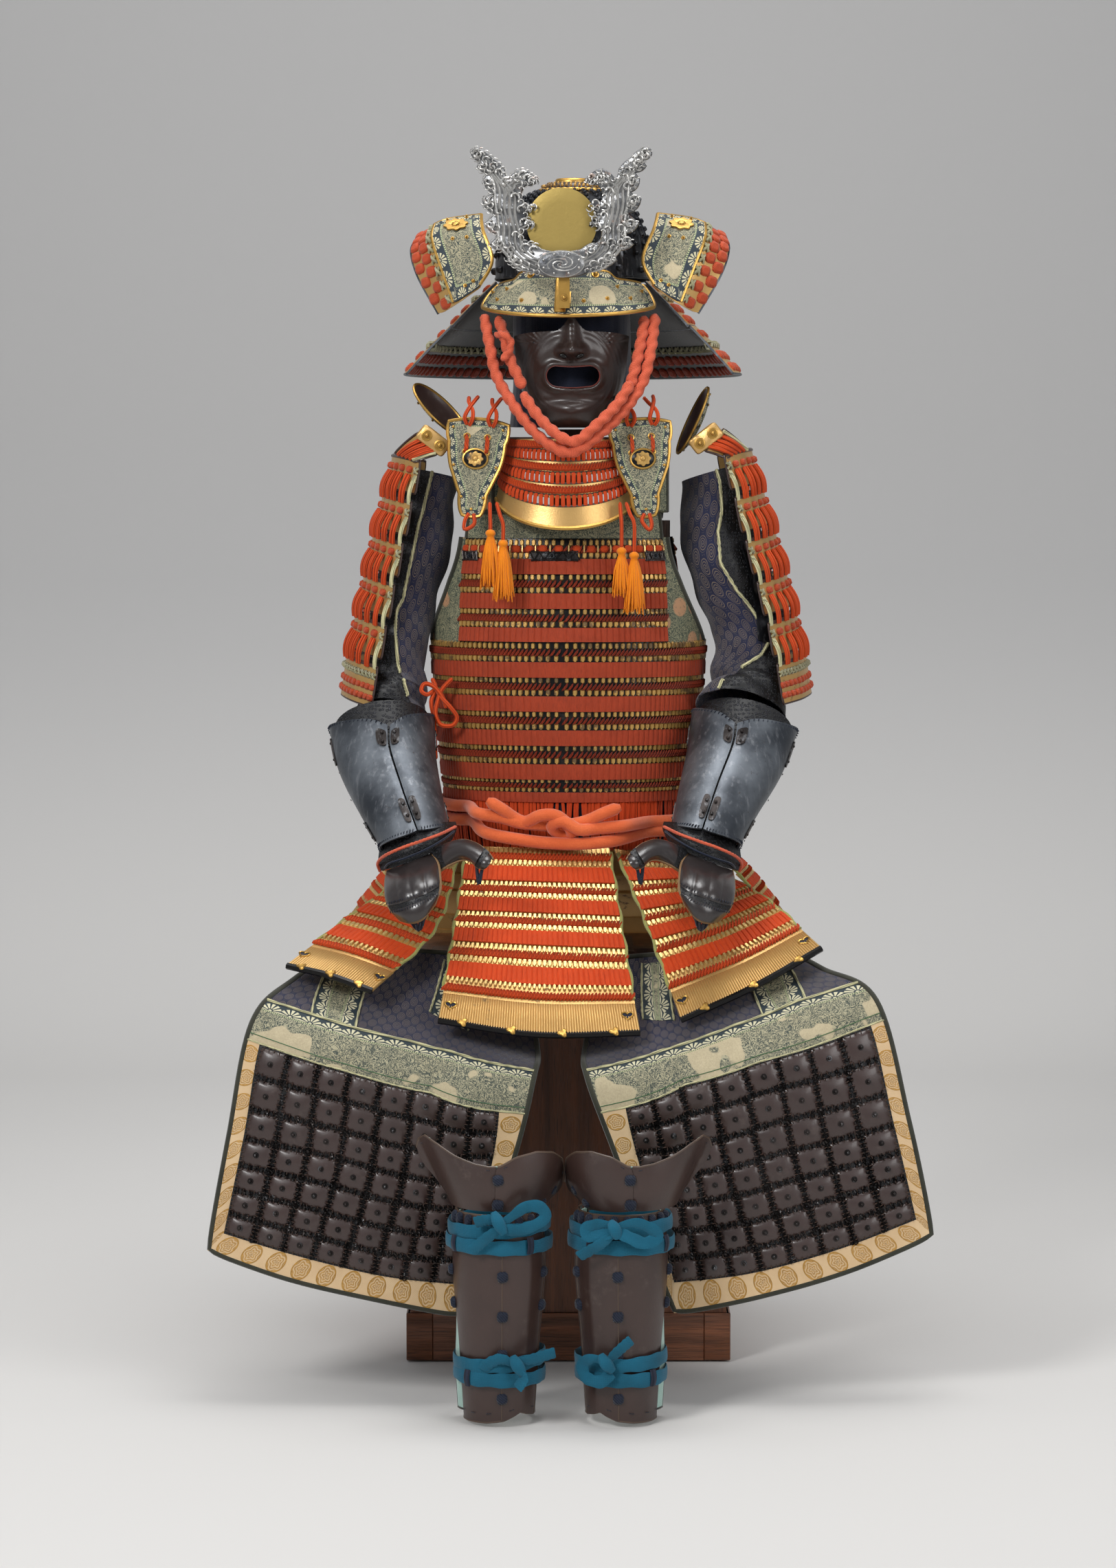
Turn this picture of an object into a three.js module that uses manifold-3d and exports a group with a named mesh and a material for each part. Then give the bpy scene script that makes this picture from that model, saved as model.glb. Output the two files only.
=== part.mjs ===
// Samurai armour, laid out as if seated on its wooden armour box.
// Millimetres, +Z up, front towards -Y, origin at the middle of the underside of the box.
import * as THREE from 'three';
import { mergeVertices } from 'three/addons/utils/BufferGeometryUtils.js';
import Module from 'manifold-3d';

const wasm = await Module();
wasm.setup();

// ---------------------------------------------------------------- driving dimensions
const BOX = { width: 440, depth: 432, height: 512, wall: 14, lid: 28, rail: 66, proud: 3 };
const TORSO = { y: -95, turn: -4, waistZ: 774, rowPitch: 42.2, chestZ: 985, topZ: 1160, power: 2.3 };
const HELMET = { x: 6, y: -100, turn: -4, rimZ: 1479, bowlHalf: 105, stretch: 1.17, topZ: 1596 };
const PLATE = 3;        // thickness of a lacquered plate
const CLOTH = 2.4;      // thickness of quilted cloth
const GAP = 0.4;        // clearance between neighbouring pieces

// ---------------------------------------------------------------- materials
const finish = (color, roughness, metalness) =>
  new THREE.MeshStandardMaterial({ color, roughness, metalness });
const GILT = finish(0xb08a45, 0.38, 0.8);
const SILVER = finish(0x9a9a9c, 0.35, 0.9);
const DISC = finish(0xb39c58, 0.6, 0.6);
const BLACK = finish(0x141416, 0.35, 0.2);
const IRON = finish(0x3b4047, 0.45, 0.5);
const MASK = finish(0x2c1a15, 0.35, 0.2);
const LEATHER = finish(0x8b8467, 0.7, 0);
const LACED = finish(0x8e2c16, 0.75, 0);
const CORAL = finish(0xd0583a, 0.8, 0);
const BROCADE = finish(0x1c2136, 0.9, 0);
const BROWN = finish(0x2b1c16, 0.35, 0.1);
const SILK = finish(0xa39a84, 0.85, 0);
const TEAL = finish(0x3f6f73, 0.85, 0);
const AMBER = finish(0xd9822b, 0.8, 0);
const WOOD = finish(0x6d4a30, 0.6, 0);
const DARKCLOTH = finish(0x14161f, 0.95, 0);

// ---------------------------------------------------------------- shape helpers
const V = (x, y, z) => new THREE.Vector3(x, y, z);
const along = (points, t) => (points.length === 1 ? points[0].clone()
  : new THREE.CatmullRomCurve3(points, false, 'catmullrom', 0.5).getPoint(t));

/** A smooth surface through a short net of points: rows from top to bottom, columns left to right. */
function net(rows) {
  const pts = rows.map((row) => row.map((p) => V(p.x, p.y, p.z)));
  return (u, v) => along(pts.map((row) => along(row, u)), v);
}

/** Mirror image of a net about the plane x = at. */
const mirrored = (rows, at = 0) => rows.map((row) => row.map((p) => ({ x: 2 * at - p.x, y: p.y, z: p.z })));

/**
 * Closed plate of even thickness under a surface. steps holds {v, out}: where each row of points
 * runs and how far it stands off, so that overlapping lames make a stepped outside.
 */
function plate(surface, nu, steps, thick, { ring = false, hollowTowards = null } = {}) {
  const rows = typeof steps === 'number'
    ? Array.from({ length: steps + 1 }, (_, j) => ({ v: j / steps, out: 0 })) : steps;
  const nj = rows.length - 1;
  const ni = ring ? nu : nu + 1;
  const at = rows.map((r) => Array.from({ length: ni }, (_, i) => surface(i / nu, r.v)));
  const e = 0.004;
  const normal = (i, j) => {
    const u = i / nu;
    const { v } = rows[j];
    const a = surface(ring ? (u + e) % 1 : Math.min(1, u + e), v);
    const b = surface(ring ? (u - e + 1) % 1 : Math.max(0, u - e), v);
    const c = surface(u, Math.min(1, v + e));
    const d = surface(u, Math.max(0, v - e));
    return a.sub(b).cross(c.sub(d)).normalize();
  };
  const inside = hollowTowards ? V(hollowTowards.x, hollowTowards.y, hollowTowards.z) : null;
  const positions = [];
  const outer = [];
  const inner = [];
  const push = (p) => { positions.push(p.x, p.y, p.z); return positions.length / 3 - 1; };
  for (let j = 0; j <= nj; j += 1) {
    outer.push([]); inner.push([]);
    for (let i = 0; i < ni; i += 1) {
      const n = normal(i, j);
      if (inside && n.dot(at[j][i].clone().sub(inside)) < 0) n.negate();
      outer[j].push(push(at[j][i].clone().addScaledVector(n, rows[j].out)));
      inner[j].push(push(at[j][i].clone().addScaledVector(n, -thick)));
    }
  }
  const index = [];
  const quad = (a, b, c, d) => index.push(a, b, c, a, c, d);
  const wrap = (i) => (ring ? i % ni : i);
  const columns = ring ? ni : ni - 1;
  for (let j = 0; j < nj; j += 1) {
    for (let i = 0; i < columns; i += 1) {
      const k = wrap(i + 1);
      quad(outer[j][i], outer[j + 1][i], outer[j + 1][k], outer[j][k]);
      quad(inner[j][i], inner[j][k], inner[j + 1][k], inner[j + 1][i]);
    }
    if (!ring) {
      quad(outer[j][0], inner[j][0], inner[j + 1][0], outer[j + 1][0]);
      quad(outer[j][ni - 1], outer[j + 1][ni - 1], inner[j + 1][ni - 1], inner[j][ni - 1]);
    }
  }
  for (let i = 0; i < columns; i += 1) {
    const k = wrap(i + 1);
    quad(outer[0][i], outer[0][k], inner[0][k], inner[0][i]);
    quad(outer[nj][i], inner[nj][i], inner[nj][k], outer[nj][k]);
  }
  return closed(positions, index);
}

/** Buffer geometry with its faces turned outwards. */
function closed(positions, index) {
  let volume = 0;
  const p = (i) => V(positions[3 * i], positions[3 * i + 1], positions[3 * i + 2]);
  for (let f = 0; f < index.length; f += 3) {
    volume += p(index[f]).dot(p(index[f + 1]).cross(p(index[f + 2]))) / 6;
  }
  if (volume < 0) for (let f = 0; f < index.length; f += 3) [index[f], index[f + 1]] = [index[f + 1], index[f]];
  const geometry = new THREE.BufferGeometry();
  geometry.setAttribute('position', new THREE.Float32BufferAttribute(positions, 3));
  geometry.setIndex(index);
  geometry.computeVertexNormals();
  return geometry;
}

/** Rows for lames that overlap like shingles: each foot stands off over the head of the next. */
function lames(count, standOff, from = 0, to = 1) {
  const rows = [];
  for (let k = 0; k < count; k += 1) {
    const a = from + ((to - from) * k) / count;
    const b = from + ((to - from) * (k + 1)) / count;
    rows.push({ v: a + (k ? 0.012 * (to - from) : 0), out: 0 }, { v: b, out: standOff });
  }
  return rows;
}

/** Round cord or tube through points. */
function cord(points, diameter, steps = 28, sides = 8) {
  const curve = new THREE.CatmullRomCurve3(points.map((p) => V(p.x, p.y, p.z)), false, 'catmullrom', 0.5);
  const shape = new THREE.Shape();
  for (let k = 0; k < sides; k += 1) {
    const a = (2 * Math.PI * k) / sides;
    const x = (Math.cos(a) * diameter) / 2;
    const y = (Math.sin(a) * diameter) / 2;
    if (k) shape.lineTo(x, y); else shape.moveTo(x, y);
  }
  shape.closePath();
  return new THREE.ExtrudeGeometry(shape, { steps, bevelEnabled: false, extrudePath: curve });
}

/** Hollow tube along stations {x, y, z, wide, deep, lean}: wide runs across X, deep across the other way. */
function sleeve(stations, wall, nu = 16, nv = 9) {
  const centre = stations.map((s) => V(s.x, s.y, s.z));
  const size = stations.map((s) => V(s.wide / 2, s.deep / 2, 0));
  const path = new THREE.CatmullRomCurve3(centre, false, 'catmullrom', 0.5);
  const surface = (u, v) => {
    const c = path.getPoint(v);
    const t = path.getTangent(v);
    const side = V(1, 0, 0).addScaledVector(t, -t.x).normalize();
    const front = side.clone().cross(t).normalize();
    const s = along(size, v);
    const a = 2 * Math.PI * u;
    return c.addScaledVector(side, s.x * Math.cos(a)).addScaledVector(front, s.y * Math.sin(a));
  };
  const towards = path.getPoint(0.5);
  const geometry = plateRing(surface, nu, nv, wall, path);
  return { geometry, towards };
}

/** Ring-shaped wall whose inside is found from a centre line. */
function plateRing(surface, nu, nv, wall, path) {
  const positions = [];
  const outer = [];
  const inner = [];
  const push = (p) => { positions.push(p.x, p.y, p.z); return positions.length / 3 - 1; };
  for (let j = 0; j <= nv; j += 1) {
    outer.push([]); inner.push([]);
    const c = path.getPoint(j / nv);
    for (let i = 0; i < nu; i += 1) {
      const p = surface(i / nu, j / nv);
      const r = p.clone().sub(c);
      outer[j].push(push(p));
      inner[j].push(push(c.clone().addScaledVector(r, 1 - wall / r.length())));
    }
  }
  const index = [];
  const quad = (a, b, c, d) => index.push(a, b, c, a, c, d);
  for (let i = 0; i < nu; i += 1) {
    const k = (i + 1) % nu;
    for (let j = 0; j < nv; j += 1) {
      quad(outer[j][i], outer[j + 1][i], outer[j + 1][k], outer[j][k]);
      quad(inner[j][i], inner[j][k], inner[j + 1][k], inner[j + 1][i]);
    }
    quad(outer[0][i], outer[0][k], inner[0][k], inner[0][i]);
    quad(outer[nv][i], inner[nv][i], inner[nv][k], outer[nv][k]);
  }
  return closed(positions, index);
}

/** Flat outline in X and Z, extruded along Y from yFront to yBack. */
function upright(points, yFront, yBack, curveSegments = 6) {
  const shape = new THREE.Shape();
  points.forEach((p, k) => {
    if (!k) shape.moveTo(p.x, p.z); else if (p.viaX !== undefined) shape.quadraticCurveTo(p.viaX, p.viaZ, p.x, p.z);
    else shape.lineTo(p.x, p.z);
  });
  const g = new THREE.ExtrudeGeometry(shape, { depth: yBack - yFront, bevelEnabled: false, curveSegments });
  g.rotateX(Math.PI / 2);
  g.translate(0, yBack, 0);
  return g;
}

const block = (x0, x1, y0, y1, z0, z1) => {
  const g = new THREE.BoxGeometry(x1 - x0, y1 - y0, z1 - z0);
  g.translate((x0 + x1) / 2, (y0 + y1) / 2, (z0 + z1) / 2);
  return g;
};

/** Solid for joining and cutting. */
function solid(geometry) {
  const g = geometry.clone();
  g.deleteAttribute('normal');
  if (g.getAttribute('uv')) g.deleteAttribute('uv');
  const m = mergeVertices(g, 1e-4);
  return new wasm.Manifold(new wasm.Mesh({
    numProp: 3,
    vertProperties: new Float32Array(m.getAttribute('position').array),
    triVerts: new Uint32Array(m.getIndex().array),
  }));
}

function fromSolid(manifold) {
  const mesh = manifold.getMesh();
  const g = new THREE.BufferGeometry();
  g.setAttribute('position', new THREE.Float32BufferAttribute(Array.from(mesh.vertProperties), 3));
  g.setIndex(Array.from(mesh.triVerts));
  g.computeVertexNormals();
  return g;
}
const joined = (...parts) => fromSolid(parts.map(solid).reduce((a, b) => a.add(b)));

const group = new THREE.Group();
function add(parent, name, geometry, material) {
  const mesh = new THREE.Mesh(geometry, material);
  mesh.name = name;
  parent.add(mesh);
  return mesh;
}
/** A group turned about a vertical line at (x, y); pieces keep their own coordinates. */
function turned(x, y, degrees) {
  const outer = new THREE.Group();
  outer.position.set(x, y, 0);
  outer.rotation.z = THREE.MathUtils.degToRad(degrees);
  const inner = new THREE.Group();
  inner.position.set(-x, -y, 0);
  outer.add(inner);
  group.add(outer);
  return inner;
}

// ---------------------------------------------------------------- armour box
{
  const w = BOX.width / 2;
  const d = BOX.depth / 2;
  const t = BOX.wall;
  const body = solid(block(-w, w, -d, d, 0, BOX.rail))
    .add(solid(block(-w + BOX.proud, w - BOX.proud, -d + BOX.proud, d - BOX.proud, 5, BOX.height)))
    .subtract(solid(block(-w + t, w - t, -d + t, d - t, t, BOX.height + 5)));
  add(group, 'box_body', fromSolid(body), WOOD);
  add(group, 'box_lid', block(-w - 2, w + 2, -d - 2, d + 2, BOX.height + GAP, BOX.height + BOX.lid), WOOD);
}
const SEAT = BOX.height + BOX.lid;   // top of the closed lid

// ---------------------------------------------------------------- wooden stand inside the armour
{
  const y = TORSO.y;
  const shape = [
    { x: -24, z: SEAT + GAP }, { x: 24, z: SEAT + GAP }, { x: 24, z: 1120 }, { x: 140, z: 1120 }, { x: 140, z: 1150 },
    { x: 24, z: 1150 }, { x: 24, z: 1275 }, { x: -24, z: 1275 }, { x: -24, z: 1150 }, { x: -140, z: 1150 },
    { x: -140, z: 1120 }, { x: -24, z: 1120 },
  ];
  const post = upright(shape, y - 18, y + 18);
  // a foot and a low front rail that carries the thigh guards
  const foot = block(-90, 90, y - 90, y + 90, SEAT + GAP, SEAT + 22);
  const arms = [-190, 160].map((x) => block(x, x + 30, -280, -60, SEAT + GAP, SEAT + 14));
  const bar = block(-240, 240, -290, -262, SEAT + GAP, SEAT + 14);
  const tie = block(-190, 190, -88, -60, SEAT + GAP, SEAT + 14);
  add(group, 'stand', joined(post, foot, tie, ...arms, bar), WOOD);
  const head = new THREE.SphereGeometry(1, 14, 10);
  head.scale(52, 62, 80);
  head.translate(2, -100, 1356);
  add(group, 'head_form', head, DARKCLOTH);
}

// ---------------------------------------------------------------- cuirass
const torso = turned(0, TORSO.y, TORSO.turn);
const GIRTH = [
  { z: 700, a: 163, b: 124 }, { z: 774, a: 168, b: 127 }, { z: 880, a: 180, b: 133 },
  { z: 985, a: 187, b: 136 }, { z: 1070, a: 184, b: 130 }, { z: 1160, a: 172, b: 116 },
];
/** Half width and half depth of the cuirass at a height. */
function girth(z) {
  let k = 0;
  while (k < GIRTH.length - 2 && z > GIRTH[k + 1].z) k += 1;
  const p = GIRTH[k];
  const q = GIRTH[k + 1];
  const t = (z - p.z) / (q.z - p.z);
  return { a: p.a + (q.a - p.a) * t, b: p.b + (q.b - p.b) * t };
}
/** Point on the cuirass: degrees round from the front middle (viewer's right positive), height, stand-off. */
function round(degrees, z, out = 0) {
  const { a, b } = girth(z);
  const r = THREE.MathUtils.degToRad(degrees);
  const k = 2 / TORSO.power;
  const s = Math.sin(r);
  const c = Math.cos(r);
  return V((a + out) * Math.sign(s) * Math.abs(s) ** k, TORSO.y - (b + out) * Math.sign(c) * Math.abs(c) ** k, z);
}
const panel = (d0, d1, z0, z1, out = 0) => (u, v) =>
  round(d0 + (d1 - d0) * u, z0 + (z1 - z0) * v, out);
const TRUNK = { x: 0, y: TORSO.y, z: 950 };

add(torso, 'chest_panel', plate(panel(-46, 46, 1160, 1130), 12, 2, PLATE + 1, { hollowTowards: TRUNK }), LEATHER);
add(torso, 'chest_lames', plate(panel(-46, 46, 1129.4, 985.6), 12, lames(3, 2.4), PLATE, { hollowTowards: TRUNK }), LACED);
{
  const ring = (u, v) => round(360 * u, TORSO.chestZ - 5 * TORSO.rowPitch * v);
  add(torso, 'body_lames', plate(ring, 28, lames(5, 2.4), PLATE, { ring: true, hollowTowards: { ...TRUNK, z: 880 } }), LACED);
}
add(torso, 'back_lames', plate(panel(130, 230, 1150, 985.6), 12, lames(4, 2.4), PLATE, { hollowTowards: TRUNK }), LACED);
for (const side of [-1, 1]) {
  const name = side < 0 ? 'left' : 'right';
  const edge = (u, v) => {
    const z = 1128 - 142.3 * v;
    const inner = 46.6;
    const outerEdge = 50 + 34 * v * v;
    return round(side * (inner + (outerEdge - inner) * u), z);
  };
  add(torso, `armhole_${name}`, plate(edge, 5, 7, PLATE, { hollowTowards: TRUNK }), LEATHER);
}
{
  const STRAP = [
    [{ x: 97, y: -196, z: 1166 }, { x: 118, y: -190, z: 1165 }, { x: 140, y: -180, z: 1164 }],
    [{ x: 97, y: -168, z: 1215 }, { x: 118, y: -165, z: 1212 }, { x: 139, y: -160, z: 1206 }],
    [{ x: 76, y: -95, z: 1258 }, { x: 107, y: -95, z: 1252 }, { x: 137, y: -95, z: 1240 }],
    [{ x: 72, y: -25, z: 1222 }, { x: 102, y: -28, z: 1216 }, { x: 132, y: -32, z: 1205 }],
    [{ x: 66, y: 14, z: 1156 }, { x: 96, y: 9, z: 1155 }, { x: 124, y: -2, z: 1154 }],
  ];
  const inside = { x: 0, y: -95, z: 1100 };
  add(torso, 'strap_left', plate(net(mirrored(STRAP)), 2, 9, 7, { hollowTowards: inside }), LEATHER);
  add(torso, 'strap_right', plate(net(STRAP), 2, 9, 7, { hollowTowards: inside }), LEATHER);
}

// ---------------------------------------------------------------- leaf plates and shoulder plates
const LEAF = [   // outline of one leaf plate about its own middle, width across and height up
  { x: -41, z: 60 }, { x: 0, z: 66, viaX: -20, viaZ: 66 }, { x: 41, z: 60, viaX: 20, viaZ: 66 },
  { x: 38, z: 34, viaX: 43, viaZ: 44 }, { x: 33, z: 0, viaX: 38, viaZ: 16 }, { x: 18, z: -36, viaX: 24, viaZ: -22 },
  { x: 12, z: -64, viaX: 18, viaZ: -56 }, { x: -12, z: -64, viaX: 0, viaZ: -68 }, { x: -18, z: -36, viaX: -18, viaZ: -56 },
  { x: -33, z: 0, viaX: -24, viaZ: -22 }, { x: -38, z: 34, viaX: -38, viaZ: 16 }, { x: -41, z: 60, viaX: -43, viaZ: 44 },
];
for (const [name, x, z, lean] of [['left', -126, 1222, 5], ['right', 100, 1222, -4]]) {
  const holder = new THREE.Group();
  holder.position.set(x, -229, z);
  holder.rotation.set(THREE.MathUtils.degToRad(-5), THREE.MathUtils.degToRad(lean), THREE.MathUtils.degToRad(x < 0 ? -7 : 7));
  group.add(holder);
  add(holder, `leaf_plate_${name}`, upright(LEAF, -1.5, 1.5, 3), LEATHER);
}
// shallow oval wing plates above the shoulders: middle, way along the long axis, way the hollow faces
const WINGS = [
  { name: 'left', at: { x: -182, y: -150, z: 1293 }, long: { x: 0.72, y: 0.1, z: -0.69 }, open: { x: 0.55, y: -0.45, z: 0.7 } },
  { name: 'right', at: { x: 180, y: -150, z: 1282 }, long: { x: -0.42, y: 0.12, z: -0.9 }, open: { x: -0.83, y: -0.2, z: 0.5 } },
];
for (const wing of WINGS) {
  const dish = new THREE.LatheGeometry([
    [0, 0], [24, 1.5], [44, 7], [50, 11], [48, 12.5], [42, 9], [24, 4.5], [0, 3],
  ].map(([r, h]) => new THREE.Vector2(r, h)), 20);
  dish.scale(1, 1, 0.62);
  const long = V(wing.long.x, wing.long.y, wing.long.z).normalize();
  const open = V(wing.open.x, wing.open.y, wing.open.z);
  const across = long.clone().cross(open).normalize();
  const up = across.clone().cross(long).normalize();
  dish.applyMatrix4(new THREE.Matrix4().makeBasis(long, up, across));
  dish.translate(wing.at.x, wing.at.y, wing.at.z);
  add(group, `shoulder_wing_${wing.name}`, dish, GILT);
}

// ---------------------------------------------------------------- shoulder guards
const SODE_LEFT = [
  [{ x: -196, y: -200, z: 1232 }, { x: -222, y: -170, z: 1238 }, { x: -236, y: -95, z: 1240 }, { x: -222, y: -20, z: 1238 }, { x: -196, y: 10, z: 1232 }],
  [{ x: -220, y: -203, z: 1120 }, { x: -248, y: -170, z: 1128 }, { x: -263, y: -95, z: 1132 }, { x: -248, y: -20, z: 1128 }, { x: -220, y: 12, z: 1120 }],
  [{ x: -243, y: -206, z: 1008 }, { x: -272, y: -172, z: 1018 }, { x: -288, y: -95, z: 1022 }, { x: -272, y: -18, z: 1018 }, { x: -243, y: 14, z: 1008 }],
  [{ x: -266, y: -209, z: 898 }, { x: -296, y: -174, z: 906 }, { x: -312, y: -95, z: 910 }, { x: -296, y: -16, z: 906 }, { x: -266, y: 16, z: 898 }],
];
const SODE_RIGHT = [
  [{ x: 206, y: -200, z: 1240 }, { x: 232, y: -170, z: 1246 }, { x: 246, y: -95, z: 1248 }, { x: 232, y: -20, z: 1246 }, { x: 206, y: 10, z: 1240 }],
  [{ x: 236, y: -203, z: 1124 }, { x: 264, y: -170, z: 1132 }, { x: 279, y: -95, z: 1136 }, { x: 264, y: -20, z: 1132 }, { x: 236, y: 12, z: 1124 }],
  [{ x: 266, y: -206, z: 1012 }, { x: 294, y: -172, z: 1020 }, { x: 309, y: -95, z: 1024 }, { x: 294, y: -18, z: 1020 }, { x: 266, y: 14, z: 1012 }],
  [{ x: 290, y: -209, z: 902 }, { x: 318, y: -174, z: 908 }, { x: 334, y: -95, z: 912 }, { x: 318, y: -16, z: 908 }, { x: 290, y: 16, z: 902 }],
];
add(group, 'shoulder_guard_left', plate(net(SODE_LEFT), 7, lames(6, 5), PLATE, { hollowTowards: { x: -150, y: -95, z: 1070 } }), GILT);
add(group, 'shoulder_guard_right', plate(net(SODE_RIGHT), 7, lames(6, 5), PLATE, { hollowTowards: { x: 150, y: -95, z: 1070 } }), GILT);
for (const [name, x, z, tip] of [['left', -183, 1259, -38], ['right', 186, 1262, 38]]) {
  const bar = new THREE.BoxGeometry(46, 9, 24);
  const holder = new THREE.Group();
  holder.position.set(x, -201, z);
  holder.rotation.y = THREE.MathUtils.degToRad(-tip);
  group.add(holder);
  add(holder, `shoulder_block_${name}`, bar, GILT);
}

// ---------------------------------------------------------------- sleeves, forearms, hands
const ARM_LEFT = [
  { x: -190, y: -100, z: 1214, wide: 78, deep: 112 }, { x: -208, y: -106, z: 1120, wide: 84, deep: 118 },
  { x: -230, y: -122, z: 1010, wide: 84, deep: 116 }, { x: -235, y: -146, z: 930, wide: 84, deep: 98 },
  { x: -242, y: -168, z: 888, wide: 90, deep: 92 },
];
const ARM_RIGHT = [
  { x: 196, y: -100, z: 1214, wide: 78, deep: 112 }, { x: 222, y: -106, z: 1120, wide: 88, deep: 118 },
  { x: 248, y: -122, z: 1010, wide: 94, deep: 116 }, { x: 248, y: -150, z: 930, wide: 100, deep: 108 },
  { x: 242, y: -178, z: 888, wide: 108, deep: 104 },
];
add(group, 'sleeve_left', sleeve(ARM_LEFT, CLOTH).geometry, BROCADE);
add(group, 'sleeve_right', sleeve(ARM_RIGHT, CLOTH).geometry, BROCADE);
const FORE_LEFT = [
  { x: -254, y: -186, z: 874, wide: 138, deep: 116 }, { x: -246, y: -226, z: 826, wide: 128, deep: 108 },
  { x: -226, y: -276, z: 774, wide: 108, deep: 96 }, { x: -206, y: -318, z: 730, wide: 90, deep: 84 },
];
const FORE_RIGHT = [
  { x: 240, y: -186, z: 876, wide: 140, deep: 116 }, { x: 226, y: -226, z: 828, wide: 128, deep: 108 },
  { x: 202, y: -276, z: 776, wide: 106, deep: 96 }, { x: 184, y: -318, z: 732, wide: 88, deep: 84 },
];
add(group, 'forearm_left', sleeve(FORE_LEFT, PLATE, 16, 6).geometry, IRON);
add(group, 'forearm_right', sleeve(FORE_RIGHT, PLATE, 16, 6).geometry, IRON);
const HAND_LEFT = [
  [{ x: -250, y: -342, z: 694 }, { x: -215, y: -368, z: 718 }, { x: -180, y: -372, z: 732 }, { x: -148, y: -352, z: 736 }],
  [{ x: -248, y: -392, z: 676 }, { x: -212, y: -420, z: 694 }, { x: -172, y: -424, z: 708 }, { x: -128, y: -402, z: 716 }],
  [{ x: -238, y: -424, z: 656 }, { x: -205, y: -448, z: 664 }, { x: -162, y: -452, z: 672 }, { x: -108, y: -430, z: 704 }],
  [{ x: -218, y: -442, z: 634 }, { x: -196, y: -456, z: 634 }, { x: -168, y: -460, z: 638 }, { x: -128, y: -452, z: 676 }],
];
const HAND_RIGHT = [
  [{ x: 148, y: -352, z: 738 }, { x: 172, y: -372, z: 734 }, { x: 198, y: -368, z: 722 }, { x: 228, y: -342, z: 700 }],
  [{ x: 112, y: -402, z: 712 }, { x: 152, y: -424, z: 708 }, { x: 190, y: -420, z: 696 }, { x: 224, y: -392, z: 678 }],
  [{ x: 84, y: -430, z: 694 }, { x: 136, y: -452, z: 672 }, { x: 178, y: -448, z: 664 }, { x: 212, y: -424, z: 656 }],
  [{ x: 102, y: -452, z: 668 }, { x: 140, y: -460, z: 636 }, { x: 168, y: -456, z: 632 }, { x: 192, y: -442, z: 634 }],
];
add(group, 'hand_guard_left', plate(net(HAND_LEFT), 8, 7, 5, { hollowTowards: { x: -190, y: -300, z: 600 } }), BROWN);
add(group, 'hand_guard_right', plate(net(HAND_RIGHT), 8, 7, 5, { hollowTowards: { x: 170, y: -300, z: 600 } }), BROWN);

// ---------------------------------------------------------------- helmet
const helmet = turned(HELMET.x, HELMET.y, HELMET.turn);
const hx = HELMET.x;
const hy = HELMET.y;
{
  const zr = HELMET.rimZ;
  const profile = [
    [0, HELMET.topZ], [50, HELMET.topZ], [64, 1589], [80, 1575], [93, 1556], [101, 1532], [105, 1505], [105, zr],
    [102, zr], [102, 1505], [98, 1531], [90, 1554], [78, 1572], [62, 1585], [48, 1592.6], [0, 1592.6],
  ];
  const bowl = new THREE.LatheGeometry(profile.reverse().map(([r, z]) => new THREE.Vector2(r, z)), 22);
  bowl.rotateX(Math.PI / 2);
  bowl.scale(1, HELMET.stretch, 1);
  bowl.translate(hx, hy, 0);
  add(helmet, 'helmet_bowl', bowl, BLACK);
  const crown = new THREE.LatheGeometry([
    [0, 1596.5], [46, 1596.5], [50, 1599], [48, 1602], [40, 1603], [38, 1608], [30, 1609], [27, 1615], [0, 1617],
  ].map(([r, z]) => new THREE.Vector2(r, z)), 16);
  crown.rotateX(Math.PI / 2);
  crown.translate(hx, hy, 0);
  add(helmet, 'helmet_crown', crown, GILT);
}
/** Point on an oval about the helmet, degrees from the front middle. */
const oval = (degrees, r, z, stretch = HELMET.stretch) => {
  const a = THREE.MathUtils.degToRad(degrees);
  return V(hx + r * Math.sin(a), hy - r * stretch * Math.cos(a), z);
};
{
  const visor = (u, v) => {
    const d = -68 + 136 * u;
    const c = Math.cos(THREE.MathUtils.degToRad(d));
    const top = oval(d * 0.97, 106.4, 1469 + 9 * c, HELMET.stretch);
    const foot = V(hx + 128 * Math.sin(THREE.MathUtils.degToRad(d * 1.0)), hy - (52 + 110 * c), 1447 - 22 * c);
    return top.lerp(foot, v);
  };
  add(helmet, 'helmet_visor', plate(visor, 18, 3, 2.6, { hollowTowards: { x: hx, y: hy - 60, z: 1380 } }), LEATHER);
}
const NECK = [   // head and foot of each neck lame: radius, height, and how far round it reaches
  { name: 'neck_guard_upper', r0: 108, z0: 1476, r1: 169, z1: 1416, reach: 108 },
  { name: 'neck_guard_lower', r0: 170.5, z0: 1415, r1: 232, z1: 1351, reach: 106 },
];
for (const lame of NECK) {
  const surface = (u, v) => {
    const d = 180 + lame.reach * (2 * u - 1);
    const r = lame.r0 + (lame.r1 - lame.r0) * v;
    return oval(d, r, lame.z0 + (lame.z1 - lame.z0) * v, 1 + 0.17 * (108 / r));
  };
  add(helmet, lame.name, plate(surface, 20, 2, PLATE, { hollowTowards: { x: hx, y: hy, z: 1250 } }), GILT);
}
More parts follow.
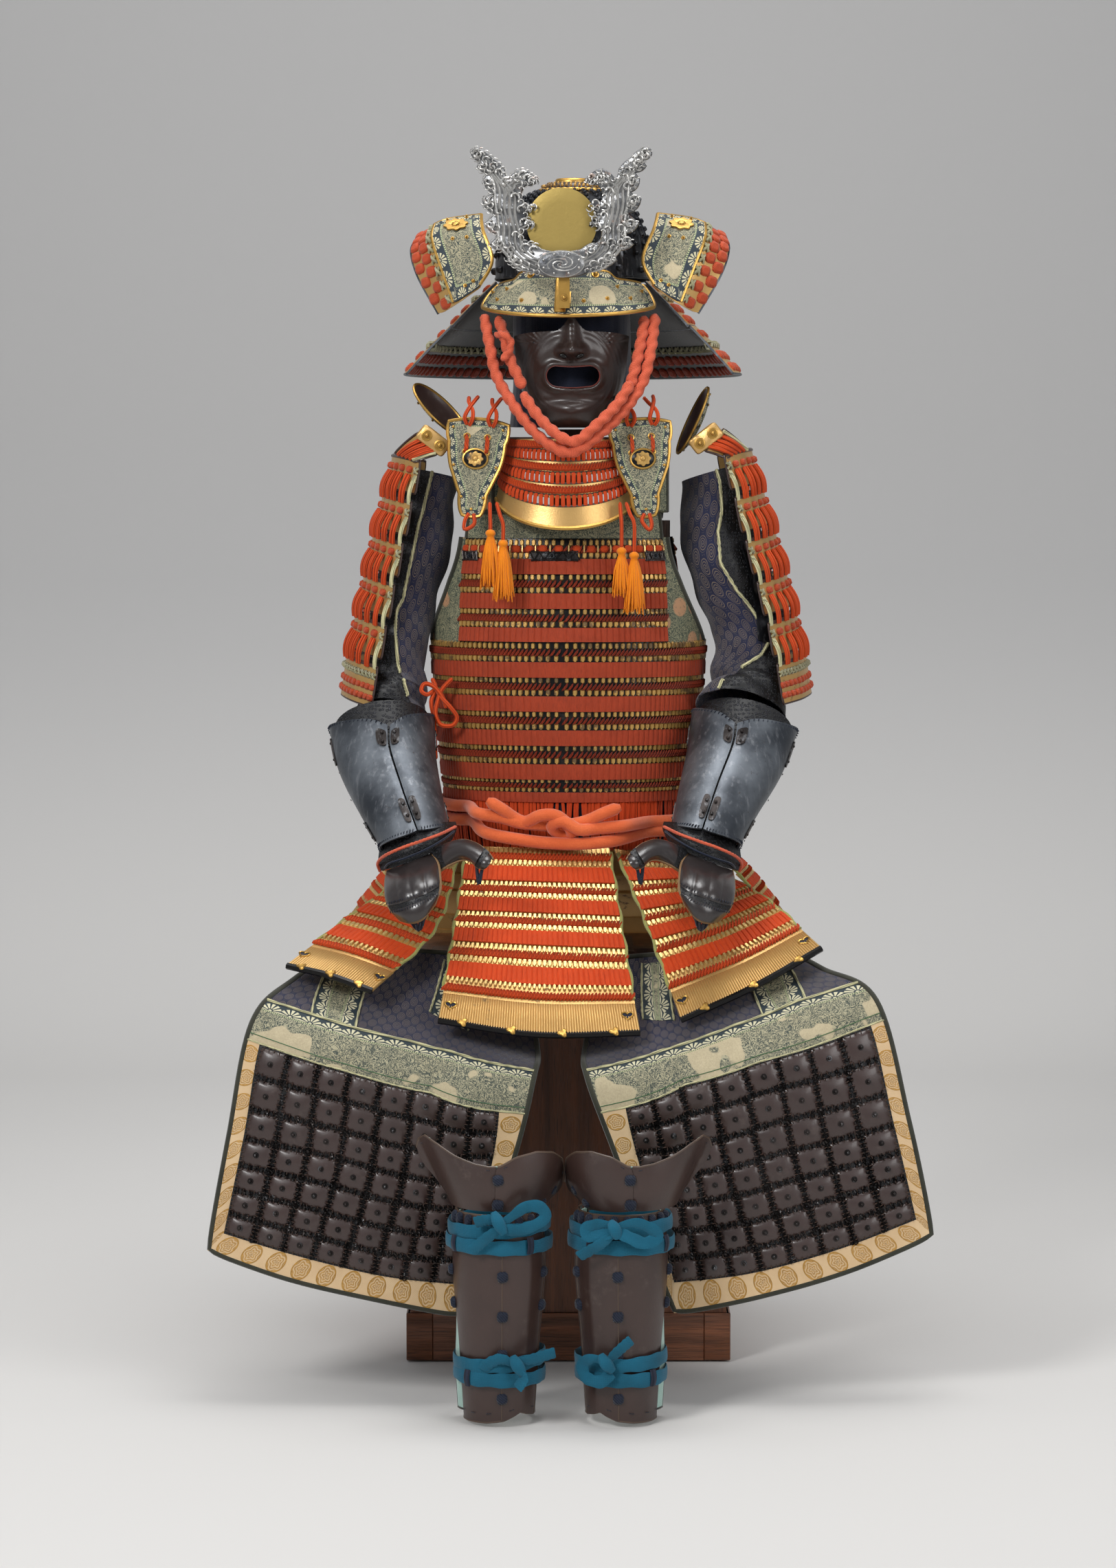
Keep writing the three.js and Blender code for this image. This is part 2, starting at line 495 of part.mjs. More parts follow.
const TURNBACK = [
  [{ x: -212, y: -168, z: 1528 }, { x: -168, y: -196, z: 1546 }, { x: -112, y: -190, z: 1554 }],
  [{ x: -200, y: -184, z: 1480 }, { x: -152, y: -212, z: 1494 }, { x: -96, y: -206, z: 1500 }],
  [{ x: -170, y: -198, z: 1428 }, { x: -138, y: -222, z: 1446 }, { x: -112, y: -220, z: 1464 }],
];
{
  const at = { x: -110, y: -100, z: 1480 };
  add(helmet, 'turnback_left', plate(net(TURNBACK), 6, 5, 3.4, { hollowTowards: at }), LEATHER);
  add(helmet, 'turnback_right', plate(net(mirrored(TURNBACK, hx)), 6, 5, 3.4, { hollowTowards: { ...at, x: 2 * hx - at.x } }), LEATHER);
}

// ---------------------------------------------------------------- crest
{
  const bracket = [
    { y: -231.4, z: 1471.6 }, { y: -255.2, z: 1437.6 }, { y: -275, z: 1434 }, { y: -275, z: 1486 },
    { y: -271.6, z: 1486 }, { y: -271.6, z: 1440.4 }, { y: -257, z: 1441.6 }, { y: -233.6, z: 1473 },
  ];
  const shape = new THREE.Shape(bracket.map((p) => new THREE.Vector2(p.y, p.z)));
  const g = new THREE.ExtrudeGeometry(shape, { depth: 17, bevelEnabled: false });
  g.applyMatrix4(new THREE.Matrix4().set(0, 0, 1, hx - 8.5, 1, 0, 0, 0, 0, 1, 0, 0, 0, 0, 0, 1));
  add(helmet, 'crest_bracket', g, GILT);
  // half outline of the wave-shaped horns, from the boss outwards, up and back down the inner side
  const HALF = [
    { x: 0, z: 1474 }, { x: 34, z: 1480, viaX: 18, viaZ: 1473 }, { x: 74, z: 1497, viaX: 60, viaZ: 1483 },
    { x: 66, z: 1511 }, { x: 96, z: 1518, viaX: 86, viaZ: 1505 }, { x: 84, z: 1531 },
    { x: 103, z: 1546, viaX: 98, viaZ: 1533 }, { x: 89, z: 1558 }, { x: 106, z: 1578, viaX: 104, viaZ: 1562 },
    { x: 92, z: 1586 }, { x: 104, z: 1604, viaX: 104, viaZ: 1590 }, { x: 98, z: 1612 },
    { x: 113, z: 1621, viaX: 108, viaZ: 1612 }, { x: 108, z: 1628 }, { x: 120, z: 1636, viaX: 117, viaZ: 1628 },
    { x: 112, z: 1645, viaX: 121, viaZ: 1645 }, { x: 92, z: 1632, viaX: 100, viaZ: 1643 },
    { x: 76, z: 1617, viaX: 84, viaZ: 1628 }, { x: 72, z: 1604, viaX: 76, viaZ: 1610 },
    { x: 50, z: 1617, viaX: 62, viaZ: 1617 }, { x: 30, z: 1602, viaX: 40, viaZ: 1614 },
    { x: 48, z: 1596, viaX: 38, viaZ: 1594 }, { x: 52, z: 1574, viaX: 58, viaZ: 1584 },
    { x: 34, z: 1568, viaX: 44, viaZ: 1564 }, { x: 48, z: 1554, viaX: 46, viaZ: 1562 },
    { x: 36, z: 1542, viaX: 40, viaZ: 1552 }, { x: 52, z: 1536, viaX: 48, viaZ: 1542 },
    { x: 46, z: 1520, viaX: 56, viaZ: 1526 }, { x: 26, z: 1512, viaX: 38, viaZ: 1522 }, { x: 0, z: 1510, viaX: 14, viaZ: 1508 },
  ];
  const outline = [...HALF];
  // mirror the same outline down the other side, swapping each curve's run
  const forward = [...HALF];
  for (let k = HALF.length - 2; k >= 0; k -= 1) {
    const next = forward[k + 1];
    const p = { x: -forward[k].x, z: forward[k].z };
    if (next.viaX !== undefined) { p.viaX = -next.viaX; p.viaZ = next.viaZ; }
    outline.push(p);
  }
  const crestX = hx - 3;
  const horns = upright(outline.map((p) => ({
    x: p.x + crestX, z: p.z, ...(p.viaX === undefined ? {} : { viaX: p.viaX + crestX, viaZ: p.viaZ }),
  })), -283, -279.4, 2);
  const boss = new THREE.CylinderGeometry(1, 1, 1, 24);
  boss.scale(31, 6, 17.5);
  boss.translate(crestX, -285, 1492);
  add(helmet, 'crest_horns', joined(horns, boss), SILVER);
  const disc = new THREE.CylinderGeometry(47, 47, 2.6, 36);
  disc.translate(crestX, -277.2, 1546);
  add(helmet, 'crest_disc', disc, DISC);
}

// ---------------------------------------------------------------- face mask and throat guard
{
  const mx = 2;
  const face = (u, v) => {
    const a = 2 * u - 1;
    const half = 78 - 8 * v - 22 * v ** 3;
    const top = 1426 - 18 * a * a;
    const low = 1277 + 34 * a ** 2 * Math.abs(a);
    const cheek = Math.sqrt(Math.max(0, 1 - 0.92 * a * a));
    const nose = 20 * Math.exp(-((a / 0.17) ** 2)) * Math.exp(-(((v - 0.4) / 0.2) ** 2));
    const chin = 10 * Math.exp(-((a / 0.3) ** 2)) * Math.exp(-(((v - 0.93) / 0.12) ** 2));
    return V(mx + half * a, -160 - 74 * cheek - nose - chin + 6 * v, top + (low - top) * v);
  };
  add(group, 'mask', plate(face, 14, 9, 3.4, { hollowTowards: { x: mx, y: -90, z: 1350 } }), MASK);
  const tx = -4;
  const throat = (u, v) => {
    const a = THREE.MathUtils.degToRad(-82 + 164 * u);
    const half = 73 + 18 * v;
    return V(tx + half * Math.sin(a), -176 - (58 + 24 * v) * Math.cos(a), 1262 - 122 * v + 46 * (1 - Math.cos(a)) * v);
  };
  add(group, 'throat_lames', plate(throat, 12, lames(4, 2.2), PLATE, { hollowTowards: { x: tx, y: -140, z: 1150 } }), LACED);
}

// ---------------------------------------------------------------- helmet cord
const CHIN = [
  { x: -114, y: -200, z: 1428 }, { x: -103, y: -218, z: 1378 }, { x: -85, y: -230, z: 1335 }, { x: -63, y: -245, z: 1303 },
  { x: -36, y: -262, z: 1272 }, { x: -1, y: -274, z: 1248 }, { x: 36, y: -270, z: 1270 }, { x: 69, y: -254, z: 1294 },
  { x: 98, y: -238, z: 1334 }, { x: 110, y: -226, z: 1377 }, { x: 117, y: -202, z: 1428 },
];
add(group, 'chin_cord', cord(CHIN, 16, 28, 8), CORAL);

// ---------------------------------------------------------------- sash
{
  const sash = (u, v) => {
    const a = Math.PI * 2 * v;
    const r = round(360 * u, 741, 12 + 7 * Math.cos(a));
    r.z += 24 * Math.sin(a);
    return r;
  };
  const nu = 30;
  const nv = 8;
  const positions = [];
  const index = [];
  for (let i = 0; i < nu; i += 1) for (let j = 0; j < nv; j += 1) { const p = sash(i / nu, j / nv); positions.push(p.x, p.y, p.z); }
  for (let i = 0; i < nu; i += 1) {
    for (let j = 0; j < nv; j += 1) {
      const a = i * nv + j;
      const b = ((i + 1) % nu) * nv + j;
      const c = ((i + 1) % nu) * nv + ((j + 1) % nv);
      const d = i * nv + ((j + 1) % nv);
      index.push(a, b, c, a, c, d);
    }
  }
  const band = closed(positions, index);
  const knot = new THREE.SphereGeometry(1, 12, 8);
  knot.scale(19, 13, 26);
  knot.translate(9, -250, 741);
  const ends = [
    [{ x: 2, y: -251, z: 748 }, { x: -50, y: -263, z: 762 }, { x: -92, y: -256, z: 776 }],
    [{ x: 16, y: -251, z: 748 }, { x: 56, y: -263, z: 762 }, { x: 88, y: -256, z: 776 }],
  ].map((points) => cord(points, 17, 6, 8));
  add(torso, 'waist_sash', joined(band, knot, ...ends), CORAL);
}

// ---------------------------------------------------------------- skirts
const SKIRTS = {
  skirt_front: [
    [{ x: -137, y: -238, z: 711 }, { x: -42, y: -247, z: 709 }, { x: 55, y: -238, z: 708 }],
    [{ x: -153, y: -345, z: 604 }, { x: -42, y: -356, z: 600 }, { x: 73, y: -345, z: 594 }],
    [{ x: -171, y: -440, z: 500 }, { x: -42, y: -458, z: 484 }, { x: 93, y: -442, z: 484 }],
  ],
  skirt_right: [
    [{ x: 62, y: -230, z: 706 }, { x: 128, y: -212, z: 694 }, { x: 176, y: -160, z: 680 }],
    [{ x: 108, y: -332, z: 603 }, { x: 190, y: -312, z: 622 }, { x: 262, y: -270, z: 644 }],
    [{ x: 147, y: -436, z: 500 }, { x: 244, y: -420, z: 542 }, { x: 334, y: -392, z: 589 }],
  ],
  skirt_left: [
    [{ x: -176, y: -160, z: 680 }, { x: -160, y: -212, z: 692 }, { x: -146, y: -230, z: 700 }],
    [{ x: -276, y: -272, z: 630 }, { x: -232, y: -312, z: 624 }, { x: -178, y: -336, z: 608 }],
    [{ x: -372, y: -396, z: 566 }, { x: -314, y: -420, z: 556 }, { x: -258, y: -436, z: 538 }],
  ],
  skirt_side_right: [
    [{ x: 190, y: -150, z: 708 }, { x: 204, y: -95, z: 710 }, { x: 190, y: -32, z: 708 }],
    [{ x: 244, y: -168, z: 650 }, { x: 258, y: -95, z: 656 }, { x: 244, y: -22, z: 650 }],
    [{ x: 286, y: -182, z: 590 }, { x: 302, y: -95, z: 596 }, { x: 286, y: -10, z: 590 }],
  ],
  skirt_side_left: [
    [{ x: -190, y: -32, z: 708 }, { x: -204, y: -95, z: 710 }, { x: -190, y: -150, z: 708 }],
    [{ x: -244, y: -22, z: 650 }, { x: -258, y: -95, z: 656 }, { x: -244, y: -168, z: 650 }],
    [{ x: -286, y: -10, z: 590 }, { x: -302, y: -95, z: 596 }, { x: -286, y: -182, z: 590 }],
  ],
  skirt_back_right: [
    [{ x: 166, y: 2, z: 708 }, { x: 96, y: 44, z: 708 }, { x: 6, y: 56, z: 708 }],
    [{ x: 196, y: 100, z: 646 }, { x: 104, y: 130, z: 640 }, { x: 7, y: 142, z: 640 }],
    [{ x: 212, y: 202, z: 588 }, { x: 112, y: 214, z: 578 }, { x: 8, y: 226, z: 578 }],
    [{ x: 224, y: 252, z: 506 }, { x: 118, y: 262, z: 498 }, { x: 9, y: 272, z: 498 }],
  ],
  skirt_back_left: [
    [{ x: -6, y: 56, z: 708 }, { x: -96, y: 44, z: 708 }, { x: -166, y: 2, z: 708 }],
    [{ x: -7, y: 142, z: 640 }, { x: -104, y: 130, z: 640 }, { x: -196, y: 100, z: 646 }],
    [{ x: -8, y: 226, z: 578 }, { x: -112, y: 214, z: 578 }, { x: -212, y: 202, z: 588 }],
    [{ x: -9, y: 272, z: 498 }, { x: -118, y: 262, z: 498 }, { x: -224, y: 252, z: 506 }],
  ],
};
for (const [name, rows] of Object.entries(SKIRTS)) {
  add(group, name, plate(net(rows), 6, lames(5, 3), PLATE, { hollowTowards: { x: 0, y: -95, z: 300 } }), LACED);
}

// ---------------------------------------------------------------- thigh guards
const THIGH_LEFT = [
  [{ x: -290, y: -280, z: 584 }, { x: -222, y: -298, z: 578 }, { x: -146, y: -300, z: 572 }, { x: -66, y: -300, z: 566 }],
  [{ x: -362, y: -372, z: 549 }, { x: -260, y: -396, z: 522 }, { x: -150, y: -400, z: 490 }, { x: -42, y: -396, z: 462 }],
  [{ x: -414, y: -446, z: 500 }, { x: -292, y: -472, z: 466 }, { x: -165, y: -472, z: 432 }, { x: -46, y: -462, z: 430 }],
  [{ x: -444, y: -462, z: 352 }, { x: -312, y: -482, z: 330 }, { x: -186, y: -484, z: 300 }, { x: -72, y: -476, z: 326 }],
  [{ x: -472, y: -470, z: 202 }, { x: -364, y: -486, z: 168 }, { x: -252, y: -488, z: 142 }, { x: -140, y: -482, z: 118 }],
];
const THIGH_RIGHT = [
  [{ x: 50, y: -300, z: 566 }, { x: 126, y: -300, z: 572 }, { x: 200, y: -298, z: 580 }, { x: 268, y: -280, z: 590 }],
  [{ x: 22, y: -396, z: 464 }, { x: 130, y: -400, z: 496 }, { x: 236, y: -396, z: 526 }, { x: 334, y: -370, z: 562 }],
  [{ x: 24, y: -462, z: 430 }, { x: 146, y: -472, z: 436 }, { x: 276, y: -472, z: 474 }, { x: 402, y: -442, z: 528 }],
  [{ x: 62, y: -476, z: 328 }, { x: 178, y: -484, z: 304 }, { x: 308, y: -482, z: 334 }, { x: 444, y: -460, z: 372 }],
  [{ x: 138, y: -482, z: 121 }, { x: 250, y: -488, z: 146 }, { x: 362, y: -486, z: 178 }, { x: 476, y: -470, z: 222 }],
];
add(group, 'thigh_guard_left', plate(net(THIGH_LEFT), 9, 11, CLOTH, { hollowTowards: { x: -190, y: -200, z: 250 } }), BROCADE);
add(group, 'thigh_guard_right', plate(net(THIGH_RIGHT), 9, 11, CLOTH, { hollowTowards: { x: 190, y: -200, z: 250 } }), BROCADE);

// ---------------------------------------------------------------- shin guards and knee plates
for (const [name, x, kneeX, side] of [['left', -90, -94, -1], ['right', 67, 81, 1]]) {
  const SHIN = [ // height, half width, half depth, reach round
    { z: 274, a: 56, b: 58 }, { z: 200, a: 60, b: 60 }, { z: 100, a: 52, b: 54 }, { z: 0, a: 46, b: 50 },
  ];
  const size = SHIN.map((s) => V(s.a, s.b, s.z));
  const shin = (u, v) => {
    const s = along(size, v);
    const a = THREE.MathUtils.degToRad(-112 + 224 * u);
    return V(x + s.x * Math.sin(a), -550 - s.y * Math.cos(a), s.z);
  };
  add(group, `shin_guard_${name}`, plate(shin, 13, 5, PLATE, { hollowTowards: { x, y: -550, z: 140 } }), BROWN);
  const knee = (u, v) => {
    const a = THREE.MathUtils.degToRad(-96 + 192 * u);
    const s = side * (2 * u - 1);            // -1 at the inner edge, 1 at the outer edge
    const low = 280 + 3 * s;
    const dip = Math.cos(Math.PI * 1.0 * s) * 8;
    const top = 362 + 10 * s - (Math.abs(s) < 0.92 ? dip : 0) - (s < 0 ? 40 * s ** 6 : 0);
    const flare = 1 + 0.32 * v0(1 - v) + (s > 0 ? 0.5 * s ** 3 * (1 - v) : 0.12 * (1 - v) * Math.abs(s));
    return V(kneeX + 58 * flare * Math.sin(a), -550 - (60 + 6 * (1 - v)) * Math.cos(a), top + (low - top) * v);
  };
  add(group, `knee_plate_${name}`, plate(knee, 14, 4, CLOTH, { hollowTowards: { x, y: -540, z: 300 } }), BROWN);
}
function v0(t) { return t * t; }

// ---------------------------------------------------------------- leg ties: bows in front of each shin
for (const [name, x] of [['left', -88], ['right', 69]]) {
  for (const [where, z, wide] of [['upper', 253, 1], ['lower', 74, 0.86]]) {
    const bow = new THREE.SphereGeometry(1, 10, 6);
    bow.scale(34 * wide, 8, 15);
    bow.translate(x, -621, z);
    add(group, `leg_tie_${where}_${name}`, bow, TEAL);
  }
}

// ---------------------------------------------------------------- tassels and side bow
const tassel = (x, z) => {
  const g = new THREE.CylinderGeometry(9, 14, 62, 12);
  g.rotateX(Math.PI / 2);
  g.translate(x, -254, z - 31);
  return g;
};
add(group, 'tassel_left', joined(tassel(-105, 1136), tassel(-88, 1122)), AMBER);
add(group, 'tassel_right', joined(tassel(71, 1112), tassel(88, 1106)), AMBER);
add(group, 'side_bow', cord([
  { x: -186, y: -168, z: 934 }, { x: -182, y: -182, z: 912 }, { x: -178, y: -186, z: 880 }, { x: -180, y: -184, z: 846 },
], 7, 12, 8), CORAL);

export default group;
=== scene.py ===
"""Samurai armour seated on its armour box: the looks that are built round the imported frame."""

import logging
import math
from dataclasses import dataclass, field
from enum import Enum
from typing import Callable, Sequence

import bpy
import numpy as np
from mathutils import Matrix, Vector
from mathutils.geometry import tessellate_polygon


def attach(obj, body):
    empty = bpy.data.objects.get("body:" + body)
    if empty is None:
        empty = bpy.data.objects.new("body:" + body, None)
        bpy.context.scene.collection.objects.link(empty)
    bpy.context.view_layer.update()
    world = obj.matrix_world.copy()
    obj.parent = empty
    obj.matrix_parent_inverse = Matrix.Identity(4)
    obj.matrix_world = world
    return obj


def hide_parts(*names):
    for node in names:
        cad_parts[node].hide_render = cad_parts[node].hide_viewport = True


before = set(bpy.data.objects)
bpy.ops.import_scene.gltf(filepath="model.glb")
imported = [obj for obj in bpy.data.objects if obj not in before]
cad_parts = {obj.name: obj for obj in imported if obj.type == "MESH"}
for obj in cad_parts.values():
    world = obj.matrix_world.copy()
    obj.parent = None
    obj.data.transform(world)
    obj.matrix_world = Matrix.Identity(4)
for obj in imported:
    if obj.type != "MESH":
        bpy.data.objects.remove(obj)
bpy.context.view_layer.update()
LOG = logging.getLogger("armour")
Array = np.ndarray
Rows = Sequence[Sequence[float]]
MAIN = "armour"
CREST = "crest"


# ---------------------------------------------------------------- curves and surfaces
def mm(points: Rows | Array) -> Array:
    """Points given in millimetres, as an array in metres."""
    return np.asarray(points, float) / 1000.0


def unit(v: Array) -> Array:
    """Vectors scaled to length one."""
    return v / np.maximum(np.linalg.norm(v, axis=-1, keepdims=True), 1e-12)


def turned(points: Array, centre: tuple[float, float], degrees: float) -> Array:
    """Turns points about an upright line.

    Args:
        points: Points in metres, any leading shape.
        centre: x and y of the line, in millimetres.
        degrees: Turn, seen from above.

    Returns:
        The turned points.
    """
    a = math.radians(degrees)
    x = points[..., 0] - centre[0] / 1000
    y = points[..., 1] - centre[1] / 1000
    out = points.copy()
    out[..., 0] = centre[0] / 1000 + x * math.cos(a) - y * math.sin(a)
    out[..., 1] = centre[1] / 1000 + x * math.sin(a) + y * math.cos(a)
    return out


def weights(count: int, t: Array) -> Array:
    """Catmull-Rom weights of evenly spaced points.

    Args:
        count: How many points the curve has.
        t: Places along the curve, from 0 to 1.

    Returns:
        One row of weights for each place.
    """
    t = np.clip(np.atleast_1d(np.asarray(t, float)), 0, 1)
    p = t * (count - 1)
    k = np.minimum(p.astype(int), count - 2)
    w = p - k
    parts = (-0.5 * w + w**2 - 0.5 * w**3, 1 - 2.5 * w**2 + 1.5 * w**3,
             0.5 * w + 2 * w**2 - 1.5 * w**3, -0.5 * w**2 + 0.5 * w**3)
    out = np.zeros((len(t), count))
    rows = np.arange(len(t))
    for j, h in enumerate(parts):
        at = k + j - 1
        low, high = at < 0, at >= count
        mid = ~(low | high)
        np.add.at(out, (rows[mid], at[mid]), h[mid])
        for beyond, near, far in ((low, 0, 1), (high, count - 1, count - 2)):
            out[beyond, near] += 2 * h[beyond]
            out[beyond, far] -= h[beyond]
    return out


def curve(points: Array, count: int, even: bool = True) -> Array:
    """Smooth line through points.

    Args:
        points: The points it passes through.
        count: How many points to return.
        even: Space the points evenly along its length.

    Returns:
        Points along the line.
    """
    dense = weights(len(points), np.linspace(0, 1, max(count * 4, 60))) @ np.asarray(points, float)
    if not even:
        return weights(len(points), np.linspace(0, 1, count)) @ np.asarray(points, float)
    run = np.concatenate([[0], np.cumsum(np.linalg.norm(np.diff(dense[:, :3], axis=0), axis=1))])
    at = np.linspace(0, run[-1], count)
    return np.stack([np.interp(at, run, dense[:, k]) for k in range(dense.shape[1])], axis=1)


def length_of(path: Array) -> float:
    """Length of a line of points."""
    return float(np.linalg.norm(np.diff(path, axis=0), axis=1).sum())


@dataclass
class Surface:
    """A smooth surface that other pieces lie on.

    Attributes:
        shape: Gives points in metres for arrays of u, across, and v, down.
        hollow: A point in metres on the side that counts as inside.
        ring: Whether u runs all the way round.
    """

    shape: Callable[[Array, Array], Array]
    hollow: Array
    ring: bool = False

    def frame(self, u: Array, v: Array) -> tuple[Array, Array, Array, Array]:
        """Place and directions on the surface.

        Args:
            u: Places across.
            v: Places down.

        Returns:
            Point, direction across, direction up and outward normal for each place.
        """
        u, v = np.broadcast_arrays(np.asarray(u, float), np.asarray(v, float))
        u, v = u.ravel(), v.ravel()
        e = 0.003
        lift = (lambda x: x % 1) if self.ring else (lambda x: np.clip(x, 0, 1))
        p = self.shape(lift(u) if self.ring else u, v)
        across = self.shape(lift(u + e), v) - self.shape(lift(u - e), v)
        down = self.shape(lift(u), np.clip(v + e, 0, 1)) - self.shape(lift(u), np.clip(v - e, 0, 1))
        n = unit(np.cross(across, down))
        n *= np.where(((p - self.hollow) * n).sum(1) < 0, -1, 1)[:, None]
        across = unit(across)
        up = np.cross(n, across)
        flip = np.where((up * down).sum(1) > 0, -1, 1)[:, None]
        return p, across * flip, up * flip, n

    def at(self, u: Array, v: Array, out: Array | float = 0.0) -> Array:
        """Points at a stand-off.

        Args:
            u: Places across.
            v: Places down, of a shape that broadcasts with u.
            out: Stand-off in metres.

        Returns:
            Points with the broadcast shape of u and v.
        """
        grid = np.broadcast_shapes(np.shape(u), np.shape(v), np.shape(out))
        p, _, _, n = self.frame(np.broadcast_to(u, grid), np.broadcast_to(v, grid))
        return (p + n * np.broadcast_to(out, grid).reshape(-1, 1)).reshape(*grid, 3)


def net(rows: Sequence[Rows], hollow: Sequence[float], turn: tuple[float, float, float] | None = None) -> Surface:
    """Smooth surface through a short table of points.

    Args:
        rows: Rows from the top down, each from left to right, in millimetres.
        hollow: A point on its inner side, in millimetres.
        turn: Centre x, centre y and degrees of a turn, or None.

    Returns:
        The surface.
    """
    table = mm(rows)

    def shape(u: Array, v: Array) -> Array:
        """Points for arrays of u and v."""
        p = np.einsum("ki,kj,ijc->kc", weights(table.shape[0], v), weights(table.shape[1], u), table)
        return p if turn is None else turned(p, turn[:2], turn[2])

    return Surface(shape, mm(hollow))


def mirrored(rows: Sequence[Rows], middle: float = 0.0) -> list[list[tuple[float, float, float]]]:
    """Mirror image of a table of points about the plane x = middle."""
    return [[(2 * middle - x, y, z) for x, y, z in row] for row in rows]


def facing(path: Array, lead: Sequence[float] | None = None) -> tuple[Array, Array, Array]:
    """Directions that follow a path without spinning.

    Args:
        path: Points along it.
        lead: Direction that the side vector starts from.

    Returns:
        Tangent, side and third direction at each point.
    """
    t = unit(np.gradient(path, axis=0))
    side = np.zeros_like(t)
    first = np.asarray(lead if lead is not None else ((0, 0, 1) if abs(t[0, 2]) < 0.9 else (1, 0, 0)), float)
    for k in range(len(t)):
        first = first - t[k] * first.dot(t[k])
        first = first / max(np.linalg.norm(first), 1e-9)
        side[k] = first
    return t, side, np.cross(t, side)


def quaternions(x: Array, y: Array, z: Array) -> Array:
    """Turns as w, x, y, z from three unit directions at each place."""
    m = np.stack([x, y, z], axis=2)
    q = np.empty((len(m), 4))
    q[:, 0] = np.sqrt(np.maximum(0, 1 + m[:, 0, 0] + m[:, 1, 1] + m[:, 2, 2])) / 2
    for k, (a, b, c) in enumerate(((0, 1, 2), (1, 2, 0), (2, 0, 1))):
        size = np.sqrt(np.maximum(0, 1 + m[:, a, a] - m[:, b, b] - m[:, c, c])) / 2
        q[:, k + 1] = np.copysign(size, m[:, c, b] - m[:, b, c])
    bad = q[:, 0] < 1e-4
    for k in np.flatnonzero(bad):

        q[k] = Matrix(m[k].tolist()).to_quaternion()
    return q


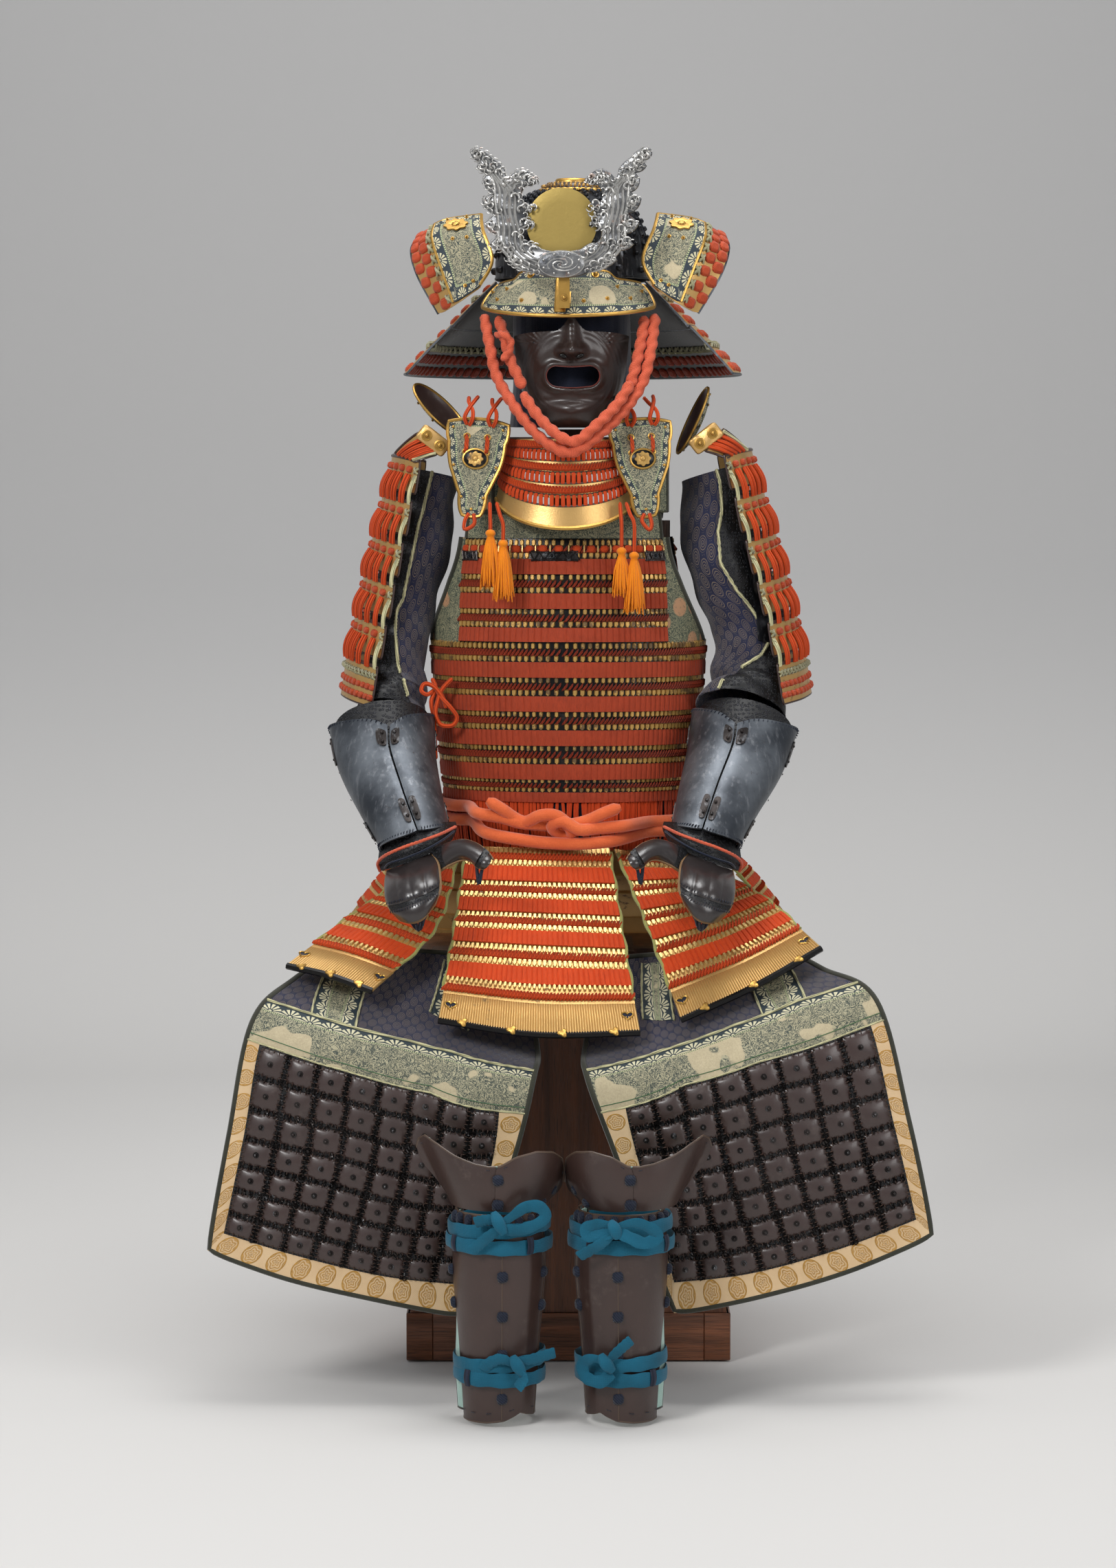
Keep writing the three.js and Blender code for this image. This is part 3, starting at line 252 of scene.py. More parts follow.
# ---------------------------------------------------------------- meshes
class Part:
    """Gathers the faces of one piece, then makes its object."""

    def __init__(self, name: str) -> None:
        """Starts an empty piece.

        Args:
            name: Name of the object to be.
        """
        self.name = name
        self.points: list[Array] = []
        self.faces: list[Sequence[int]] = []
        self.marks: list[Array] = []
        self.count = 0

    def raw(self, points: Array, faces: Sequence[Sequence[int]], uv: Array | None = None,
            corner: Sequence[Sequence[int]] | None = None, solid: bool = True) -> "Part":
        """Adds faces.

        Args:
            points: Their points.
            faces: Point numbers of each face.
            uv: Pattern coordinates, one for each point, or for each number that corner uses.
            corner: Numbers into uv for each corner, where they differ from the point numbers.
            solid: Turn the faces so that they point out of the closed shape.

        Returns:
            This piece.
        """
        points = np.asarray(points, float).reshape(-1, 3)
        corner = faces if corner is None else corner
        uv = np.zeros((len(points), 2)) if uv is None else np.asarray(uv, float).reshape(-1, 2)
        if solid:
            volume = 0.0
            middle = points.mean(0)
            for size in {len(f) for f in faces}:
                pick = np.array([f for f in faces if len(f) == size])
                corners = points[pick] - middle
                for k in range(1, size - 1):
                    volume += (corners[:, 0] * np.cross(corners[:, k], corners[:, k + 1])).sum()
            if volume < 0:
                faces = [f[::-1] for f in faces]
                corner = [f[::-1] for f in corner]
        self.points.append(points)
        self.faces.extend([int(i) + self.count for i in f] for f in faces)
        self.marks.extend(uv[list(f)] for f in corner)
        self.count += len(points)
        return self

    def shell(self, outer: Array, inner: Array, uv: Array | None = None, ring: bool = False,
              cuts: Array | None = None) -> "Part":
        """Adds a closed plate between two grids of points.

        Args:
            outer: Outer side, rows by columns by three.
            inner: Inner side, of the same shape.
            uv: Pattern coordinates, rows by columns, with one more column in a ring.
            ring: Join the last column to the first.
            cuts: Cells that are left open, rows - 1 by columns - 1.

        Returns:
            This piece.
        """
        r, c = outer.shape[:2]
        wide = c if ring else c - 1
        j, i = np.meshgrid(np.arange(r - 1), np.arange(wide), indexing="ij")
        here, down = j * c + i, (j + 1) * c + i
        right, both = j * c + (i + 1) % c, (j + 1) * c + (i + 1) % c
        quad = np.stack([here, down, both, right], axis=-1)
        cuv = wide + 1
        there = np.stack([j * cuv + i, (j + 1) * cuv + i, (j + 1) * cuv + i + 1, j * cuv + i + 1], axis=-1)
        keep = np.ones((r - 1, wide), bool) if cuts is None else ~cuts
        n = r * c
        faces = [quad[keep], quad[keep][:, ::-1] + n]
        corner = [there[keep], there[keep][:, ::-1]]
        padded = np.pad(keep, 1)
        if ring:
            padded[:, 0], padded[:, -1] = padded[:, -2], padded[:, 1]
        for a, b, dj, di in ((0, 1, 0, -1), (1, 2, 1, 0), (2, 3, 0, 1), (3, 0, -1, 0)):
            edge = keep & ~padded[1 + dj:r + dj, 1 + di:wide + 1 + di]
            q, w = quad[edge], there[edge]
            faces.append(np.stack([q[:, b], q[:, a], q[:, a] + n, q[:, b] + n], axis=-1))
            corner.append(np.stack([w[:, b], w[:, a], w[:, a], w[:, b]], axis=-1))
        if uv is None:
            uv = np.stack(np.meshgrid(np.linspace(0, 1, cuv), np.linspace(1, 0, r)), axis=-1)
        points = np.concatenate([outer.reshape(-1, 3), inner.reshape(-1, 3)])
        return self.raw(points, [tuple(f) for f in np.concatenate(faces)], uv,
                        [tuple(f) for f in np.concatenate(corner)])

    def tube(self, path: Array, radius: Array | float, sides: int = 8, loop: bool = False,
             flat: float = 1.0, lead: Sequence[float] | None = None, plies: int = 0, lay: float = 0.03,
             shrink: float = 0.0) -> "Part":
        """Adds a round bar, cord or twisted rope along a path.

        Args:
            path: Points along it.
            radius: Radius in metres, one or one for each point.
            sides: Faces round it.
            loop: The path joins up with itself.
            flat: Thickness as a share of the width, which lies along lead.
            lead: Direction of the width.
            plies: Strands twisted together, or 0 for a plain bar.
            lay: Length of one whole turn of the twist.
            shrink: Share of the radius that the ends taper by.

        Returns:
            This piece.
        """
        path = np.asarray(path, float)
        if loop:
            wide = np.concatenate([path[-2:], path, path[:2]])
            t, s, w = (d[2:-2] for d in facing(wide, lead))
            drift = facing(np.concatenate([path, path[:1]]), s[0])[1][-1]
            spin = math.atan2(drift.dot(np.cross(t[0], s[0])), drift.dot(s[0]))
            a = -spin * np.arange(len(path))[:, None] / len(path)
            s, w = s * np.cos(a) + w * np.sin(a), w * np.cos(a) - s * np.sin(a)
        else:
            t, s, w = facing(path, lead)
        run = np.concatenate([[0], np.cumsum(np.linalg.norm(np.diff(path, axis=0), axis=1))])
        angle = np.linspace(0, 2 * math.pi, sides, endpoint=False)[None, :]
        r = np.broadcast_to(np.asarray(radius, float).reshape(-1, 1), (len(path), 1)).copy()
        if shrink:
            ends = np.minimum(run, run[-1] - run) / max(r.max(), 1e-9)
            r *= (1 - shrink * (1 - np.sqrt(np.clip(1 - (1 - np.clip(ends, 0, 1)) ** 2, 0, 1))))[:, None]
        grid = r * np.ones((1, sides))
        if plies:
            twist = angle - 2 * math.pi * run[:, None] / lay
            grid = r * (0.57 + 0.43 * np.abs(np.cos(twist * plies / 2)) ** 0.8)
        points = (path[:, None] + s[:, None] * (grid * np.cos(angle))[..., None]
                  + w[:, None] * (grid * flat * np.sin(angle))[..., None])
        rows = len(path)
        j, i = np.meshgrid(np.arange(rows if loop else rows - 1), np.arange(sides), indexing="ij")
        k, m = (j + 1) % rows, (i + 1) % sides
        faces = np.stack([j * sides + i, k * sides + i, k * sides + m, j * sides + m], -1).reshape(-1, 4)
        wrap = sides + 1
        far = np.concatenate([run, [run[-1] + np.linalg.norm(path[0] - path[-1])]])
        turn = np.linspace(0, 1, wrap)
        uv = np.stack(np.meshgrid(turn, far), axis=-1)
        corner = np.stack([j * wrap + i, (j + 1) * wrap + i, (j + 1) * wrap + i + 1, j * wrap + i + 1],
                          -1).reshape(-1, 4)
        faces, corner = [tuple(f) for f in faces], [tuple(f) for f in corner]
        points = points.reshape(-1, 3)
        if not loop:
            n = len(points)
            points = np.concatenate([points, path[:1], path[-1:]])
            for i in range(sides):
                m = (i + 1) % sides
                faces += [(n, i, m), (n + 1, (rows - 1) * sides + m, (rows - 1) * sides + i)]
                corner += [(0, i, i + 1), (rows * wrap - 1, (rows - 1) * wrap + i + 1, (rows - 1) * wrap + i)]
        return self.raw(points, faces, uv, corner)

    def bar(self, outline: Array, front: float, back: float, bevel: float = 0.0) -> "Part":
        """Adds an upright plate cut to an outline in x and z.

        Args:
            outline: Points x, z in metres, in order round it.
            front: y of its front.
            back: y of its back.
            bevel: How far its front edge is rounded in.

        Returns:
            This piece.
        """
        n = len(outline)
        middle = outline.mean(0)
        reach = np.maximum(np.linalg.norm(middle - outline, axis=1), 1e-6)[:, None]
        inner = outline + (middle - outline) * bevel / reach
        rings = [(inner, front)] + ([(outline, front + bevel)] if bevel else []) + [(outline, back)]
        points = np.concatenate([np.stack([o[:, 0], np.full(n, y), o[:, 1]], 1) for o, y in rings])
        faces: list[Sequence[int]] = [tuple(range(n)), tuple(range((len(rings) - 1) * n, len(rings) * n))[::-1]]
        for k in range(len(rings) - 1):
            faces += [(k * n + (i + 1) % n, k * n + i, (k + 1) * n + i, (k + 1) * n + (i + 1) % n) for i in range(n)]
        return self.raw(points, faces, points[:, [0, 2]])

    def mesh(self) -> bpy.types.Mesh:
        """The gathered faces as a mesh with its pattern coordinates."""
        mesh = bpy.data.meshes.new(self.name)
        mesh.from_pydata(np.concatenate(self.points).tolist(), [], self.faces)
        mesh.uv_layers.new(name="UVMap").data.foreach_set("uv", np.concatenate(self.marks).ravel())
        mesh.validate()
        mesh.shade_smooth()
        mesh.set_sharp_from_angle(angle=math.radians(52))
        return mesh

    def build(self, finish: "Finish", slot: str, replaces: Sequence[str] = (), body: str = MAIN,
              soften: int = 0) -> bpy.types.Object:
        """Makes the object.

        Args:
            finish: Its material.
            slot: Passed on to place.
            replaces: Frame nodes that it stands for.
            body: The body that it rides on.
            soften: Levels of subdivision.

        Returns:
            The object.
        """
        return place(self.mesh(), self.name, finish, slot, replaces, body, soften)


def place(mesh: bpy.types.Mesh, name: str, finish: "Finish", slot: str, replaces: Sequence[str] = (),
          body: str = MAIN, soften: int = 0) -> bpy.types.Object:
    """Puts a finished mesh in the scene.

    Args:
        mesh: Its mesh, in place.
        name: Name of the object.
        finish: Its material.
        slot: Not used.
        replaces: Frame nodes that it stands for.
        body: The body that it rides on.
        soften: Levels of subdivision.

    Returns:
        The object.
    """
    obj = bpy.data.objects.new(name, mesh)
    bpy.context.scene.collection.objects.link(obj)
    mesh.materials.clear()
    mesh.materials.append(finish.material())
    if soften:
        step = obj.modifiers.new("soften", "SUBSURF")
        step.levels = step.render_levels = soften
    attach(obj, body)
    if replaces:
        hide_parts(*replaces)
    LOG.info("%s: %d faces", name, len(mesh.polygons))
    return obj


def dress(finish: "Finish", *nodes: str) -> None:
    """Gives frame nodes a finish."""
    for name in nodes:
        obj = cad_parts[name]
        obj.data.materials.clear()
        obj.data.materials.append(finish.material())


# ---------------------------------------------------------------- repeats, with Geometry Nodes
class Shape(Enum):
    """Small shapes that are repeated over the armour."""

    HEAD = "head"
    POINTED = "pointed"
    STRAND = "strand"
    BLOB = "blob"
    CROSS = "cross"
    RIVET = "rivet"
    STUD = "stud"
    STITCH = "stitch"
    LINK = "link"
    TREFOIL = "trefoil"
    TILE = "tile"
    ROSETTE = "rosette"
    CURL = "curl"
    EYELET = "eyelet"


def dome(outline: Array, levels: Sequence[tuple[float, float]]) -> Part:
    """Closed mound over a flat outline.

    Args:
        outline: Points x, y round it.
        levels: Share of the outline's size and height of each ring, from the foot up.

    Returns:
        The shape.
    """
    n = len(outline)
    points = [np.column_stack([outline * s, np.full(n, h)]) for s, h in levels]
    faces: list[Sequence[int]] = [tuple(range(n))[::-1]]
    for k in range(len(levels) - 1):
        faces += [(k * n + i, k * n + (i + 1) % n, (k + 1) * n + (i + 1) % n, (k + 1) * n + i) for i in range(n)]
    top = np.array([[0, 0, levels[-1][1]]])
    last = (len(levels) - 1) * n
    faces += [(last + i, last + (i + 1) % n, n * len(levels)) for i in range(n)]
    flat = np.concatenate(points + [top])
    return Part("shape").raw(flat, faces, flat[:, :2] + 0.5)


def circle(count: int, wide: float = 0.5, high: float = 0.5, power: float = 2.0, petals: float = 0.0,
           number: int = 0) -> Array:
    """Outline of an oval, a rounded square or a flower.

    Args:
        count: Points round it.
        wide: Half width.
        high: Half height.
        power: 2 for an oval, more for squarer corners.
        petals: Depth of the petals, as a share of the size.
        number: How many petals.

    Returns:
        Points x, y.
    """
    a = np.linspace(0, 2 * math.pi, count, endpoint=False) + math.pi / count
    c, s = np.cos(a), np.sin(a)
    r = 1 + petals * np.cos(number * a)
    return np.stack([wide * r * np.sign(c) * np.abs(c) ** (2 / power),
                     high * r * np.sign(s) * np.abs(s) ** (2 / power)], 1)


def small_shape(shape: Shape) -> Part:
    """Mesh of one of the repeated shapes, about one unit in size with +Z outwards and +Y up.

    Args:
        shape: Which one.

    Returns:
        The shape.
    """
    if shape is Shape.HEAD:
        return dome(circle(6, power=3), [(1, -0.1), (0.68, 0.78)])
    if shape is Shape.POINTED:
        outline = np.array([(-0.5, 0.45), (0.0, 0.5), (0.5, 0.45), (0.5, -0.1), (0.06, -0.5), (-0.5, -0.22)])
        return dome(outline[::-1], [(1, -0.1), (0.68, 0.78)])
    if shape is Shape.STRAND:
        return Part("shape").tube(np.array([(0, -0.5, 0), (0, -0.24, 0.34), (0, 0.24, 0.34), (0, 0.5, 0)]),
                                  np.array([0.26, 0.54, 0.54, 0.26]), 3, lead=(1, 0, 0))
    if shape is Shape.BLOB:
        return dome(circle(9, power=3), [(1, -0.15), (0.96, 0.3), (0.55, 0.68)])
    if shape is Shape.CROSS:
        part = Part("shape")
        for k, (x, y) in enumerate(((0.42, 0.42), (0.42, -0.42))):
            part.tube(np.array([(-x, -y, 0), (-x * 0.4, -y * 0.4, 0.3 + 0.14 * k), (x * 0.4, y * 0.4, 0.3 + 0.14 * k),
                                (x, y, 0)]), 0.2, 4)
        return part
    if shape is Shape.RIVET:
        return dome(circle(6), [(1, 0), (0.82, 0.34), (0.42, 0.5)])
    if shape is Shape.STUD:
        return dome(circle(10), [(1, 0), (0.92, 0.12), (0.55, 0.14), (0.52, 0.5), (0.46, 0.78), (0.25, 0.9)])
    if shape is Shape.STITCH:
        return Part("shape").tube(np.array([(-0.5, 0, -0.1), (0.0, 0, 0.3), (0.5, 0, -0.1)]),
                                  np.array([0.2, 0.30, 0.2]), 3)
    if shape is Shape.LINK:
        a = np.linspace(0, 2 * math.pi, 5, endpoint=False)
        return Part("shape").tube(np.stack([0.42 * np.cos(a), 0.42 * np.sin(a), 0.15 * np.cos(2 * a)], 1), 0.16, 3,
                                  loop=True)
    if shape is Shape.TREFOIL:
        return dome(circle(18, petals=0.28, number=3), [(1, -0.1), (1, 0.12), (0.8, 0.24), (0.3, 0.2)])
    if shape is Shape.TILE:
        n = 7
        x, y = np.meshgrid(np.linspace(-1, 1, n), np.linspace(1, -1, n))
        rise = 0.08 * (1 - np.maximum(np.abs(x), np.abs(y)) ** 6) + 0.105 * np.exp(-2.2 * (x**2 + y**2) ** 1.4) + 0.02
        pull = 1 - 0.03 * (x**2) * (y**2) * 2
        top = np.stack([x * pull / 2, y * pull / 2, rise], -1)
        base = np.stack([x / 2, y / 2, np.full_like(x, -0.03)], -1)
        return Part("shape").shell(top, base)
    if shape is Shape.ROSETTE:
        return dome(circle(32, petals=0.12, number=8),
                    [(1, 0), (0.95, 0.12), (0.55, 0.16), (0.34, 0.1), (0.3, 0.2), (0.15, 0.26)])
    if shape is Shape.CURL:
        a = np.linspace(0.4, 4.6, 9)
        r = np.linspace(0.5, 0.13, 9)
        path = np.stack([r * np.cos(a) + 0.02, r * np.sin(a), 0.1 + 0.16 * np.linspace(0, 1, 9)], 1)
        return Part("shape").tube(path, np.linspace(0.07, 0.13, 9), 5)
    a = np.linspace(0, 2 * math.pi, 12, endpoint=False)
    return Part("shape").tube(np.stack([0.4 * np.cos(a), 0.4 * np.sin(a), 0 * a], 1), 0.14, 6, loop=True)


class Scatter:
    """Geometry Nodes tree that sets one small shape on every point of a seed mesh."""

    tree: bpy.types.GeometryNodeTree | None = None

    @classmethod
    def make_tree(cls) -> bpy.types.GeometryNodeTree:
        """Builds the tree once, with named inputs, and returns it."""
        if cls.tree:
            return cls.tree
        tree = bpy.data.node_groups.new("set_small_shapes", "GeometryNodeTree")
        face = tree.interface
        face.new_socket("Geometry", in_out="INPUT", socket_type="NodeSocketGeometry")
        for name, kind in (("Small shape", "NodeSocketObject"), ("Size spread", "NodeSocketFloat"),
                           ("Seed", "NodeSocketInt"), ("Finish", "NodeSocketMaterial")):
            face.new_socket(name, in_out="INPUT", socket_type=kind)
        face.new_socket("Geometry", in_out="OUTPUT", socket_type="NodeSocketGeometry")

        def node(kind: str, settings: dict | None = None, **sockets: object) -> bpy.types.Node:
            """One node with its settings and linked or plain sockets."""
            n = tree.nodes.new(kind)
            for key, value in (settings or {}).items():
                setattr(n, key, value)
            for key, value in sockets.items():
                slot = n.inputs[key.replace("_", " ")]
                if isinstance(value, bpy.types.NodeSocket):
                    tree.links.new(value, slot)
                else:
                    slot.default_value = value
            return n

        given = node("NodeGroupInput").outputs
        turn = node("GeometryNodeInputNamedAttribute", {"data_type": "QUATERNION"}, Name="turn")
        size = node("GeometryNodeInputNamedAttribute", {"data_type": "FLOAT_VECTOR"}, Name="size")
        spread = node("FunctionNodeRandomValue", {"data_type": "FLOAT"})
        tree.links.new(given["Seed"], spread.inputs["Seed"])
        spread.inputs[2].default_value, spread.inputs[3].default_value = -1.0, 1.0
        share = node("ShaderNodeMath", {"operation": "MULTIPLY_ADD"})
        for k, value in enumerate((spread.outputs[1], given["Size spread"])):
            tree.links.new(value, share.inputs[k])
        share.inputs[2].default_value = 1.0
        scaled = node("ShaderNodeVectorMath", {"operation": "SCALE"}, Vector=size.outputs[0], Scale=share.outputs[0])
        shape = node("GeometryNodeObjectInfo", Object=given["Small shape"], As_Instance=True)
        put = node("GeometryNodeInstanceOnPoints", Points=given["Geometry"], Instance=shape.outputs["Geometry"],
                   Rotation=turn.outputs[0], Scale=scaled.outputs[0])
        tone = node("FunctionNodeRandomValue", {"data_type": "FLOAT"}, Seed=given["Seed"])
        kept = node("GeometryNodeStoreNamedAttribute", {"data_type": "FLOAT", "domain": "INSTANCE"},
                    Geometry=put.outputs[0], Name="tone")
        tree.links.new(tone.outputs[1], kept.inputs["Value"])
        real = node("GeometryNodeRealizeInstances", Geometry=kept.outputs[0])
        done = node("GeometryNodeSetMaterial", Geometry=real.outputs[0], Material=given["Finish"])
        tree.links.new(done.outputs[0], node("NodeGroupOutput").inputs[0])
        cls.tree = tree
        return tree

    def __init__(self, name: str, shape: Shape) -> None:
        """Starts a set of repeats.

        Args:
            name: Name of the piece to be.
            shape: What is repeated.
        """
        self.name = name
        self.shape = shape
        self.where: list[Array] = []
        self.turns: list[Array] = []
        self.sizes: list[Array] = []

    def put(self, points: Array, x: Array, y: Array, z: Array, size: Sequence[float],
            spin: Array | float = 0.0) -> "Scatter":
        """Adds places.

        Args:
            points: The places.
            x: Direction of the shape's width at each.
            y: Direction of its height.
            z: Outward direction.
            size: Width, height and depth in metres.
            spin: Turn in degrees about the outward direction.

        Returns:
            This set.
        """
        a = np.radians(np.broadcast_to(spin, (len(points),)))[:, None]
        self.where.append(points)
        self.turns.append(quaternions(x * np.cos(a) + y * np.sin(a), y * np.cos(a) - x * np.sin(a), z))
        self.sizes.append(np.broadcast_to(np.asarray(size, float), (len(points), 3)))
        return self

    def on(self, surface: Surface, u: Array, v: Array, out: float, size: Sequence[float],
           spin: Array | float = 0.0) -> "Scatter":
        """Adds places on a surface.

        Args:
            surface: The surface.
            u: Places across.
            v: Places down.
            out: Stand-off in metres.
            size: Width, height and depth in metres.
            spin: Turn in degrees about the outward direction.

        Returns:
            This set.
        """
        p, x, y, n = surface.frame(u, v)
        return self.put(p + n * out, x, y, n, size, spin)

    def build(self, finish: "Finish", slot: str, spread: float = 0.04, seed: int = 7, body: str = MAIN,
              replaces: Sequence[str] = ()) -> bpy.types.Object:
        """Makes the repeats one plain mesh.

        Args:
            finish: Its material.
            slot: Passed on to place.
            spread: Random share of the size.
            seed: Seed of everything random in it.
            body: The body that it rides on.
            replaces: Frame nodes that it stands for.

        Returns:
            The object.
        """
        tree = self.make_tree()
        part = small_shape(self.shape).mesh()
        pattern = bpy.data.objects.new("pattern", part)
        seedling = bpy.data.meshes.new("seed")
        where = np.concatenate(self.where)
        seedling.from_pydata(where.tolist(), [], [])
        turns, sizes = (np.concatenate(rows).astype(np.float32).ravel() for rows in (self.turns, self.sizes))
        seedling.attributes.new("turn", "QUATERNION", "POINT").data.foreach_set("value", turns)
        seedling.attributes.new("size", "FLOAT_VECTOR", "POINT").data.foreach_set("vector", sizes)
        host = bpy.data.objects.new("host", seedling)
        for obj in (pattern, host):
            bpy.context.scene.collection.objects.link(obj)
        step = host.modifiers.new("repeats", "NODES")
        step.node_group = tree
        values = {"Small shape": pattern, "Size spread": spread, "Seed": seed, "Finish": finish.material()}
        for item in tree.interface.items_tree:
            if item.in_out == "INPUT" and item.name in values:
                step[item.identifier] = values[item.name]
        graph = bpy.context.evaluated_depsgraph_get()
        mesh = bpy.data.meshes.new_from_object(host.evaluated_get(graph), preserve_all_data_layers=True,
                                               depsgraph=graph)
        mesh.name = self.name
        host.modifiers.clear()
        for obj in (host, pattern):
            bpy.data.objects.remove(obj)
        return place(mesh, self.name, finish, slot, replaces, body)


# ---------------------------------------------------------------- shader maths
class Wire:
    """A node socket whose operators add Math nodes."""

    def __init__(self, bench: "Bench", socket: bpy.types.NodeSocket) -> None:
        """Holds a socket.

        Args:
            bench: The material being made.
            socket: The output socket.
        """
        self.bench = bench
        self.socket = socket

    def math(self, operation: str, other: "Wire | float" = 0.0, third: "Wire | float" = 0.0) -> "Wire":
        """One Math node on this value."""
        return self.bench.node("ShaderNodeMath", {"operation": operation}, {0: self, 1: other, 2: third})

    def back(self, operation: str, other: float) -> "Wire":
        """One Math node with the plain number first."""
        return self.bench.node("ShaderNodeMath", {"operation": operation}, {0: other, 1: self})

    def __add__(self, other: "Wire | float") -> "Wire":
        """Sum."""
        return self.math("ADD", other)

    __radd__ = __add__

    def __mul__(self, other: "Wire | float") -> "Wire":
        """Product."""
        return self.math("MULTIPLY", other)

    __rmul__ = __mul__

    def __sub__(self, other: "Wire | float") -> "Wire":
        """Difference."""
        return self.math("SUBTRACT", other)

    def __rsub__(self, other: float) -> "Wire":
        """Difference from a number."""
        return self.back("SUBTRACT", other)

    def __truediv__(self, other: "Wire | float") -> "Wire":
        """Quotient."""
        return self.math("DIVIDE", other)

    def __rtruediv__(self, other: float) -> "Wire":
        """A number divided by this."""
        return self.back("DIVIDE", other)

    def __pow__(self, other: "Wire | float") -> "Wire":
        """Power."""
        return self.math("POWER", other)

    def __abs__(self) -> "Wire":
        """Size without sign."""
        return self.math("ABSOLUTE")

    def most(self, other: "Wire | float") -> "Wire":
        """The larger of two."""
        return self.math("MAXIMUM", other)

    def least(self, other: "Wire | float") -> "Wire":
        """The smaller of two."""
        return self.math("MINIMUM", other)

    def sine(self) -> "Wire":
        """Sine of an angle in radians."""
        return self.math("SINE")

    def cycle(self, pitch: float) -> "Wire":
        """Place within a repeat of that pitch, from -0.5 to 0.5."""
        return (self / pitch).math("FRACT") - 0.5

    def step(self, low: float, high: float) -> "Wire":
        """Smooth step from 0 at low to 1 at high; high may be the lower."""
        ends = {1: low, 2: high, 3: 0.0, 4: 1.0} if low < high else {1: high, 2: low, 3: 1.0, 4: 0.0}
        return self.bench.node("ShaderNodeMapRange", {"interpolation_type": "SMOOTHSTEP"}, {0: self} | ends)


Value = Wire | float
Colour = tuple[float, float, float, float]


def tint(code: str) -> Colour:
    """Linear colour of a six-figure code such as c04020."""
    parts = [int(code[k:k + 2], 16) / 255 for k in (0, 2, 4)]
    r, g, b = (p / 12.92 if p <= 0.04045 else ((p + 0.055) / 1.055) ** 2.4 for p in parts)
    return r, g, b, 1.0


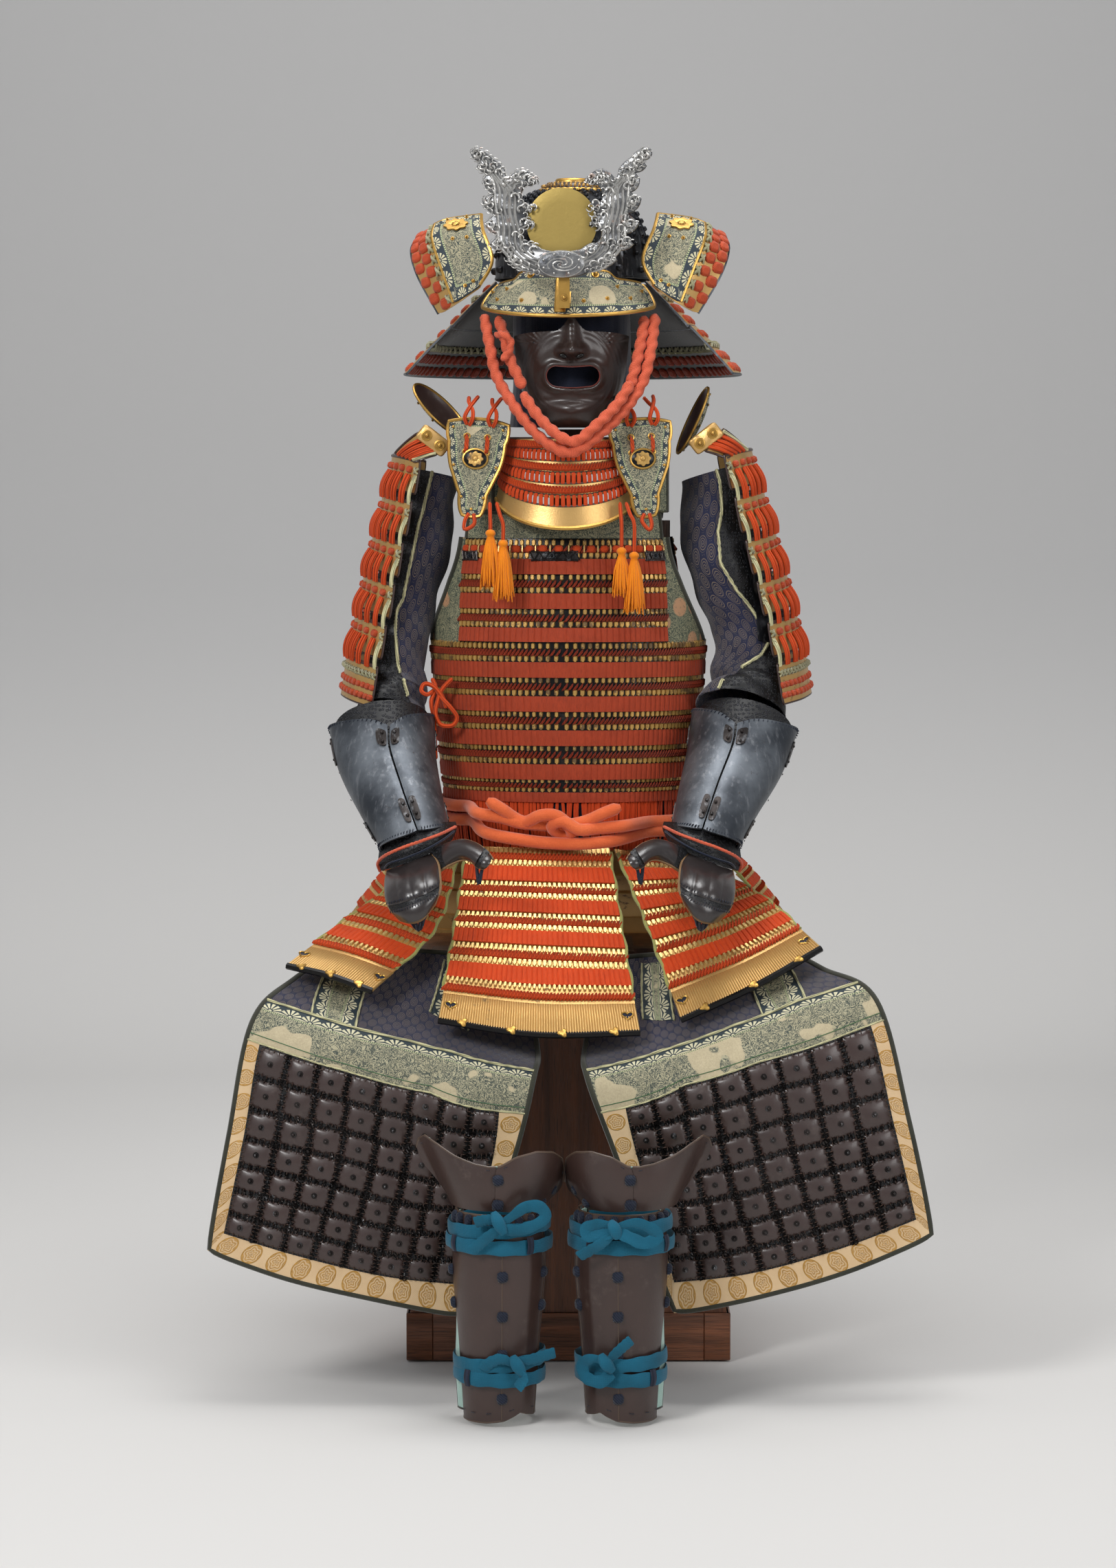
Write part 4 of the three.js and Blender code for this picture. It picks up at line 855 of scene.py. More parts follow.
class Bench:
    """One material while its nodes are laid out."""

    def __init__(self, name: str) -> None:
        """Starts an empty material.

        Args:
            name: Its name.
        """
        self.material = bpy.data.materials.new(name)
        self.material.use_nodes = True
        self.tree = self.material.node_tree
        self.tree.nodes.clear()

    def node(self, kind: str, settings: dict | None = None, sockets: dict | None = None, out: int | str = 0) -> Wire:
        """Adds a node.

        Args:
            kind: Its type.
            settings: Its settings; stops are a ramp's places and colours.
            sockets: Values or links of its inputs.
            out: The output to return.

        Returns:
            That output.
        """
        n = self.tree.nodes.new(kind)
        for key, value in (settings or {}).items():
            if key == "stops":
                ramp = n.color_ramp
                while len(ramp.elements) < len(value):
                    ramp.elements.new(0.5)
                for element, (at, colour) in zip(ramp.elements, value):
                    element.position, element.color = at, colour
            else:
                setattr(n, key, value)
        for key, value in (sockets or {}).items():
            slot = n.inputs[key]
            if isinstance(value, Wire):
                self.tree.links.new(value.socket, slot)
            else:
                slot.default_value = value
        return Wire(self, n.outputs[out])

    def place(self, scale: tuple[float, float, float] = (1, 1, 1), turn: tuple[float, float, float] = (0, 0, 0),
              shift: tuple[float, float, float] = (0, 0, 0)) -> Wire:
        """Object coordinates, scaled, turned and shifted."""
        at = self.node("ShaderNodeTexCoord", out="Object")
        if scale == (1, 1, 1) and turn == (0, 0, 0) and shift == (0, 0, 0):
            return at
        return self.node("ShaderNodeMapping",
                         sockets={0: at, "Scale": scale, "Rotation": tuple(map(math.radians, turn)),
                                  "Location": shift})

    def pattern(self) -> Wire:
        """The piece's own pattern coordinates."""
        return self.node("ShaderNodeUVMap", {"uv_map": "UVMap"})

    def split(self, vector: Wire) -> tuple[Wire, Wire, Wire]:
        """The three parts of a vector."""
        n = self.tree.nodes.new("ShaderNodeSeparateXYZ")
        self.tree.links.new(vector.socket, n.inputs[0])
        return Wire(self, n.outputs[0]), Wire(self, n.outputs[1]), Wire(self, n.outputs[2])

    def join(self, x: Value, y: Value, z: Value = 0.0) -> Wire:
        """A vector of three values."""
        return self.node("ShaderNodeCombineXYZ", sockets={0: x, 1: y, 2: z})

    def noise(self, at: Wire, scale: float, detail: float = 3.0, rough: float = 0.55, bend: float = 0.0) -> Wire:
        """Cloudy noise from about 0 to 1."""
        return self.node("ShaderNodeTexNoise",
                         sockets={"Vector": at, "Scale": scale, "Detail": detail, "Roughness": rough,
                                  "Distortion": bend})

    def cells(self, at: Wire, scale: float, feature: str = "F1", loose: float = 1.0, out: str = "Distance") -> Wire:
        """Cell pattern: distance to the nearest middle or edge, or a colour for each cell."""
        return self.node("ShaderNodeTexVoronoi", {"feature": feature},
                         {"Vector": at, "Scale": scale, "Randomness": loose}, out)

    def tone(self) -> Wire:
        """The number from 0 to 1 that each repeat carries."""
        return self.node("ShaderNodeAttribute", {"attribute_name": "tone"}, out="Fac")

    def mix(self, share: Value, a: Wire | Colour, b: Wire | Colour, blend: str = "MIX") -> Wire:
        """Two colours mixed."""
        return self.node("ShaderNodeMix", {"data_type": "RGBA", "blend_type": blend}, {0: share, 6: a, 7: b}, 2)

    def finish(self, colour: Wire | Colour, rough: Value = 0.5, metal: Value = 0.0, height: Wire | None = None,
               depth: float = 0.001, **extra: float | Colour) -> bpy.types.Material:
        """Adds the shader and ends the material.

        Args:
            colour: Base colour.
            rough: Roughness.
            metal: Metallic share.
            height: Relief from 0 to 1.
            depth: Depth of the relief in metres.
            extra: Plain values of other sockets, with underscores for spaces.

        Returns:
            The material.
        """
        sockets: dict = {"Base Color": colour, "Roughness": rough, "Metallic": metal}
        if height is not None:
            sockets["Normal"] = self.node("ShaderNodeBump",
                                          sockets={"Height": height, "Distance": depth, "Strength": 1.0})
        sockets |= {key.replace("_", " "): value for key, value in extra.items()}
        shader = self.node("ShaderNodeBsdfPrincipled", sockets=sockets)
        self.end(shader)
        return self.material

    def end(self, shader: Wire) -> None:
        """Links the shader to the material's output."""
        out = self.tree.nodes.new("ShaderNodeOutputMaterial")
        self.tree.links.new(shader.socket, out.inputs[0])


# ---------------------------------------------------------------- finishes
_MADE: dict[str, bpy.types.Material] = {}


@dataclass(frozen=True)
class Finish:
    """A surface finish.

    Attributes:
        name: Its name, one material for each.
        colour: Main colour as a six-figure code.
        dark: Colour of its shaded or worn parts.
    """

    name: str
    colour: str
    dark: str

    def material(self) -> bpy.types.Material:
        """The material, made on first use."""
        if self.name not in _MADE:
            _MADE[self.name] = self.lay(Bench(self.name))
        return _MADE[self.name]

    def lay(self, b: Bench) -> bpy.types.Material:
        """Lays out the nodes."""
        raise NotImplementedError


@dataclass(frozen=True)
class Gilding(Finish):
    """Gold leaf or gilt copper over dark lacquer, worn through in places."""

    rough: float = 0.36
    metal: float = 0.75
    wear: float = 0.62
    pits: float = 260.0
    ribs: float = 0.0

    def lay(self, b: Bench) -> bpy.types.Material:
        """Mottled gold, darker where worn, with fine pitting."""
        at = b.place()
        cloud = b.noise(at, 34, 4)
        fine = b.noise(at, self.pits, 3, 0.7)
        shade = (cloud * 0.55 + b.tone() * 0.35 + fine * 0.25 - 0.12).least(1.0)
        gold = b.mix(shade, tint(self.colour), b.mix(0.45, tint(self.colour), tint(self.dark)))
        worn = (b.noise(at, 90, 5, 0.65) * 0.7 + b.noise(at, 17, 2) * 0.5).step(self.wear, self.wear + 0.1)
        height = fine * 0.5 + cloud * 0.2 - worn * 0.5
        return b.finish(b.mix(worn * 0.85, gold, tint(self.dark)), fine * 0.2 + (self.rough - 0.1) + worn * 0.25,
                        (1 - worn) * self.metal, height, 0.0004, Specular_IOR_Level=0.5)


@dataclass(frozen=True)
class Silk(Finish):
    """Braided or floss silk, with its threads along or across the piece."""

    threads: float = 900.0
    slant: float = 0.0
    depth: float = 0.0004
    sheen: float = 0.35
    own: bool = False

    def lay(self, b: Bench) -> bpy.types.Material:
        """Fine threads with small changes of dye, and painted shade in the grooves between them."""
        u, v, _ = b.split(b.pattern())
        if self.own:
            thread = ((u + v * self.slant) * self.threads).sine() * 0.5 + 0.5
        else:
            thread = b.noise(b.join(u * self.threads, v * self.threads * 0.07), 1.0, 2)
        at = b.place()
        patch = b.noise(at, 38, 3) * 0.7 + b.noise(at, 420, 2) * 0.35
        fuzz = b.noise(at, 1500, 2)
        dye = b.mix((patch * 1.3 - 0.35 + b.tone() * 0.25).least(1).most(0), tint(self.colour),
                    b.mix(0.55, tint(self.colour), tint(self.dark)))
        # painted shade: where the thread relief is low, in the grooves between threads, the colour is pulled towards
        # the dark colour
        colour = b.mix((1 - thread).step(0.35, 0.95) * 0.6, dye, tint(self.dark))
        return b.finish(colour, fuzz * 0.2 + 0.62, 0.0, thread * 0.7 + fuzz * 0.3, self.depth,
                        Sheen_Weight=self.sheen, Sheen_Roughness=0.4, Specular_IOR_Level=0.25)


@dataclass(frozen=True)
class Lacquer(Finish):
    """Lacquer over leather or iron: fine grain, faint rubs and a soft shine."""

    rough: float = 0.34
    coat: float = 0.35
    grain: float = 240.0
    depth: float = 0.0003
    metal: float = 0.0
    shine: float = 0.5

    def lay(self, b: Bench) -> bpy.types.Material:
        """Deep colour with grain, rubbed patches and scratches."""
        at = b.place()
        grain = b.noise(at, self.grain, 4, 0.6)
        cloud = b.noise(at, 16, 4)
        scratch = b.noise(b.place((14, 160, 90), (20, 35, 10)), 6, 3, 0.7).step(0.66, 0.72)
        rubbed = (b.noise(at, 48, 5, 0.7) * 0.7 + cloud * 0.4).step(0.6, 0.8)
        colour = b.mix(cloud, tint(self.colour), tint(self.dark))
        colour = b.mix(rubbed * 0.3 + scratch * 0.12, colour, b.mix(0.5, tint(self.colour), (0.25, 0.2, 0.17, 1)))
        return b.finish(colour, cloud * 0.16 + (self.rough - 0.08) + rubbed * 0.12, self.metal,
                        grain * 0.6 + cloud * 0.4 - scratch * 0.1, self.depth, Coat_Weight=self.coat,
                        Coat_Roughness=0.22, Specular_IOR_Level=self.shine)


@dataclass(frozen=True)
class Iron(Finish):
    """Patinated iron, satin, with rubbed lights and specks of rust."""

    rough: float = 0.42

    def lay(self, b: Bench) -> bpy.types.Material:
        """Cloudy grey-blue with pale rubs and brown specks."""
        at = b.place()
        cloud = b.noise(at, 12, 5, 0.6)
        streak = b.noise(b.place((60, 60, 14), (0, 25, 0)), 2.2, 4, 0.6)
        speck = b.noise(at, 170, 4, 0.7).step(0.62, 0.7)
        colour = b.mix(cloud.step(0.35, 0.7), tint(self.dark), tint(self.colour))
        colour = b.mix(streak.step(0.52, 0.72) * 0.35, colour, (0.32, 0.33, 0.35, 1))
        colour = b.mix(speck * 0.6, colour, tint("2a1e18"))
        return b.finish(colour, cloud * 0.2 + self.rough - 0.08 + speck * 0.2, 0.72 - speck * 0.5,
                        b.noise(at, 420, 4, 0.7) * 0.5 + cloud * 0.5, 0.0003)


@dataclass(frozen=True)
class PrintedLeather(Finish):
    """Stencilled leather: a slate border with cream fans, a herringbone stitch and a leafy field.

    The pattern coordinates run along the border in x and in from its edge in y, in metres.
    """

    border: float = 0.0135
    fan: float = 0.024
    patches: float = 0.64
    flowers: bool = False
    rest: bool = True
    outward: bool = False
    spots: tuple[tuple[float, float, float, float], ...] = ()

    def lay(self, b: Bench) -> bpy.types.Material:
        """Fans on the border, stitch line, leaves and plain worn patches."""
        x, y, _ = b.split(b.pattern())
        at = b.place()
        navy, cream = tint(self.dark), tint(self.colour)
        leaf = b.noise(at, 95, 3, 0.55, 1.6)
        lines = (leaf * 44).sine().step(-0.15, 0.45)
        veins = (b.noise(at, 330, 2, 0.6, 2.0) - 0.5)
        leaves = (lines * 0.85 + (abs(veins) * -1 + 0.05).step(-0.02, 0.03) * 0.35).least(1.0)
        cloud = b.noise(at, 15, 3)
        colour = b.mix(leaves * (0.62 + cloud * 0.4).least(1.0), b.mix(0.6, navy, tint("39463f")),
                       b.mix(cloud, cream, tint("a79d7c")))
        if self.flowers:
            near, petals = b.cells(at, 24), b.cells(at, 260)
            colour = b.mix(near.step(0.34, 0.27) * (petals.step(0.15, 0.5) * 0.5 + 0.5), colour, tint("b58a68"))
        fine = b.noise(at, 520, 3)
        bare = b.noise(b.place(shift=(0.31, 0.07, 0.12)), 21, 2, 0.4).step(self.patches, self.patches + 0.02)
        for px, py, pz, r in self.spots:
            far = b.node("ShaderNodeVectorMath", {"operation": "DISTANCE"}, {0: at, 1: b.join(px, py, pz)}, "Value")
            bare = bare.most((far + (cloud - 0.5) * 0.02).step(r * 1.03, r * 0.97))
        colour = b.mix(bare, colour, b.mix(fine, tint("cdbf9d"), tint("a3967a")))
        if self.rest:
            colour = self.edging(b, x, y, colour, navy, cream)
        grime = b.noise(at, 60, 4, 0.6)
        colour = b.mix(grime * 0.26, colour, tint("34342c"))
        return b.finish(colour, grime * 0.25 + 0.5, 0.0, fine * 0.4 + leaves * 0.3, 0.0003, Specular_IOR_Level=0.3)

    def edging(self, b: Bench, x: Wire, y: Wire, inside: Wire, navy: Colour, cream: Colour) -> Wire:
        """Adds the slate border with its fans and stitches.

        Args:
            b: The material being made.
            x: Place along the border.
            y: Distance in from its edge.
            inside: Colour of the field.
            navy: Colour of the border.
            cream: Colour of the fans.

        Returns:
            The colour with its border.
        """
        wide = self.border
        along = x.cycle(self.fan) * self.fan
        rise = y.back("SUBTRACT", wide * 0.98) if self.outward else y - wide * 0.14
        far = (along * along + rise * rise) ** 0.5
        angle = b.node("ShaderNodeMath", {"operation": "ARCTAN2"}, {0: along, 1: rise})
        reach = wide * 0.78
        rays = ((angle * 12).math("COSINE") + 0.45).step(0.0, 0.35) * rise.step(-wide * 0.02, wide * 0.02)
        fan = rays * far.step(reach * 0.24, reach * 0.34) * far.step(reach, reach * 0.93)
        root = far.step(reach * 0.17, reach * 0.11)
        ground = b.mix(b.noise(b.place(), 70, 3) * 0.5, navy, tint("3d4a50"))
        colour = b.mix(y.step(wide * 1.02, wide * 0.98), inside, b.mix((fan + root).least(1.0), ground, cream))
        stitch = abs(y - wide * 1.1).step(0.0013, 0.0008)
        ticks = ((x + abs(y - wide * 1.1) * 1.2) * 2300).sine().step(-0.2, 0.3)
        return b.mix(stitch, colour, b.mix(ticks, navy, tint("c8cf9c")))


@dataclass(frozen=True)
class Brocade(Finish):
    """Navy silk brocade with a net of hexagons and a chain of tan curls; pattern coordinates in metres."""

    pitch: float = 0.021

    def lay(self, b: Bench) -> bpy.types.Material:
        """Hexagon net, curls and a twill ground."""
        x, y, _ = b.split(b.pattern())
        wide, tall = self.pitch, self.pitch * 1.25
        cells = []
        for shift in (0.0, 0.5):
            i, j = (x / wide + shift).math("FRACT") - 0.5, (y / tall + shift).math("FRACT") - 0.5
            cells.append((i, j, i * i * 1.15 + j * j))
        (i0, j0, d0), (i1, j1, d1) = cells
        pick = (d0 - d1).step(-0.0001, 0.0001)
        i, j = i0 + (i1 - i0) * pick, j0 + (j1 - j0) * pick
        reach = (abs(i) * 1.02).most(abs(i) * 0.55 + abs(j) * 0.86)
        net_line = abs(reach - 0.475).step(0.036, 0.018)
        far = (i * i * 1.5 + j * j * 0.75) ** 0.5
        angle = b.node("ShaderNodeMath", {"operation": "ARCTAN2"}, {0: j, 1: i})
        coil = (far * 62 + angle).sine().step(0.1, 0.6) * far.step(0.36, 0.33)
        at = b.place()
        thread = (x * 5200 + y * 5200).sine() * 0.5 + 0.5
        broken = b.noise(b.join(x * 1400, y * 2600), 1.0, 2).step(0.34, 0.5)
        worn = b.noise(at, 26, 4)
        gold = (net_line * 0.8).most(coil) * broken * (worn * 0.5 + 0.6).least(1.0)
        ground = b.mix(worn, tint(self.dark), tint(self.colour))
        ground = b.mix(thread * 0.35, ground, tint("0c0d18"))
        colour = b.mix(gold * 0.75, ground, b.mix(worn, tint("a08a6e"), tint("6e5c50")))
        return b.finish(colour, 0.72, 0.0, thread * 0.25 + gold * 0.75 + b.noise(at, 60, 3) * 0.6, 0.0006,
                        Sheen_Weight=0.25, Sheen_Roughness=0.5, Specular_IOR_Level=0.25)


@dataclass(frozen=True)
class Mail(Finish):
    """Close mail of small blackened rings on dark cloth."""

    pitch: float = 210.0

    def lay(self, b: Bench) -> bpy.types.Material:
        """Little rings, one for each cell, over near-black cloth."""
        at = b.place()
        near = b.cells(at, self.pitch, loose=0.55)
        ring = abs(near - 0.32).step(0.16, 0.04)
        shade = b.cells(at, self.pitch, loose=0.55, out="Color")
        colour = b.mix(ring, tint("060608"), b.mix(b.noise(at, 130, 3), tint(self.colour), tint(self.dark)))
        colour = b.mix(b.split(shade)[0] * 0.35, colour, tint("050506"))
        return b.finish(colour, 0.5, ring * 0.55, ring, 0.0014)


@dataclass(frozen=True)
class Cloth(Finish):
    """Plain woven or crinkled cloth."""

    weave: float = 1700.0
    crinkle: float = 0.0
    sheen: float = 0.3
    depth: float = 0.0003

    def lay(self, b: Bench) -> bpy.types.Material:
        """Crossed threads, faded patches and, for crepe, fine crinkles."""
        at = b.place()
        x, y, z = b.split(at)
        weave = ((x + y * 0.4) * self.weave).sine() * 0.5 + ((z + y * 0.4) * self.weave).sine() * 0.5
        cloud = b.noise(at, 22, 4)
        crumple = b.noise(at, 330, 3, 0.6, 1.2)
        fade = (cloud * 0.75 + crumple * self.crinkle * 0.5).least(1.0)
        colour = b.mix(fade.step(0.25, 0.75), tint(self.colour), tint(self.dark))
        height = weave * (0.35 - 0.25 * self.crinkle) + crumple * (0.3 + self.crinkle)
        return b.finish(colour, cloud * 0.1 + 0.78, 0.0, height, self.depth, Sheen_Weight=self.sheen,
                        Sheen_Roughness=0.5, Specular_IOR_Level=0.2)


@dataclass(frozen=True)
class RoundelSilk(Finish):
    """Cream silk border with woven gold roundels; pattern coordinates along and across the border, in metres."""

    pitch: float = 0.0335
    radius: float = 0.0118

    def lay(self, b: Bench) -> bpy.types.Material:
        """Roundels of mixed gold thread on aged silk."""
        x, y, _ = b.split(b.pattern())
        at = b.place()
        i = x.cycle(self.pitch) * self.pitch
        far = (i * i + y * y) ** 0.5
        warp = b.noise(at, 200, 2)
        medal = far.step(self.radius * 1.03, self.radius * 0.97)
        rim = abs(far - self.radius * 0.93).step(0.0011, 0.0006)
        angle = b.node("ShaderNodeMath", {"operation": "ARCTAN2"}, {0: y, 1: i})
        weave = ((angle * 5.0).math("COSINE") * 2.2 + far * 1900 + warp * 2).sine().step(-0.1, 0.5)
        gold = medal * (rim.most(weave * 0.75 + 0.12))
        age = b.noise(at, 19, 4)
        silk = b.mix(age, tint(self.colour), tint(self.dark))
        thread = (x * 4200).sine() * (y * 4200).sine()
        colour = b.mix(gold * 0.95, silk, b.mix(b.noise(at, 240, 2), tint("cf9c42"), tint("7d5826")))
        return b.finish(colour, 0.62 - gold * 0.2, gold * 0.4,
                        gold * 0.6 + thread * 0.12 + age * 0.8 + b.noise(at, 55, 3), 0.0008,
                        Sheen_Weight=0.25, Specular_IOR_Level=0.3)


@dataclass(frozen=True)
class Oak(Finish):
    """Open-grained brown wood, satin, with its grain along one axis."""

    along: str = "z"

    def lay(self, b: Bench) -> bpy.types.Material:
        """Long grain, darker pores and a soft finish."""
        scale = {"x": (1.2, 26, 26), "z": (26, 26, 1.2)}[self.along]
        at = b.place(scale)
        grain = b.noise(at, 1.6, 5, 0.6, 0.6)
        pore = b.noise(b.place(tuple(s * (14 if s > 2 else 7) for s in scale)), 2.4, 3, 0.6)
        ring = (b.noise(b.place(tuple(s * 0.4 for s in scale)), 1.1, 2) * 40).sine() * 0.5 + 0.5
        colour = b.mix(grain.step(0.3, 0.7) * 0.75 + ring * 0.2, tint(self.colour), tint(self.dark))
        colour = b.mix(pore.step(0.56, 0.66) * 0.7, colour, tint("1c100a"))
        return b.finish(colour, grain * 0.2 + 0.36, 0.0, pore.step(0.62, 0.5) * 0.8 + grain * 0.3, 0.0004,
                        Coat_Weight=0.12, Coat_Roughness=0.35)


@dataclass(frozen=True)
class Chased(Finish):
    """Silvered copper, chased, with tarnish in its hollows."""

    def lay(self, b: Bench) -> bpy.types.Material:
        """Bright metal, blue-grey tarnish and a little bare copper."""
        at = b.place()
        cloud = b.noise(at, 45, 4, 0.6)
        tool = b.noise(at, 300, 3, 0.6, 1.0)
        copper = b.noise(b.place(shift=(0.2, 0.1, 0.4)), 60, 3).step(0.62, 0.7)
        colour = b.mix(cloud.step(0.35, 0.72), tint(self.colour), tint(self.dark))
        colour = b.mix(copper * 0.4, colour, tint("a77f6a"))
        hollow = b.node("ShaderNodeNewGeometry", out="Pointiness").step(0.5, 0.44)
        colour = b.mix(hollow * 0.5, colour, tint("3c3f45"))
        return b.finish(colour, cloud * 0.2 + 0.24, 0.9, tool * 0.6 + cloud * 0.4, 0.0005)


@dataclass(frozen=True)
class Backdrop(Finish):
    """Plain pale studio surface, which shows from its front only."""

    def lay(self, b: Bench) -> bpy.types.Material:
        """Pale floor that turns darker up the wall as painted shade, with the faintest mottling and a clear back."""
        cloud = b.noise(b.place(), 1.4, 2)
        # painted shade: darker with height, from the floor colour to the wall colour
        high = b.split(b.place())[2].step(-0.1, 1.1)
        colour = b.mix((high + cloud * 0.06).least(1), tint(self.colour), tint(self.dark))
        shader = b.node("ShaderNodeBsdfPrincipled",
                        sockets={"Base Color": colour, "Roughness": 0.85, "Specular IOR Level": 0.1})
        clear = b.node("ShaderNodeBsdfTransparent")
        back = b.node("ShaderNodeNewGeometry", out="Backfacing")
        b.end(b.node("ShaderNodeMixShader", sockets={0: back, 1: shader, 2: clear}))
        return b.material


GILT = Gilding("gilt_copper_rims", "c49a50", "4a2f14", rough=0.36, metal=0.9, wear=0.78)
GILT_HEAD = Gilding("gilt_scale_heads", "e6c27c", "50341a", rough=0.32, metal=0.65, wear=0.7)
GILT_PLATE = Gilding("gold_lacquer_plates", "cfa666", "56391d", rough=0.36, metal=0.6, wear=0.7, pits=420)
GILT_DULL = Gilding("worn_gilt_heads", "c99f58", "3e2916", rough=0.38, metal=0.55, wear=0.6)
BRASS = Gilding("matt_brass_disc", "a08a4c", "7d6b3a", rough=0.5, metal=0.7, wear=0.95, pits=160)
RUST_SILK = Silk("rust_red_lacing", "a03a1c", "481408", threads=1600, sheen=0.12)
RUST_BRAID = Silk("rust_red_braid", "9c381c", "45140a", threads=30, slant=0.9, sheen=0.12, own=True)
ORANGE_SILK = Silk("orange_lacing", "cc4512", "7c2006", threads=1300, sheen=0.10)
ORANGE_BRAID = Silk("orange_braid", "cc4814", "701e06", threads=30, slant=0.9, sheen=0.10, own=True)
CORAL_BLOB = Silk("coral_knots", "c4512c", "742410", threads=42, slant=1.0, sheen=0.15, own=True)
CORAL_CORD = Silk("coral_twisted_cord", "e0694a", "a03c22", threads=26, slant=160, depth=0.0006, sheen=0.15, own=True)
CREAM_SILK = Silk("cream_green_cord", "cdc69a", "4c5238", threads=18, slant=8, own=True)
GREEN_SILK = Silk("pale_green_lacing", "a5a35c", "4e5226", threads=900)
NAVY_SILK = Silk("navy_knots", "232a3c", "080a12", threads=26, slant=1.0, own=True, sheen=0.2)
AMBER_SILK = Silk("amber_floss", "ee8a08", "a24a02", threads=2600, sheen=0.2)
BROWN_LACQUER = Lacquer("brown_lacquer_leather", "402d27", "2c1e1a", rough=0.42, coat=0.15)
PLATE_LACQUER = Lacquer("dark_sewn_plates", "3e2c28", "281b18", rough=0.42, coat=0.3)
BLACK_LACQUER = Lacquer("black_lacquer", "0e0c0b", "060505", rough=0.28, coat=0.0, shine=0.28)
MASK_LACQUER = Lacquer("russet_mask", "33211a", "1c110e", rough=0.42, coat=0.35)
HAND_LACQUER = Lacquer("brown_black_hand_plates", "2e2523", "171313", rough=0.33, coat=0.5)
TAN_LEATHER = Lacquer("tan_leather_edge", "8c6c48", "5c452c", rough=0.6, coat=0.0)
BLACK_IRON = Iron("black_ribbed_iron", "24252a", "101114", rough=0.38)
GREY_IRON = Iron("blue_grey_iron", "6b7076", "3c4046", rough=0.4)
DARK_IRON = Iron("dark_iron_studs", "3a3432", "1c1817", rough=0.35)
HELMET_LEATHER = PrintedLeather("helmet_printed_leather", "cfc7a4", "232d38",
                                spots=((-0.062, -0.25, 1.455, 0.021), (0.048, -0.25, 1.455, 0.018)))
LEAF_LEATHER = PrintedLeather("leaf_printed_leather", "c9c2a0", "222c36", border=0.0092, fan=0.0165, patches=0.70)
CHEST_LEATHER = PrintedLeather("chest_printed_leather", "98997a", "1f2f2c", flowers=True, patches=0.9, rest=False)
BAND_LEATHER = PrintedLeather("thigh_band_leather", "cfc9a8", "1d2a33", border=0.0205, fan=0.029, patches=0.57,
                              outward=True)
BROCADE = Brocade("navy_brocade", "20264a", "10142a")
MAIL = Mail("black_mail", "3c3d42", "26262b")
DARK_CLOTH = Cloth("dark_folded_cloth", "1c2030", "0b0d15", weave=2600)
CREPE = Cloth("coral_crepe", "e2713f", "cc5c30", weave=2400, crinkle=1.0, depth=0.0005)
TEAL = Cloth("teal_cotton", "155a72", "0e4152", weave=2600, sheen=0.12)
AQUA = Cloth("aqua_lining", "9fbcb2", "7fa096", weave=2600)
OLIVE = Cloth("dark_olive_binding", "34342a", "1f201a", weave=2600)
ROUNDELS = RoundelSilk("cream_roundel_silk", "dcc199", "bf9d74")
LEG_EDGE = Lacquer("leg_plate_edges", "5d4a3c", "33261f", rough=0.45, coat=0.1)
STITCH_BROWN = Silk("brown_stitches", "5a3a26", "24140c", threads=60, own=True, sheen=0.1)
GREEN_LINE = Silk("green_stitch_line", "3f7d3c", "1c3a1c", threads=60, own=True)
STAND_OAK = Oak("stand_oak", "5a3a26", "2c1a10")
BOX_OAK = Oak("box_panel_oak", "7a4728", "452512")
RAIL_OAK = Oak("box_rail_oak", "8a5130", "4a2a16", along="x")
SILVER = Chased("silvered_foam", "bcbab6", "8a8986")
SILVER_DARK = Chased("tarnished_silver", "8b8b8b", "494b4f")
# the backdrop's second colour is the painted shade of the upper wall
BACKDROP = Backdrop("studio_grey", "d3d1ce", "b2b1b0")


